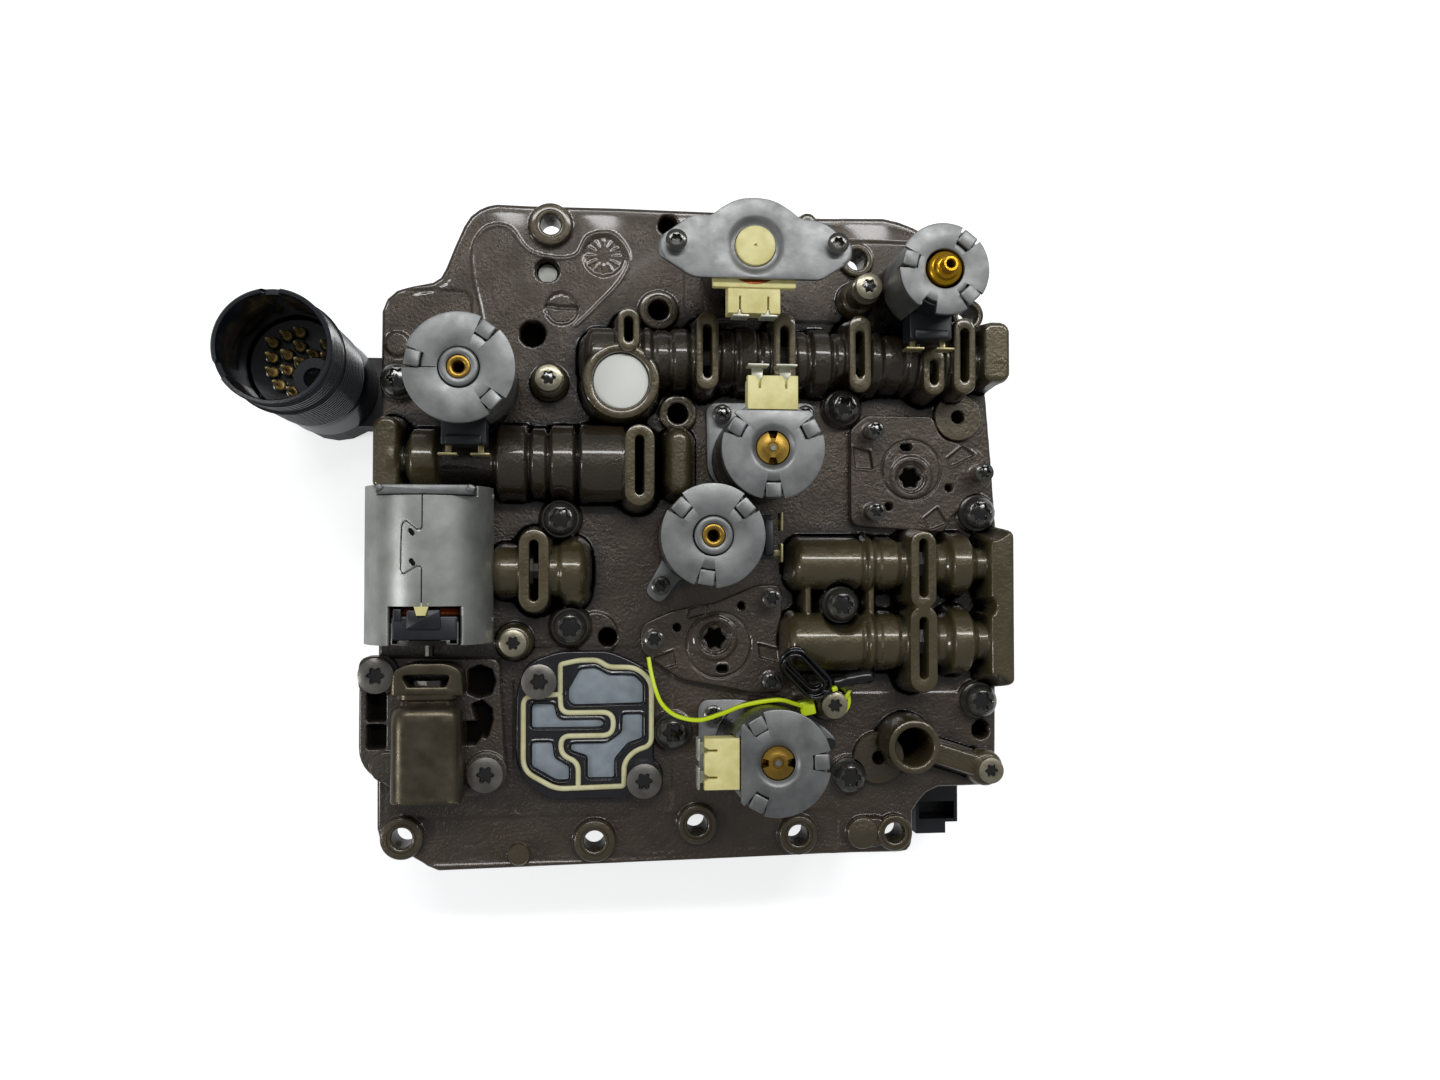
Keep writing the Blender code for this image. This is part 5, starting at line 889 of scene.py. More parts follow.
boss_grids.append(turned([(3.6, 49.0), (3.6, 53.2), (3.3, 53.6), (0.0, 53.6), (0.0, 49.0)], DOWEL, 40))
shaped("boss_rims", boss_grids, CASTING, "cast", tint=0.6, wrap_v=True)

port_profile = [
    (9.4, 57.0), (8.9, 65.6), (8.6, 66.5), (8.1, 66.8), (7.0, 66.8), (6.5, 66.5), (6.2, 66.0), (6.2, 46.0),
    (7.2, 46.0), (7.4, 57.0)]
filter_profile = [
    (12.9, 56.0), (12.4, 66.0), (12.1, 67.0), (11.6, 67.3), (9.8, 67.3), (9.3, 67.0), (9.1, 66.4), (9.1, 57.5),
    (10.4, 56.0)]
towers = [turned(port_profile, PORT, 80), turned(filter_profile, FILTER, 96)]
for bx, by, rise in POST_BOLTS:
    top = FACE + rise
    foot = min(top - 6.5, 57.0)
    profile = [
        (6.3, 50.5), (5.9, foot), (5.2, foot + 0.9), (4.2, foot + 1.3), (4.1, top - 6.4), (4.9, top - 6.0),
        (4.9, top - 4.8), (4.6, top - 4.6), (3.0, top - 4.6), (3.0, 50.5)]
    towers.append(turned(profile, (bx, by), 48))
shaped("cast_towers", towers, CASTING, "cast", tint=0.85, wrap_v=True)

hole_floor = turned([(0.0, 45.4), (3.1, 45.4), (3.1, 46.2), (0.0, 46.2)], (-49.5, 87.4), 32)
shaped("separator_seen_through_hole", [hole_floor], SHEET_ZINC, "steel", wrap_v=True)
disc_profile = [(0.0, 63.7), (0.0, 65.6), (8.3, 65.6), (8.75, 65.3), (8.9, 64.8), (8.9, 63.7)]
shaped("filter_disc_face", [turned(disc_profile, FILTER, 72)], PALE_DISC, "pale_plastic", ("filter_disc",),
       wrap_v=True)
print("rings:", len(flange_grids), "round slots,", len(boss_grids), "on bosses,", len(towers), "towers")

# %% [markdown]
# ### Bolts
# Domed six-lobe bolts hold the unit together, and cap screws with the same drive stand on posts. The head is
# a polar surface: near the middle its rings follow the six-lobe socket, and further out they turn into circles.


# %% Bolt heads
def six_lobes(socket, a, depth=0.16):
    """Radius of a six-lobe outline at an angle: socket (1 + depth cos 6a)."""
    return socket * (1 + depth * np.cos(6 * a))


def lobed_head(at, base, radius, high, socket, deep, dome, sides=72):
    """Rings run from the socket's floor up its wall and over the dome. A ring is a mix of the six-lobe outline,
    socket (1 + 0.16 cos 6a), and a circle; the dome falls by dome times the 2.2nd power of the way to its edge."""
    turns = whole_turn(sides)
    lobe = six_lobes(socket, turns)
    top = base + high
    shares = np.array([0.0, 0.5, 0.96, 1.0, 1.10, 1.25, 1.5, 1.9, 2.4, 3.0])
    mixed = np.clip((shares - 1.1) / 0.5, 0, 1)
    far = np.clip((shares - 1.0) / 2.0, 0, 1)
    round_r = socket + (radius - socket) * far
    r = np.where(shares <= 1.1, lobe * shares, lobe * shares * (1 - mixed) + round_r * mixed)
    fall = np.where(shares >= 1.1, dome * far ** 2.2, 0.0)
    fall = np.where(shares < 0.98, deep, np.where(shares < 1.05, 0.25, fall))
    z = top - fall + 0 * turns
    wall_r = np.array([radius * 1.0, radius * 0.985, radius * 0.97, 0.0]) + 0 * turns
    wall_z = np.array([top - dome - 0.5, top - dome - 0.9, base, base]) + 0 * turns
    return polar(at, np.hstack([r, wall_r]), turns, np.hstack([z, wall_z]))


def socket_shade(at, top, socket, below=0.9):
    """Painted shade in a six-lobe socket: a black plate with the socket's outline, a little below the head's top."""
    deep = 2.0
    turns = whole_turn(72)
    return plate(polar(at, six_lobes(socket * 1.02, turns), turns, 0.0)[:, 0, :2], top - deep, top - below, 0.05)


def washer_grid(at, base, inner, outer, high):
    """A flat washer with a small bevel round its top."""
    profile = [
        (inner, base), (outer, base), (outer, base + high * 0.7), (outer - 0.3, base + high), (inner, base + high)]
    return turned(profile, at, 64)


big = [lobed_head((bx, by), FACE + seat - 0.2, 5.5, 6.2, 2.9, 3.2, 2.0) for bx, by, seat in BODY_BOLTS]
shaped("body_bolt_heads", big, DARK_BOLT, "steel", caps=False)
collars = [washer_grid((bx, by), FACE + seat - 0.3, 4.5, 6.3, 1.4) for bx, by, seat in BODY_BOLTS]
shaped("body_bolt_collars", collars, DARK_BOLT, "steel", wrap_v=True)
posts = [lobed_head((bx, by), FACE + rise - 4.6, 4.2, 4.6, 1.9, 2.6, 0.35) for bx, by, rise in POST_BOLTS]
shaped("post_bolt_heads", posts, LIGHT_BOLT, "steel", caps=False)
small_screws = [
    (58.3, 34.6, 60.2), (95.3, 20.8, 60.2), (58.6, 7.7, 60.2), (-14.4, -34.2, 58.0), (24.1, -48.2, 58.0),
    (24.1, -21.1, 58.0), (8.1, 40.0, 54.4), (35.9, 40.0, 54.4), (5.2, -59.0, 54.4), (-12.1, -16.8, 55.2)]
screws = [lobed_head((sx, sy), z - 0.6, 3.1, 3.6, 1.75, 2.2, 0.4, 60) for sx, sy, z in small_screws]
shaped("small_screw_heads", screws, DARK_BOLT, "steel", caps=False)
# Black plates paint the shade deep in the sockets and in the bracket's screw hole
socket_shades = [socket_shade((bx, by), FACE + seat + 6.0, 2.9) for bx, by, seat in BODY_BOLTS]
socket_shades += [socket_shade((bx, by), FACE + rise, 1.9) for bx, by, rise in POST_BOLTS]
socket_shades += [socket_shade((sx, sy), z + 3.0, 1.75) for sx, sy, z in small_screws]
ear_hole_shade = plate(circle_loop(44.6, -69.6, 2.0, 32), 53.0, 53.46, 0.05)
shaped("painted_shade_in_sockets", socket_shades + [ear_hole_shade], SOCKET_SHADE_BLACK, "black_plastic")
necks = [turned([(0.0, 51.6), (2.1, 51.6), (2.1, z - 0.4), (0.0, z - 0.4)], (sx, sy), 32) for sx, sy,
         z in small_screws]
shaped("small_screw_necks", necks, LIGHT_BOLT, "steel", wrap_v=True)
print("bolts:", len(big) + len(posts) + len(screws))

# %% [markdown]
# ## The upright solenoids
# Each is a drawn steel can with a coil moulded in plastic. A cap disc lies on the can, and fingers of the can
# are crimped over it, in notches of its rim. In polar coordinates the cap is one function: the outer radius
# drops where a finger or the terminal block needs room. Two families differ in the terminal block, which is
# black and low or yellow and level with the cap, and in the pole piece in the middle.

# %% Solenoid sizes
SOLENOIDS = {
    "a": ((-73.5, 47.5), 16.4, -90.0, True, (170.0, 55.0, -45.0)),
    "b": ((13.9, 85.7), 13.8, -90.0, False, ()),
    "c": ((72.3, 80.4), 14.1, -90.0, True, (52.0, 166.0, -46.0)),
    "d": ((19.3, 25.0), 15.7, 90.0, False, (151.0, 27.0, -90.0)),
    "e": ((1.2, -1.4), 15.7, 0.0, True, (139.0, 41.0, -99.0)),
    "f": ((20.8, -69.3), 16.1, 180.0, False, (119.0, 1.0, -118.0))}
CAN_LOW, CAN_TOP, CAP_LOW, CAP_TOP = 57.8, 92.8, 93.1, 94.6
CAN_WALL = 1.2
CAN_INSET = 0.9
CAP_FLAT = 11.3
CAP_GAPS = {"c": -114.0}
FINGER_WIDE = 4.8


def placed(grid, at, degrees):
    """Turns a grid about the upright axis, then moves it: local x points out to the side named by the angle."""
    c, s = math.cos(math.radians(degrees)), math.sin(math.radians(degrees))
    x, y, z = np.moveaxis(grid, -1, 0)
    return np.stack([at[0] + x * c - y * s, at[1] + x * s + y * c, z], -1)


def box_loop(x1, x2, y1, y2, r=0.5):
    """A rectangle in plan with rounded corners."""
    return round_loop([(x1, y1), (x2, y1), (x2, y2), (x1, y2)], r, 4)


def steps_of(degrees, half, thin=0.35):
    """Angles on both sides of a notch's two walls."""
    return [degrees - half - thin, degrees - half, degrees + half, degrees + half + thin]


def apart(a, b):
    """Smallest difference of two angles in degrees."""
    return np.abs((a - b + 180) % 360 - 180)


def cap_grid(at, radius, block, low_family, tabs, inner, gap):
    """Cap disc: rings of (share of the way, height) between the hole's profile and an outer radius that depends
    on the angle: radius, or the notch's floor at a finger, or flat / cos(angle) beside a high terminal block."""
    floor = radius - 5.6
    half = math.degrees(math.asin((FINGER_WIDE / 2 + 0.35) / (radius - 2.6)))
    angles = np.array(sorted({*np.linspace(-180, 178, 180), *(a for tab in tabs for a in steps_of(tab, half))}))
    outer = np.full(len(angles), radius)
    for tab in tabs:
        outer = np.where(apart(angles, tab) <= half + 1e-6, floor, outer)
    if gap is not None:
        outer = np.where(apart(angles, gap) <= 11.0, radius - 3.6, outer)
    if not low_family:
        turned_to = np.radians(apart(angles, block))
        flat = np.where(turned_to < 1.2, CAP_FLAT / np.maximum(np.cos(turned_to), 0.2), 99.0)
        outer = np.minimum(outer, flat)
    outer = outer[:, None]
    inner = np.asarray(inner, float)
    ring_r = [np.full_like(outer, r) for r, _ in inner]
    ring_z = [np.full_like(outer, z) for _, z in inner]
    for back, z in ((0.5, CAP_TOP), (0.12, CAP_TOP - 0.12), (0.0, CAP_TOP - 0.45), (0.0, CAP_LOW + 0.2),
                    (0.2, CAP_LOW)):
        ring_r.append(outer - back)
        ring_z.append(np.full_like(outer, z))
    return polar(at, np.hstack(ring_r), np.radians(angles)[:, None], np.hstack(ring_z))


def can_grids(radius, block, low_family, window_half):
    """Drawn can: a cup turned from its wall section up to the window, then a C of wall round to both its sides."""
    ro, ri = radius - CAN_INSET, radius - CAN_INSET - CAN_WALL
    bend = np.linspace(-np.pi / 2, 0, 6)
    sill = 70.0 if low_family else 84.0
    cup = [(2.3, 59.8), (2.3, CAN_LOW)] + [(ro - 1.6 + 1.6 * math.cos(t),
                                            CAN_LOW + 1.6 + 1.6 * math.sin(t)) for t in bend]
    cup += [(ro, sill), (ri, sill), (ri, 59.8)]
    half = math.degrees(math.asin(window_half / ro))
    turns = np.radians(np.linspace(block + half, block + 360 - half, 90))[:, None]
    section = np.array([(ri, sill), (ro, sill), (ro, CAN_TOP - 0.3), (ro - 0.3, CAN_TOP), (ri, CAN_TOP)])
    wall = polar((0.0, 0.0), section[:, 0], turns, section[:, 1])
    return turned(cup, (0.0, 0.0), 96), wall.transpose(1, 0, 2)


def finger_grids(radius, tab, top):
    """A crimped finger: a flat tongue over the cap and its root in the can's wall."""
    tongue = plate(box_loop(radius - 5.3, radius - 0.75, -FINGER_WIDE / 2, FINGER_WIDE / 2, 0.7), top - 1.5, top, 0.4)
    root = plate(box_loop(radius - 2.1, radius - 0.75, -FINGER_WIDE / 2, FINGER_WIDE / 2, 0.4), 88.0, top - 0.25, 0.3)
    return [placed(g, (0.0, 0.0), tab) for g in (tongue, root)]


# %% Cans and caps
RING_HOLE = [(6.05, CAP_LOW), (6.05, CAP_TOP - 0.35), (6.2, CAP_TOP - 0.1), (6.5, CAP_TOP)]
DISH_HOLE = [
    (5.25, CAP_LOW), (5.25, CAP_LOW + 0.35), (5.7, CAP_LOW + 0.75), (6.3, CAP_TOP - 0.28), (6.9, CAP_TOP - 0.05),
    (7.4, CAP_TOP)]
for key, (at, radius, block, low_family, tabs) in SOLENOIDS.items():
    label = "solenoid_" + key
    cup, wall = can_grids(radius, block, low_family, 10.6 if key == "b" else 7.2 if low_family else 7.95)
    low_cup, *grids = [placed(g, at, 0.0) for g in (cup, wall)]
    for number, tab in enumerate(tabs):
        top = CAP_TOP + (0.35 if (key, number) in (("e", 2), ("d", 2), ("f", 1)) else 1.1)
        grids += [placed(g, at, 0.0) for g in finger_grids(radius, tab, top)]
    # The can's cup is dark from oil and from painted shade under the cap
    shaped(label + "_cup", [low_cup], OILED_SHADED_STRIP, "steel", (label + "_can",), wrap_v=True)
    shaped(label + "_wall", grids, STRIP_STEEL, "steel")
    if key != "b":
        inner = RING_HOLE if low_family else DISH_HOLE
        cap = cap_grid(at, radius, block, low_family, tabs, inner, CAP_GAPS.get(key))
        shaped(label + "_cap_disc", [cap], STRIP_STEEL, "steel", (label + "_cap",), wrap_v=True)
print("solenoids:", len(SOLENOIDS))

# %% [markdown]
# ### Pole pieces
# The low family shows a steel bush round a brass ring; one of them carries a gold-coloured nozzle. The high
# family shows a brass adjuster disc, set below the cap, with two driver slots and a pin in its middle.


# %% Pole pieces
def adjuster_grid(at, block):
    """Brass disc with two slots: a polar surface whose height drops inside the slots' angles, outside a radius."""
    half = 17.0
    slots = (block, block + 180.0)
    angles = np.array(sorted({*np.linspace(0, 357, 120), *(a % 360 for s in slots for a in steps_of(s, half))}))
    in_slot = np.zeros(len(angles), bool)
    for s in slots:
        in_slot |= apart(angles, s) <= half + 1e-6
    rings = np.array([
        (0.0, 93.55), (1.15, 93.55), (1.2, 93.3), (1.5, 93.3), (1.7, 93.55), (2.9, 93.55), (3.0, 93.5), (4.8, 93.5),
        (5.0, 93.3), (5.0, 83.0), (0.0, 83.0)])
    r, z = (column + 0 * angles[:, None] for column in rings.T)
    z = np.where(in_slot[:, None] & (r >= 2.95) & (z > 90), 87.5, z)
    return polar(at, r, np.radians(angles)[:, None], z)


BUSH = [(3.5, 90.0), (5.75, 90.0), (5.75, 95.3), (5.6, 95.6), (5.3, 95.75), (3.9, 95.75), (3.6, 95.6), (3.5, 95.3)]
BRASS_RING = [
    (1.7, 83.0), (3.45, 83.0), (3.45, 95.0), (3.3, 95.25), (3.0, 95.35), (2.2, 95.35), (1.85, 95.1), (1.7, 94.7)]
NOZZLE = [
    (1.3, 83.0), (5.2, 83.0), (5.2, 94.9), (4.9, 95.3), (4.0, 95.6), (3.7, 96.2), (3.6, 96.9), (3.2, 97.3),
    (2.6, 97.4), (2.45, 98.0), (2.4, 100.3), (2.15, 100.8), (1.55, 100.8), (1.3, 100.5)]
for key, (at, _, block, low_family, _) in SOLENOIDS.items():
    label = "solenoid_%s_core" % key
    if key == "c":
        shaped(label + "_nozzle", [turned(NOZZLE, at, 72)], GOLD, "brass", (label,), wrap_v=True)
    elif low_family:
        shaped(label + "_ring", [turned(BRASS_RING, at, 64)], BRASS, "brass", (label,), wrap_v=True)
        shaped(label + "_bush", [turned(BUSH, at, 72)], STRIP_STEEL, "steel", wrap_v=True)
    elif key != "b":
        shaped(label + "_adjuster", [adjuster_grid(at, block)], BRASS, "brass", (label,), caps=False)
        pin = turned([(0.0, 94.0), (0.75, 94.0), (0.95, 93.8), (0.95, 92.5), (0.0, 92.5)], at, 32)
        shaped(label + "_pin", [pin], STRIP_STEEL, "steel", wrap_v=True)
print("pole pieces stand", round(NOZZLE[-2][1] - CAP_TOP, 1), "mm over the caps at most")

# %% [markdown]
# ### The flanged solenoid
# One solenoid is closed by a diamond-shaped flange with an arched edge and a bolt through each ear. A soft
# dish is pressed round its hole, and a cream plug with a pinhole sits in it.

# %% The diamond flange and its plug
B_AT = SOLENOIDS["b"][0]
FLANGE_B = [
    (-29.2, 1.6, 2), (-19.2, 8.8, 4), (-13.5, 8.6, 5), (-10.4, 11.2, 5), (-5.5, 14.0, 5), (0.0, 14.6, 6),
    (5.5, 14.0, 5), (10.4, 11.2, 5), (13.8, 8.4, 5), (20.5, 8.0, 3), (29.8, 1.0, 2), (29.2, -4.0, 2),
    (20.0, -10.0, 2), (-19.0, -10.0, 2), (-29.2, -3.6, 2)]
outer = densely(round_loop([p[:2] for p in FLANGE_B], [p[2] for p in FLANGE_B], 6), 0.9)
around = np.arctan2(outer[:, 1], outer[:, 0])[:, None]
rings = [at_height(B_AT + outer * part, z) for part, z in ((1.0, 93.3), (1.0, 94.3), (0.985, 94.62), (0.95, 94.7))]
rings += [polar(B_AT, r, around, z)[:, 0]
          for r, z in ((9.3, 94.7), (8.5, 94.55), (7.6, 94.1), (6.9, 93.75), (6.3, 93.7), (6.3, 93.2))]
shaped("solenoid_b_flange", [np.stack(rings, 1)], STRIP_STEEL, "steel", ("solenoid_b_cap",), wrap_v=True)
plug = turned([
    (0.0, 94.1), (0.45, 94.1), (0.55, 94.9), (5.2, 95.0), (5.9, 94.8), (6.1, 94.3), (6.1, 84.0), (0.0, 84.0)], B_AT,
    64)
shaped("solenoid_b_plug", [plug], YELLOW_PLASTIC, "yellow_plastic", ("solenoid_b_core",), wrap_v=True)
flange_bolts = [lobed_head((B_AT[0] + dx, B_AT[1] + dy), 94.6, 3.2, 3.3, 1.5, 2.2, 0.5, 60)
                for dx, dy in ((-24.0, 0.3), (24.7, 0.7))]
shaped("flange_bolt_heads", flange_bolts, DARK_BOLT, "steel", caps=False)
print("flange:", round(np.ptp(outer[:, 0]), 1), "mm across its ears")

# %% [markdown]
# ### Terminal blocks
# The coil's plastic comes out through the can's window as a block with two spring terminals. The yellow
# blocks are slit over each terminal; the flags that stand at their ends meet the module's contacts.


# %% Terminal blocks
def slit_loop(x1, x2, half, slits, deep, wide=0.7):
    """Outline of a block that is slit from its outer edge: each slit flares a little at its mouth."""
    loop = [(x1, -half), (x2, -half)]
    for v in slits:
        loop += [
            (x2, v - wide * 1.6), (x2 - 1.4, v - wide / 2), (x2 - deep, v - wide / 2), (x2 - deep, v + wide / 2),
            (x2 - 1.4, v + wide / 2), (x2, v + wide * 1.6)]
    return np.array(loop + [(x2, half), (x1, half)])


def drum(at, inner, radius, low, high):
    """A hollow drum between two heights."""
    return turned([(inner, low), (radius, low), (radius, high), (inner, high)], at, 64)


for key, (at, radius, block, low_family, _) in SOLENOIDS.items():
    label = "solenoid_%s_coil" % key
    reach = 19.8 if key == "b" else radius - CAN_INSET + (5.7 if low_family else 7.0)
    low, high = (70.3, 79.3) if low_family else (84.6, 93.6)
    out = 3.0 if low_family else 1.4 if key == "b" else 3.6 if key == "d" else 2.0
    pitch = 4.9 if low_family else 4.3
    flags = []
    for v in (-pitch, pitch):
        leaf, flag = (0.9, 2.9) if low_family else (1.7, 2.5 if key == "b" else 3.2)
        top = high - 0.4 if low_family else high - 0.2
        flags.append(plate(box_loop(reach - 1.5, reach + out, v - leaf, v + leaf, 0.2), top - 4.0, top - 3.4, 0.12))
        flags.append(plate(box_loop(reach + out - 0.7, reach + out, v - flag, v + flag, 0.2), top - 6.0, top, 0.12))
    winding = drum(at, 6.6, radius - CAN_INSET - CAN_WALL - 0.6, 60.1, CAN_TOP - 0.1)
    if low_family:
        blocks = [
            plate(box_loop(8.8, reach, -6.9, 6.9, 0.8), low, high, 0.5),
            plate(box_loop(reach - 3.0, reach + 0.01, -5.6, 5.6, 0.8), low + 3.4, high + 1.6, 0.5)]
        paint, slot = BLACK_PLASTIC, "black_plastic"
    else:
        blocks = [
            plate(slit_loop(11.62, reach, 7.65, (-4.0, 4.0), 3.9), high - 3.4, high, 0.25),
            plate(box_loop(8.8, reach - 0.6, -7.3, 7.3, 0.5), low, high - 3.2, 0.3)]
        paint, slot = YELLOW_PLASTIC, "yellow_plastic"
        if key == "b":
            blocks = [
                plate(box_loop(8.8, 12.2, -12.7, 12.7, 0.6), high - 4.0, high - 1.2, 0.4),
                plate(slit_loop(10.5, reach, 8.0, (-4.3, 4.3), 5.2, 0.5), low, high - 2.0, 0.3)]
            cheeks = [drum(at, 7.0, 11.5, z, z + 1.6) for z in (66.0, 82.4)]
            shaped("solenoid_b_bobbin", cheeks, YELLOW_PLASTIC, "yellow_plastic", wrap_v=True)
    shaped(label + "_block", [placed(g, at, block) for g in blocks], paint, slot, (label,))
    wire = (COPPER, "brass") if key == "b" else (BLACK_PLASTIC, "black_plastic")
    shaped(label + "_winding", [winding], *wire, wrap_v=True)
    flag_grids = [placed(g, at, block) for g in flags]
    shaped(label + "_terminals", flag_grids, TERMINAL_TIN if low_family else PALE_TIN, "brass")
print("terminal blocks reach", round(reach, 1), "mm from the last solenoid's axis")

# %% Brackets of pressed steel
BRACKETS = {
    "d": [(3.0, 44.0, 4), (40.0, 44.5, 4), (40.0, 34.0, 4), (33.0, 18.0, 10), (18.0, 12.0, 8), (3.5, 18.0, 6)],
    "e": [(-17.5, -19.0, 3), (-12.0, -9.5, 3), (-6.0, 8.0, 4), (11.0, 5.0, 4), (9.0, -8.0, 4), (-5.0, -14.0, 3),
        (-12.0, -23.2, 3)],
    "f": [(0.5, -54.5, 4), (15.0, -54.5, 4), (38.0, -60.0, 6), (48.0, -69.0, 4), (40.0, -77.0, 6), (15.0, -84.0, 8),
        (0.5, -79.0, 4)]}
for key, corners in BRACKETS.items():
    name = "solenoid_%s_bracket" % key
    loop = round_loop([c[:2] for c in corners], [c[2] for c in corners], 7)
    at, radius = SOLENOIDS[key][:2]
    cup = turned([
        (6.0, 51.7), (radius - 2.0, 51.7), (radius - 1.2, 53.0), (radius - 2.2, 57.4), (radius - 2.6, 57.6),
        (6.0, 57.6)], at, 64)
    shaped(name + "_sheet", [plate(loop, 51.6, 53.4, 0.4)], STRIP_STEEL, "steel", (name,))
    # The cup under the can is dark from oil and from painted shade
    shaped(name + "_cup", [cup], OILED_SHADED_STRIP, "steel", wrap_v=True)
print("brackets:", len(BRACKETS), "sheets with a cup")

# %% [markdown]
# ## The lying solenoid
# Its can is rolled from strip, so a dovetail joint closes it on top. The shell is a piece of a cylinder over
# angle and length, with a window at one end. The joint is a groove: the radius drops by a third of a
# millimetre near the joint's line, and the grid is finest there.

# %% Rolled can
G_X, G_Z, G_R = -85.5, 62.3, 19.8
G_LOW, G_HIGH = -34.5, 14.2
SEAM = [
    (-85.3, 11.2), (-85.3, 1.3), (-85.8, 0.5), (-86.7, 0.5), (-90.0, 3.0), (-90.9, 2.8), (-91.4, 1.8), (-91.6, -2.6),
    (-91.7, -11.6), (-91.3, -12.6), (-90.5, -12.7), (-86.7, -10.4), (-85.9, -10.5), (-85.4, -11.3), (-85.4, -22.6)]
SEAM_DEEP = 0.45
# Openings of the shell: from x to x, up to or from y
G_WINDOW = (-95.9, -73.6, -22.6)
G_MOUTH = (-99.8, -69.6, 10.9)


def rolled_shell():
    """Rows of angles and lengths: the radius is 19.8, less the groove's depth where the joint's line is near."""
    edges, mouth = (np.degrees(np.arccos((np.array(x[:2]) - G_X) / G_R)) for x in (G_WINDOW, G_MOUTH))
    parts = [np.linspace(-32, 87, 60, endpoint=False), np.linspace(87, 110, 92), np.linspace(112, 212, 50)]
    angles = np.unique(np.round(np.concatenate(parts + [edges, mouth]), 4))
    lengths = np.unique(
        np.round(np.concatenate([np.arange(G_LOW, G_HIGH, 0.3), [G_WINDOW[2], G_MOUTH[2], G_HIGH]]), 4))
    a, y = np.meshgrid(np.radians(angles), lengths, indexing="ij")
    x = G_X + G_R * np.cos(a)
    groove = SEAM_DEEP * within(polyline_sd(x, y, SEAM, 0.12), 0.25)
    for hx, hy in ((-88.5, -0.2), (-88.2, -9.3)):
        groove = np.maximum(groove, 0.7 * within(capsule_sd(x, y, hx - 0.3, hy + 0.4, hx + 0.3, hy - 0.4, 0.6), 0.3))
    r = G_R - groove
    points = np.stack([G_X + r * np.cos(a), y, G_Z + r * np.sin(a)], -1)
    corner, near = np.degrees(a)[:-1, :-1] + 1e-3, y[:-1, :-1]
    gone = (corner >= min(edges)) & (corner < max(edges)) & (near < G_WINDOW[2] - 1e-3)
    gone |= (corner >= min(mouth)) & (corner < max(mouth)) & (near > G_MOUTH[2] - 1e-3)
    index = np.arange(a.size).reshape(a.shape)
    quads = np.stack([index[:-1, :-1], index[:-1, 1:], index[1:, 1:], index[1:, :-1]], -1)[~gone]
    return points.reshape(-1, 3), quads, groove.ravel()


points, quads, groove = rolled_shell()
shell_mesh = bpy.data.meshes.new("solenoid_g_shell")
shell_mesh.from_pydata(points * MM, [], quads.tolist())
shell_mesh.attributes.new("seam", "FLOAT", "POINT").data.foreach_set("value", np.clip(groove / SEAM_DEEP, 0, 1))
# Paler than the caps, with 10 mm clouds and a fine grain; oil has gathered black in the joint
ROLLED_STEEL, tree, shader, place = finish("rolled_strip_steel", "#aeb0ad", 0.36, metal=0.7)
colour_layers(tree, shader, "#b6b8b4", [(share(tree, place, cycle(10.0, 4.0), 0.35, 0.65), "#9b9d98"),
                                        (share(tree, place, "seam", 0.25, 0.7), "#111014")])
bumps(tree, shader, place, [(cycle(0.6), 0.02, None)])
shell = finished("solenoid_g_shell", shell_mesh, ROLLED_STEEL, ("solenoid_g_can",), sharp=30.0)
wall = shell.modifiers.new("wall", "SOLIDIFY")
wall.thickness = 1.5 * MM
wall.offset = -1.0


def disc_along_y(profile, level):
    """A profile of (radius, y) turned about the can's axis, cut flat at a level, where it stands on the casting."""
    x, z, y = np.moveaxis(turned(profile, (G_X, G_Z), 96), -1, 0)
    return np.stack([x, y, np.maximum(z, level)], -1)


end = disc_along_y([
    (0.0, 11.2), (18.1, 11.2), (18.1, 13.9), (17.8, 14.2), (7.0, 14.2), (6.6, 13.8), (0.0, 13.8)], 52.0)
shaped("solenoid_g_end_disc", [end], STRIP_STEEL, "steel", ("solenoid_g_end_plate",), wrap_v=True)
front = disc_along_y([(2.5, -34.4), (18.2, -34.4), (18.2, -33.0), (2.5, -33.0)], 52.0)
# The front disc is dark from oil and from painted shade
shaped("solenoid_g_front_disc", [front], OILED_SHADED_STRIP, "steel", wrap_v=True)
coil = disc_along_y([(6.6, -32.0), (15.0, -32.0), (15.0, 10.0), (6.6, 10.0)], 52.2)
bars = [
    plate(box_loop(-94.6, -75.0, -33.0, -25.6, 0.8), 70.0, 79.4, 0.6),
    plate(box_loop(-90.0, -80.0, -29.5, -23.6, 0.6), 72.0, 80.6, 0.5),
    plate(box_loop(-94.0, -91.6, -27.0, -23.4, 0.4), 72.0, 80.2, 0.3)]
shaped("solenoid_g_moulding", bars, BLACK_PLASTIC, "black_plastic", ("solenoid_g_coil",))
shaped("solenoid_g_winding", [coil], BLACK_PLASTIC, "black_plastic", wrap_v=True)
wire_profile = [
    (12.0, -25.4), (16.6, -25.4), (16.9, -25.0), (16.6, -24.6), (16.9, -24.2), (16.6, -23.8), (16.9, -23.4),
    (16.4, -23.0), (12.0, -23.0)]
shaped("solenoid_g_wire", [disc_along_y(wire_profile, 0.0)], COPPER, "brass", wrap_v=True)
wedge = plate(np.array([(-88.0, -21.4), (-82.9, -21.4), (-84.2, -25.4), (-86.9, -25.4)]), 80.4, 82.0, 0.3)
shaped("solenoid_g_tape", [wedge], YELLOW_PLASTIC, "yellow_plastic")
legs = []
for side in (-1.0, 1.0):
    foot = G_X + 0.75 + side * 10.0
    for inward, back, low, rim in ((5.6, -32.3, 66.0, 0.4), (2.8, -27.4, 77.6, 0.3)):
        x1, x2 = sorted((foot, foot - side * inward))
        legs.append(plate(box_loop(x1, x2, -34.3, back, 0.5), low, 79.0, rim))
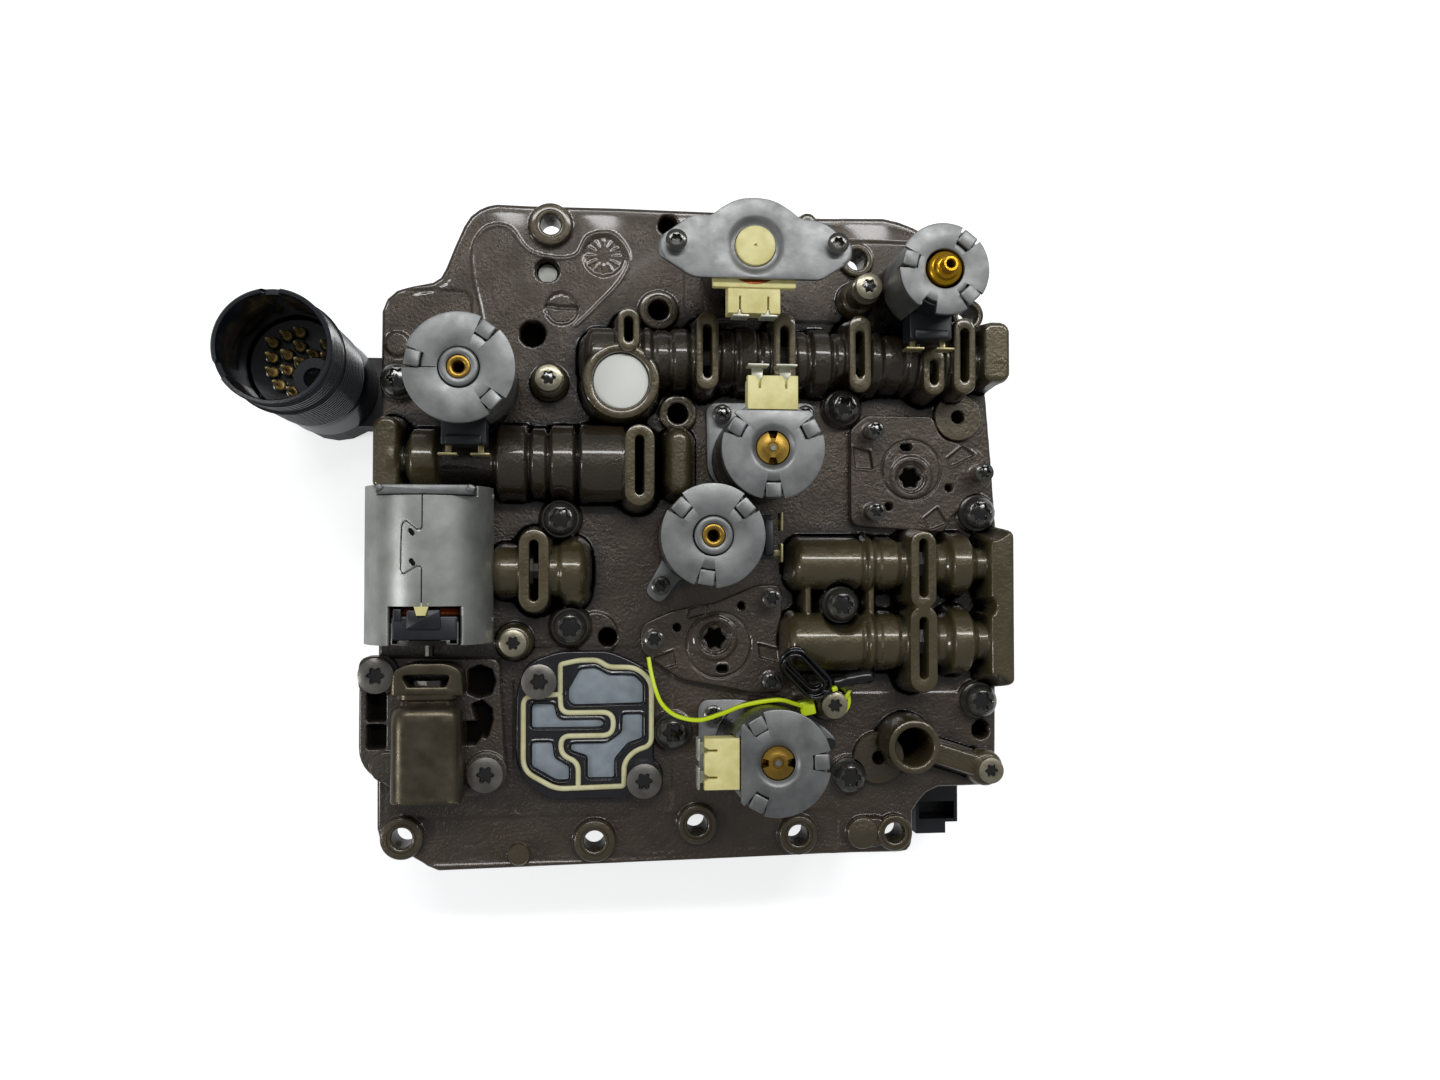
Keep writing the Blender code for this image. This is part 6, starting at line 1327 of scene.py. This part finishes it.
tongue = round_loop([(-99.4, 11.2), (-70.0, 11.2), (-70.0, 14.2), (-99.4, 14.2)], 0.8, 5)
legs.append(plate(tongue, 70.0, 81.0, 0.6))
for lug_x, turn_to in ((-98.4, 26.0), (-71.0, -26.0)):
    legs.append(placed(plate(box_loop(-1.3, 1.3, -1.1, 1.1, 0.9), 76.0, 81.8, 0.6), (lug_x, 13.0), turn_to))
for nub_y in (11.5, -27.3):
    for x1, x2 in ((-105.0, -103.4), (-66.8, -65.4)):
        legs.append(plate(box_loop(x1, x2, nub_y - 0.8, nub_y + 0.8, 0.3), 63.0, 65.0, 0.3))
shaped("solenoid_g_lugs", legs, STRIP_STEEL, "steel")
print("rolled can:", 2 * G_R, "mm across,", G_HIGH - G_LOW, "mm long")

# %% [markdown]
# ### The valve housing that it drives
# A dark die-cast flange with ribbed pockets carries a rounded canister, a neck and a slotted plate. The
# canister is a rounded section carried along Y and drawn in at its shoulder.


# %% Valve housing of the lying solenoid
def polar_match(loop, centre, angles):
    """The loop's points at given angles round a centre: its radius as a function of the angle, interpolated."""
    rel = np.asarray(loop) - centre
    a, r = np.arctan2(rel[:, 1], rel[:, 0]), np.hypot(rel[:, 0], rel[:, 1])
    order = np.argsort(a)
    a, r = a[order], r[order]
    radius = np.interp(angles, np.concatenate([a - 2 * np.pi, a, a + 2 * np.pi]), np.tile(r, 3))
    return np.asarray(centre) + np.column_stack([radius * np.cos(angles), radius * np.sin(angles)])


CAN_FLANGE = round_loop([
    (-108, -39), (-64, -40), (-62.5, -69), (-61, -80), (-70, -84.5), (-96, -82.5), (-108, -74)],
    [4, 3, 3, 5, 4, 4, 6], 6)
CAN_POCKETS = [
    [(-73.2, -44.2), (-70.5, -43.0), (-67.2, -44.2), (-66.2, -47.5), (-67.2, -50.8), (-70.5, -51.8), (-73.2, -50.6)],
    [(-72.0, -55.2), (-69.6, -54.4), (-67.2, -56.6), (-67.0, -60.0), (-68.4, -64.6), (-69.4, -63.8)],
    [(-74.2, -61.0), (-71.4, -61.0), (-70.4, -64.5), (-72.0, -66.8), (-74.2, -66.8)],
    [(-104.6, -51.5), (-100.4, -51.5), (-100.4, -59.0), (-104.6, -59.0)],
    [(-104.6, -61.6), (-100.4, -61.6), (-100.4, -67.6), (-104.6, -67.6)]]


def housing_plan(x, y):
    """Distance to the flange's outline."""
    return polygon_sd(x, y, CAN_FLANGE)


def flange_height(x, y):
    """Level flange at 57.1 with rounded rim, sunk pockets with round walls, and rings round the bolts."""
    h = land(housing_plan(x, y), 57.1, 0.8)
    for bx, by in ((-102.2, -45.0), (-68.1, -76.7)):
        h = joined(h, land(circle_sd(x, y, bx, by, 6.9), 57.8, 0.5), 0.5)
    h = joined(h, land(circle_sd(x, y, -99.4, -74.2, 4.9), 58.0, 0.4), 0.4)
    for pocket in CAN_POCKETS:
        h = sunk(h, polygon_sd(x, y, pocket) - 0.4, 53.2, steep=6.0)
    return h


fx, fy = np.arange(-108.4, -60.6, 0.35), np.arange(-85.0, -38.6, 0.35)
flange_mesh = relief("canister_flange", fx, fy, housing_plan, flange_height, 51.6)
# The flange's painted shade: black in its pockets under 55 mm, dark in its hollows
shade_by_height(flange_mesh, flange_height, fx, fy, 80.0, 90.0, 55.0)
DARK_CASTING = oily_casting("dark_die_cast_flange", flat="#3a3530", olive="#4a4438", oil_and_shade_black="#100e0d")
finished("canister_flange", flange_mesh, DARK_CASTING, ("canister_housing",), sharp=0)


def barrel_ring(y, half, top, corner, low=54.0):
    """A section of the canister at one y: half its width, its top, and the radius of its upper corners."""
    x, z = round_loop([
        (G_X - half, low), (G_X + half, low), (G_X + half, top), (G_X - half, top)], [0.5, 0.5, corner, corner], 9).T
    return np.column_stack([x, np.full(len(x), y), z])


# The canister's steel is browned and smoothed by baked oil
BROWN_STEEL = pressed_steel("oil_browned_steel", "#5f5849", 0.30, second="#4b4436")
BARREL = [
    (-83.5, 9.8, 71.9, 5.0), (-83.5, 10.7, 72.7, 5.5), (-83.0, 10.95, 72.9, 5.5), (-82.2, 10.9, 72.7, 5.5),
    (-60.0, 10.9, 72.7, 5.5), (-56.6, 10.75, 72.6, 5.5), (-55.0, 10.2, 72.1, 5.3), (-54.0, 9.3, 71.2, 4.8),
    (-53.6, 8.6, 70.3, 4.4), (-52.4, 8.4, 69.6, 4.2), (-51.6, 9.3, 70.6, 4.6), (-50.3, 9.4, 70.7, 4.6),
    (-50.0, 9.0, 70.2, 4.4)]
barrel = np.stack([barrel_ring(*ring) for ring in BARREL], 1)
shaped("canister_barrel", [barrel], BROWN_STEEL, "steel")
head_outer = round_loop([
    (-96.2, -50.6), (-74.2, -50.6), (-74.8, -42.6), (-79.0, -40.6), (-91.0, -40.6), (-95.4, -42.6)],
    [0.8, 0.8, 3.5, 6, 6, 3.5], 8)
centre = np.array((-85.3, -45.9))
angles = np.arctan2(*(head_outer - centre).T[::-1])
slot_loop = round_loop([(-92.6, -47.9), (-78.5, -47.9), (-78.5, -44.1), (-92.6, -44.1)], 1.2, 6)
head_inner = polar_match(densely(slot_loop), centre, angles)
head = rim_grid(head_outer, head_inner, 56.0, 69.8, 0.5, foot=62.0)
shaped("canister_head", [head], BROWN_STEEL, "steel", wrap_v=True)
CAP_SCREWS = [
    ((-102.2, -45.0), 57.0, 4.8), ((-68.1, -76.7), 57.0, 4.8), ((-51.4, -47.6), 54.4, 5.2),
    ((-17.6, -80.0), 54.4, 5.2)]
frame_bolts = [lobed_head(at, base, 5.6, high, 2.4, 2.8, 0.5) for at, base, high in CAP_SCREWS]
# Black plates paint the shade deep in the cover screws' sockets
frame_socket_shades = [socket_shade(at, base + high, 2.4, 1.1) for at, base, high in CAP_SCREWS]
shaped("painted_shade_in_cover_sockets", frame_socket_shades, SOCKET_SHADE_BLACK, "black_plastic")
# Phosphated steel under oil: a mid grey with soft lights
GREY_BOLT = moulded("oiled_grey_bolt_steel", "#7b7872", 0.30, metal=0.6, coat=0.6, second="#67645e")
shaped("flange_cap_screws", frame_bolts, GREY_BOLT, "steel", caps=False)
print("canister:", 2 * BARREL[3][1], "mm wide,", round(np.ptp(barrel[..., 1]), 1), "mm long")

# %% [markdown]
# ## The port plate and its seal
# Four shallow ports are closed off from each other by one moulded cream bead. The bead is a half-round
# section carried along its route; the pockets are grey-blue floors inside black, rounded lips.


# %% Section carried along a route in plan
def bead_grid(route, section, closed):
    """At each point of the route the section's first number goes sideways and its second number up."""
    route, section = np.asarray(route, float), np.asarray(section, float)
    if closed:
        tangent = np.roll(route, -1, 0) - np.roll(route, 1, 0)
    else:
        tangent = np.gradient(route, axis=0)
    tangent[:, 2] = 0
    tangent /= np.maximum(np.linalg.norm(tangent, axis=1, keepdims=True), 1e-9)
    side = np.stack([tangent[:, 1], -tangent[:, 0], 0 * tangent[:, 0]], 1)
    up = np.array([0.0, 0.0, 1.0])
    return route[:, None] + side[:, None] * section[None, :, :1] + up * section[None, :, 1:]


def tube_section(wide, high):
    """An oval of twelve points, for a bead."""
    return circle_loop(0.0, 0.0, 0.5, 12) * (wide, high)


PORT_PLATE = round_loop([
    (-59, -52), (-56, -42), (-45.5, -38), (-29, -38), (-23, -40.5), (-14.1, -45), (-14.1, -73.5), (-11.2, -76.5),
    (-11.2, -86.2), (-50, -86.2), (-59, -76)], [4, 4, 4, 4, 3, 4, 1, 2, 6, 6, 6], 6)
SEAL_LOOP = round_loop([
    (-44.7, -42.3), (-38.5, -41.0), (-32.5, -41.0), (-29.2, -43.3), (-20.0, -43.5), (-15.1, -48.0), (-15.1, -69.0),
    (-20.6, -70.6), (-24.0, -74.4), (-24.0, -82.0), (-46.0, -82.5), (-56.5, -76.5), (-56.5, -52.6), (-44.7, -52.0)],
    [1, 2, 2, 2, 4, 3, 3, 4, 3, 1, 3, 4, 3, 0.6], 7)
SEAL_BRANCH = round_loop([
    (-44.7, -52.0), (-44.4, -58.0), (-27.5, -58.0), (-27.5, -65.5), (-44.4, -65.5), (-44.4, -71.6), (-38.8, -74.0),
    (-38.8, -82.2)], [0.2, 3, 3.6, 3.6, 3, 3, 3, 0.2], 8)[5:-5]
PORT_POCKETS = [
    [(-42.2, -50.5), (-38.5, -43.8), (-33.2, -43.4), (-29.0, -45.8), (-20.6, -46.0), (-17.6, -49.0), (-17.6, -55.4),
        (-40.6, -55.8), (-42.2, -54.2)],
    [(-54.0, -55.0), (-46.6, -55.0), (-45.6, -59.4), (-44.0, -60.3), (-31.4, -60.3), (-30.0, -61.7), (-31.4, -63.1),
        (-54.0, -63.1)],
    [(-54.0, -67.4), (-47.0, -67.4), (-46.4, -72.6), (-41.6, -75.4), (-41.6, -80.1), (-46.0, -80.1), (-54.0, -75.4)],
    [(-41.4, -68.0), (-29.4, -68.0), (-24.8, -64.6), (-24.6, -58.6), (-17.8, -58.6), (-17.8, -66.9), (-22.6, -68.4),
        (-26.9, -73.4), (-26.9, -79.6), (-36.0, -79.6), (-36.0, -72.4), (-41.4, -70.6)]]
pocket_loops = [round_loop(p, 1.1, 5) for p in PORT_POCKETS]


def port_plan(x, y):
    """Distance to the plate's outline."""
    return polygon_sd(x, y, PORT_PLATE)


def port_height(x, y):
    """Flat plate with lips that stand 0.3 mm round each pocket, and the pockets sunk 1.9 mm."""
    h = land(port_plan(x, y), 54.6, 0.7)
    for loop in pocket_loops:
        sd = polygon_sd(x, y, loop)
        h = h + 0.30 * ridge(sd - 0.45, 0.55)
        h = sunk(h, sd, 52.7)
    return h


px, py = np.arange(-59.4, -10.8, 0.3), np.arange(-86.6, -37.4, 0.3)
plate_mesh = relief("port_plate_body", px, py, port_plan, port_height, 51.6)
# The same nylon as the module, wet with oil
GLOSS_BLACK = moulded("oiled_black_nylon", "#121216", 0.22, coat=0.6, second="#1a1a1f")
finished("port_plate_body", plate_mesh, GLOSS_BLACK, ("port_plate",), sharp=0)
floors = [plate(offset_loop(loop, -0.25), 52.4, 53.3, 0.15) for loop in pocket_loops]
shaped("port_pocket_floors", floors, POCKET_GREY, "black_plastic")
closed_bead = bead_grid(at_height(SEAL_LOOP, 55.45), tube_section(1.7, 1.3), True)
shaped("port_seal_bead", [closed_bead], CREAM_SEAL, "cream_rubber", ("port_seal",), sharp=0, wrap_v=True)
open_bead = bead_grid(at_height(SEAL_BRANCH, 55.45), tube_section(1.7, 1.28), False).transpose(1, 0, 2)
shaped("port_seal_branch", [open_bead], CREAM_SEAL, "cream_rubber", sharp=60)
print("ports:", len(pocket_loops), "pockets, one bead")

# %% [markdown]
# ## The accumulator covers
# Two flat cast covers, each with a circle cut in its face, a stepped seat with a dark six-lobe hole, an oval
# port and three framed pockets. They are reliefs again, on a finer grid than the body.

# %% Covers
COVERS = {
    "right": {"outline": [(51.5, 3.0, 4), (51.5, 35.5, 2), (57.0, 40.5, 2), (80.0, 40.5, 2), (83.0, 33.0, 3),
            (98.0, 29.0, 4), (101.0, 18.0, 3), (86.0, 6.0, 3), (84.0, 1.0, 2)],
        "screws": [(58.3, 34.6), (95.3, 20.8), (58.6, 7.7)],
        "ring": (72.6, 22.0, 10.1),
        "hub": (72.5, 19.6),
        "port": (70.8, 29.8),
        "pins": [(85.6, 16.2), (64.8, 9.7)],
        "pockets": [[(52.6, 29.6), (58.4, 28.2), (59.4, 22.2), (53.4, 22.6)],
            [(85.2, 26.2), (90.6, 30.4), (94.8, 27.4), (86.4, 23.4)],
            [(77.0, 5.8), (81.6, 9.4), (85.0, 4.2), (79.2, 2.0)]]},
    "left": {"outline": [(-18.6, -38.5, 3), (-18.6, -29.5, 3), (-8.0, -25.0, 2), (6.0, -22.5, 2), (20.0, -16.5, 2),
            (28.3, -16.5, 3), (28.3, -26.0, 2), (26.5, -35.0, 2), (29.0, -46.0, 2), (29.0, -52.5, 3),
            (18.0, -52.5, 3), (-6.0, -47.5, 3)],
        "screws": [(-14.4, -34.2), (24.1, -48.2), (24.1, -21.1)],
        "ring": (7.2, -36.5, 10.7),
        "hub": (6.0, -34.2),
        "port": (8.4, -44.3),
        "pins": [(14.8, -23.5), (-6.7, -30.6)],
        "pockets": [[(-14.2, -40.6), (-8.0, -38.2), (-6.8, -42.8), (-12.6, -44.6)],
            [(20.2, -36.2), (27.0, -38.0), (27.6, -42.6), (21.0, -40.8)],
            [(-2.6, -24.6), (3.6, -22.6), (2.6, -26.4), (-3.4, -27.8)]]}}


def cover_height(x, y, spec, loop):
    """Face at 54.4, a groove 0.5 mm deep round the ring, a seat in two steps, pockets with one raised wall."""
    h = land(polygon_sd(x, y, loop), 54.4, 0.6)
    rx, ry, rr = spec["ring"]
    h = sunk(h, np.abs(circle_sd(x, y, rx, ry, rr)) - 0.22, 53.8, steep=3.0)
    hx, hy = spec["hub"]
    h = h + 0.5 * within(circle_sd(x, y, hx, hy, 7.2), 0.9)
    h = sunk(h, circle_sd(x, y, hx, hy, 5.3), 54.0, steep=6.0)
    h = sunk(h, circle_sd(x, y, hx, hy, 4.5), 53.2, steep=8.0)
    h = sunk(h, np.hypot(x - hx, y - hy) - six_lobes(3.3, np.arctan2(y - hy, x - hx), 0.13), 51.9, steep=20.0)
    ox, oy = spec["port"]
    oval = capsule_sd(x, y, ox - 0.7, oy, ox + 0.7, oy, 0.0)
    h = sunk(h, oval - 1.15, 52.0, steep=12.0)
    h = h + 0.25 * ridge(oval - 1.7, 0.5)
    for cx, cy in spec["pins"]:
        h = sunk(h, circle_sd(x, y, cx, cy, 1.25), 52.0)
    for pocket in spec["pockets"]:
        sd = polygon_sd(x, y, pocket)
        h = np.where(sd < 0.3, h - 0.9 * within(sd, 0.5), h) + 0.3 * ridge(sd - 0.35, 0.4)
    for cx, cy in spec["screws"]:
        h = h + 0.3 * ridge(circle_sd(x, y, cx, cy, 2.7), 0.5)
    return h


# Each cover's painted shade: black in its holes under 53 mm, dark in its hollows
for side, spec in COVERS.items():
    loop = round_loop([c[:2] for c in spec["outline"]], [c[2] for c in spec["outline"]], 6)

    def cover_plan(x, y, loop=loop):
        """Distance to the cover's outline, less the pads and bolts that stand through it."""
        sd = polygon_sd(x, y, loop)
        for bx, by, r in FACE_PADS:
            sd = np.maximum(sd, -circle_sd(x, y, bx, by, r + 0.3))
        for bx, by, _ in BODY_BOLTS:
            sd = np.maximum(sd, -circle_sd(x, y, bx, by, 6.6))
        return sd

    low_corner, high_corner = loop.min(0) - 0.6, loop.max(0) + 0.6
    cx, cy = np.arange(low_corner[0], high_corner[0], 0.3), np.arange(low_corner[1], high_corner[1], 0.3)

    def cover_top(x, y, spec=spec, loop=loop):
        """The cover's height, with its own numbers."""
        return cover_height(x, y, spec, loop)

    name = "accumulator_cover_" + side
    mesh = relief(name + "_face", cx, cy, cover_plan, cover_top, 51.6)
    shade_by_height(mesh, cover_top, cx, cy, 80.0, 90.0, 53.0)
    finished(name + "_face", mesh, CASTING, (name,), sharp=0)

# %% [markdown]
# ## The harness connector
# A tall round shell of black nylon stands on the module's arm. Fine ridges ring it below the mouth, a rubber
# seal lies among them, and the mouth has two notches. Inside are a carrier, fourteen brass pins in dished
# sockets, and a hollow key post.

# %% Connector
C_AT = (-125.6, 52.0)
C_R = 16.8
RIDGE = ((-0.95, 0.95), (-0.9, 0.7), (0.0, 0.4), (0.0, -0.4), (-0.9, -0.7), (-0.95, -0.95))
ridges = [(C_R + out, z + up) for z in np.arange(47.6, 92.6, 2.4)[::-1] for out, up in RIDGE]
SHELL = [
    (15.2, 59.0), (15.2, 96.4), (15.5, 96.9), (16.4, 97.0), (C_R, 96.6), *ridges, (C_R - 0.6, 46.0),
    (C_R - 0.3, 38.0), (C_R, 22.2), (0.0, 22.2), (0.0, 59.0)]
shell_grid = turned(SHELL, C_AT, 144)
spin = np.degrees(np.arctan2(shell_grid[..., 1] - C_AT[1], shell_grid[..., 0] - C_AT[0]))
in_notch = (apart(spin, 92.0) < 8.0) | (apart(spin, 205.0) < 8.0)
shell_grid[..., 2] = np.where(in_notch, np.minimum(shell_grid[..., 2], 95.0), shell_grid[..., 2])
# Wet black nylon: the film of oil gives it sharper lights than the module's
CONNECTOR_PLASTIC = moulded("oiled_black_connector_nylon", "#0e1016", 0.24, coat=0.7, second="#151820")
shaped("connector_shell_body", [shell_grid], CONNECTOR_PLASTIC, "black_plastic", ("connector_shell",), wrap_v=True)
lips = [(C_R + out, z) for out, z in ((-0.6, 81.1), (0.25, 80.9), (0.6, 80.5), (0.25, 80.1), (0.6, 79.6),
                                      (0.25, 79.1), (-0.6, 78.9))]
shaped("connector_seal_lips", [turned(lips, C_AT, 144)], BLACK_RUBBER, "black_rubber", ("connector_seal_ring",),
       wrap_v=True)
PINS = [
    (-124.6, 61.9), (-128.6, 60.8), (-132.8, 58.5), (-124.5, 57.5), (-128.3, 54.8), (-132.8, 53.9), (-120.6, 54.9),
    (-116.6, 58.1), (-116.5, 54.1), (-124.4, 52.5), (-132.7, 49.4), (-128.2, 50.1), (-130.6, 45.4), (-126.6, 43.5)]
KEY_AT = (-118.5, 46.5)
insert = [
    turned([(0.0, 58.4), (14.8, 58.4), (14.8, 64.0), (14.3, 64.4), (0.0, 64.4)], C_AT, 96),
    turned([(2.9, 64.2), (6.6, 64.2), (6.6, 74.2), (6.2, 74.8), (3.3, 74.8), (2.9, 74.4)], KEY_AT, 64)]
DISH = [(1.6, 64.2), (2.1, 64.2), (2.1, 66.9), (2.0, 67.1), (1.7, 67.0), (1.6, 66.6)]
insert += [turned(DISH, at, 24) for at in PINS]
shaped("connector_carrier", insert, CONNECTOR_PLASTIC, "black_plastic", ("connector_insert",), wrap_v=True)
PIN = [
    (0.0, 64.0), (1.55, 64.0), (1.55, 66.9), (1.35, 67.2), (1.0, 66.7), (0.75, 66.9), (0.7, 73.6), (0.35, 75.0),
    (0.0, 75.3)]
pins = [turned(PIN, at, 24) for at in PINS]
# Tinned brass: pale gold, and duller than bare brass
PIN_BRASS = moulded("tin_brass_pins", "#e3cf96", 0.38, metal=0.45, second="#c9b273")
shaped("connector_pins", pins, PIN_BRASS, "brass", wrap_v=True)
print("connector:", len(PINS), "pins")

# %% [markdown]
# ## The cord, its sleeve and the tie
# A thin black lead is wound into a small hank beside the row and held at one end by a lime cable tie. It is
# one continuous cord: each turn is a stadium, and from turn to turn its radius or its height changes by
# more than a diameter, so that it never lies in itself. Its free end carries a fat sleeve.

# %% Cord route
CORD_DIAMETER = 1.3
STRAIGHT = 10.4
TURNS, PER_TURN = 5, 28
HANK_LEAN = math.radians(21.5)


def wound():
    """Points of five stadium turns. In a turn the length share runs round: half an end, a side, an end, a side
    and half an end; the radius and the height go from one stop to the next."""
    stops = np.array([(4.7, 0.0), (2.7, 0.0), (2.7, 1.9), (4.7, 1.9), (4.7, 3.8), (2.7, 3.8)])
    fan = np.radians([-2.0, -2.0, 0.0, 0.0, 2.0, 2.0])
    t = np.linspace(0, TURNS, TURNS * PER_TURN + 1)
    k = np.minimum(t.astype(int), TURNS - 1)
    f = t - k
    r, z = (stops[k] * (1 - f)[:, None] + stops[k + 1] * f[:, None]).T
    turn_to = math.radians(133.0) + fan[k] * (1 - f) + fan[k + 1] * f
    s = f * (2 * STRAIGHT + 2 * np.pi * r)
    q = np.pi * r / 2
    near, far = s / r, (s - q - STRAIGHT) / r
    back = (s - 3 * q - 2 * STRAIGHT) / r
    parts = [s < q, s < q + STRAIGHT, s < 3 * q + STRAIGHT, s < 3 * q + 2 * STRAIGHT]
    half = STRAIGHT / 2
    u = np.select(
        parts, [-half - r * np.cos(near), s - q - half, half + r * np.sin(far), half - (s - 3 * q - STRAIGHT)],
        -half - r * np.sin(back))
    v = np.select(parts, [r * np.sin(near), r, r * np.cos(far), -r], -r * np.cos(back))
    u = u + half + 4.7
    x = 40.4 + u * np.cos(turn_to) - v * np.sin(turn_to)
    along = 1.6 + u * np.sin(turn_to) + v * np.cos(turn_to)
    c, s = math.cos(HANK_LEAN), math.sin(HANK_LEAN)
    return np.column_stack([x, -52 + along * c - z * s, 63.2 + along * s + z * c])


coil_points = wound()
tail = smooth_line([
    coil_points[-2], coil_points[-1], (42.9, -50.6, 67.0), (44.0, -49.4, 65.4), (45.2, -48.6, 64.4),
    (47.4, -47.8, 64.2)], 8)[8:]
cord_points = np.vstack([coil_points, tail[1:]])
spans = np.linalg.norm(np.diff(cord_points, axis=0), axis=1)
print("cord:", round(spans.sum(), 1), "mm long")


def tube_along(points, radius, sides=10):
    """A circle carried along a line: its frame is turned as little as possible from each point to the next."""
    tangent = np.gradient(points, axis=0)
    tangent /= np.linalg.norm(tangent, axis=1, keepdims=True)
    side = np.cross(tangent, np.array([0.05, 0.03, 1.0]))
    side /= np.linalg.norm(side, axis=1, keepdims=True)
    other = np.cross(tangent, side)
    a = whole_turn(sides)[:, :, None]
    radius = np.broadcast_to(np.asarray(radius, float), len(points))[None, :, None]
    return points[None] + radius * (side[None] * np.cos(a) + other[None] * np.sin(a))


# Smooth black plastic: a thin bright line along each turn
CORD_JACKET = moulded("glossy_black_cord_jacket", "#0b0b0d", 0.2, coat=0.5)
hank = shaped(
    "cord_winding", [tube_along(cord_points, CORD_DIAMETER / 2)], CORD_JACKET, "black_rubber", ("cord_hank",),
    sharp=60)
sleeve_line = smooth_line([
    (43.2, -48.8, 63.6), (46.5, -48.0, 64.0), (50.0, -47.0, 64.4), (54.0, -46.4, 64.8), (57.0, -46.2, 65.2)], 8)
way = np.linspace(0, 1, len(sleeve_line))
rounding = np.maximum(np.maximum(0.08 - way, way - 0.86) / 0.14, 0)
sleeve_r = 2.2 * np.sqrt(np.clip(1 - rounding ** 2, 0.02, 1)) * (1 + 0.05 * np.sin(way * 19))
shaped("cord_end_cover", [tube_along(sleeve_line, sleeve_r, 20)], BLACK_RUBBER, "black_rubber", ("cord_end_sleeve",),
       sharp=60)

# %% Cable tie
TIE_ROUTE = smooth_line([
    (38.0, -56.3, 60.6), (35.2, -56.6, 61.5), (30.5, -54.8, 66), (24, -53, 70.5), (13.3, -54.4, 71.5),
    (6, -57.2, 70.5), (-1, -59.2, 69), (-7.8, -58, 66.5), (-12, -54.8, 63.5), (-14, -50.5, 61), (-15.4, -45, 59),
    (-16.2, -40, 57.5)], 8)
strap = bead_grid(TIE_ROUTE, box_loop(-0.65, 0.65, -1.2, 1.2, 0.4), False).transpose(1, 0, 2)
ring = bead_grid(at_height(circle_loop(44.7, -54.7, 5.1, 72), 58.8), box_loop(-0.6, 0.6, -1.2, 1.2, 0.3), True)
head = placed(plate(box_loop(-2.5, 2.5, -2.3, 2.3, 0.6), 58.2, 64.0, 0.4), (35.2, -56.6), 12.0)
bits = [
    placed(plate(box_loop(-0.9, 0.9, -0.7, 0.7, 0.2), 62.0, 68.6, 0.2), (43.2, -50.0), 20.0),
    placed(plate(box_loop(-0.6, 0.6, -1.8, 1.8, 0.2), 58.6, 61.2, 0.2), (49.0, -52.6), -30.0)]
shaped("tie_strap", [strap], LIME, "lime_plastic", ("cable_tie",), sharp=50)
shaped("tie_ring", [ring], LIME, "lime_plastic", sharp=50, wrap_v=True)
shaped("tie_head", [head] + bits, LIME, "lime_plastic")
print("tie:", round(np.linalg.norm(np.diff(TIE_ROUTE, axis=0), axis=1).sum(), 1), "mm of strap")

# %% [markdown]
# ## The layers below, and the moving parts
# The plastic module, the channel plate, the sheet between them and the spools keep the shapes of the frame.
# They get the finishes of the real ones.

# %% Finishes for the frame's own solids
finishes = {
    "channel_plate": CASTING,
    "separator_plate": SHEET_ZINC,
    "electronics_housing": BLACK_PLASTIC,
    "electronics_base_plate": BLACK_PLASTIC}
finishes.update({name: SPOOL_STEEL for name in NODES if "spool" in name or name.endswith("_armature")})
for name, paint in finishes.items():
    for slot in NODES[name].material_slots:
        slot.material = paint
print("re-finished nodes:", len(finishes))

# %% [markdown]
# ## Sizes and finish

# %% Sizes
low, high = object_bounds()
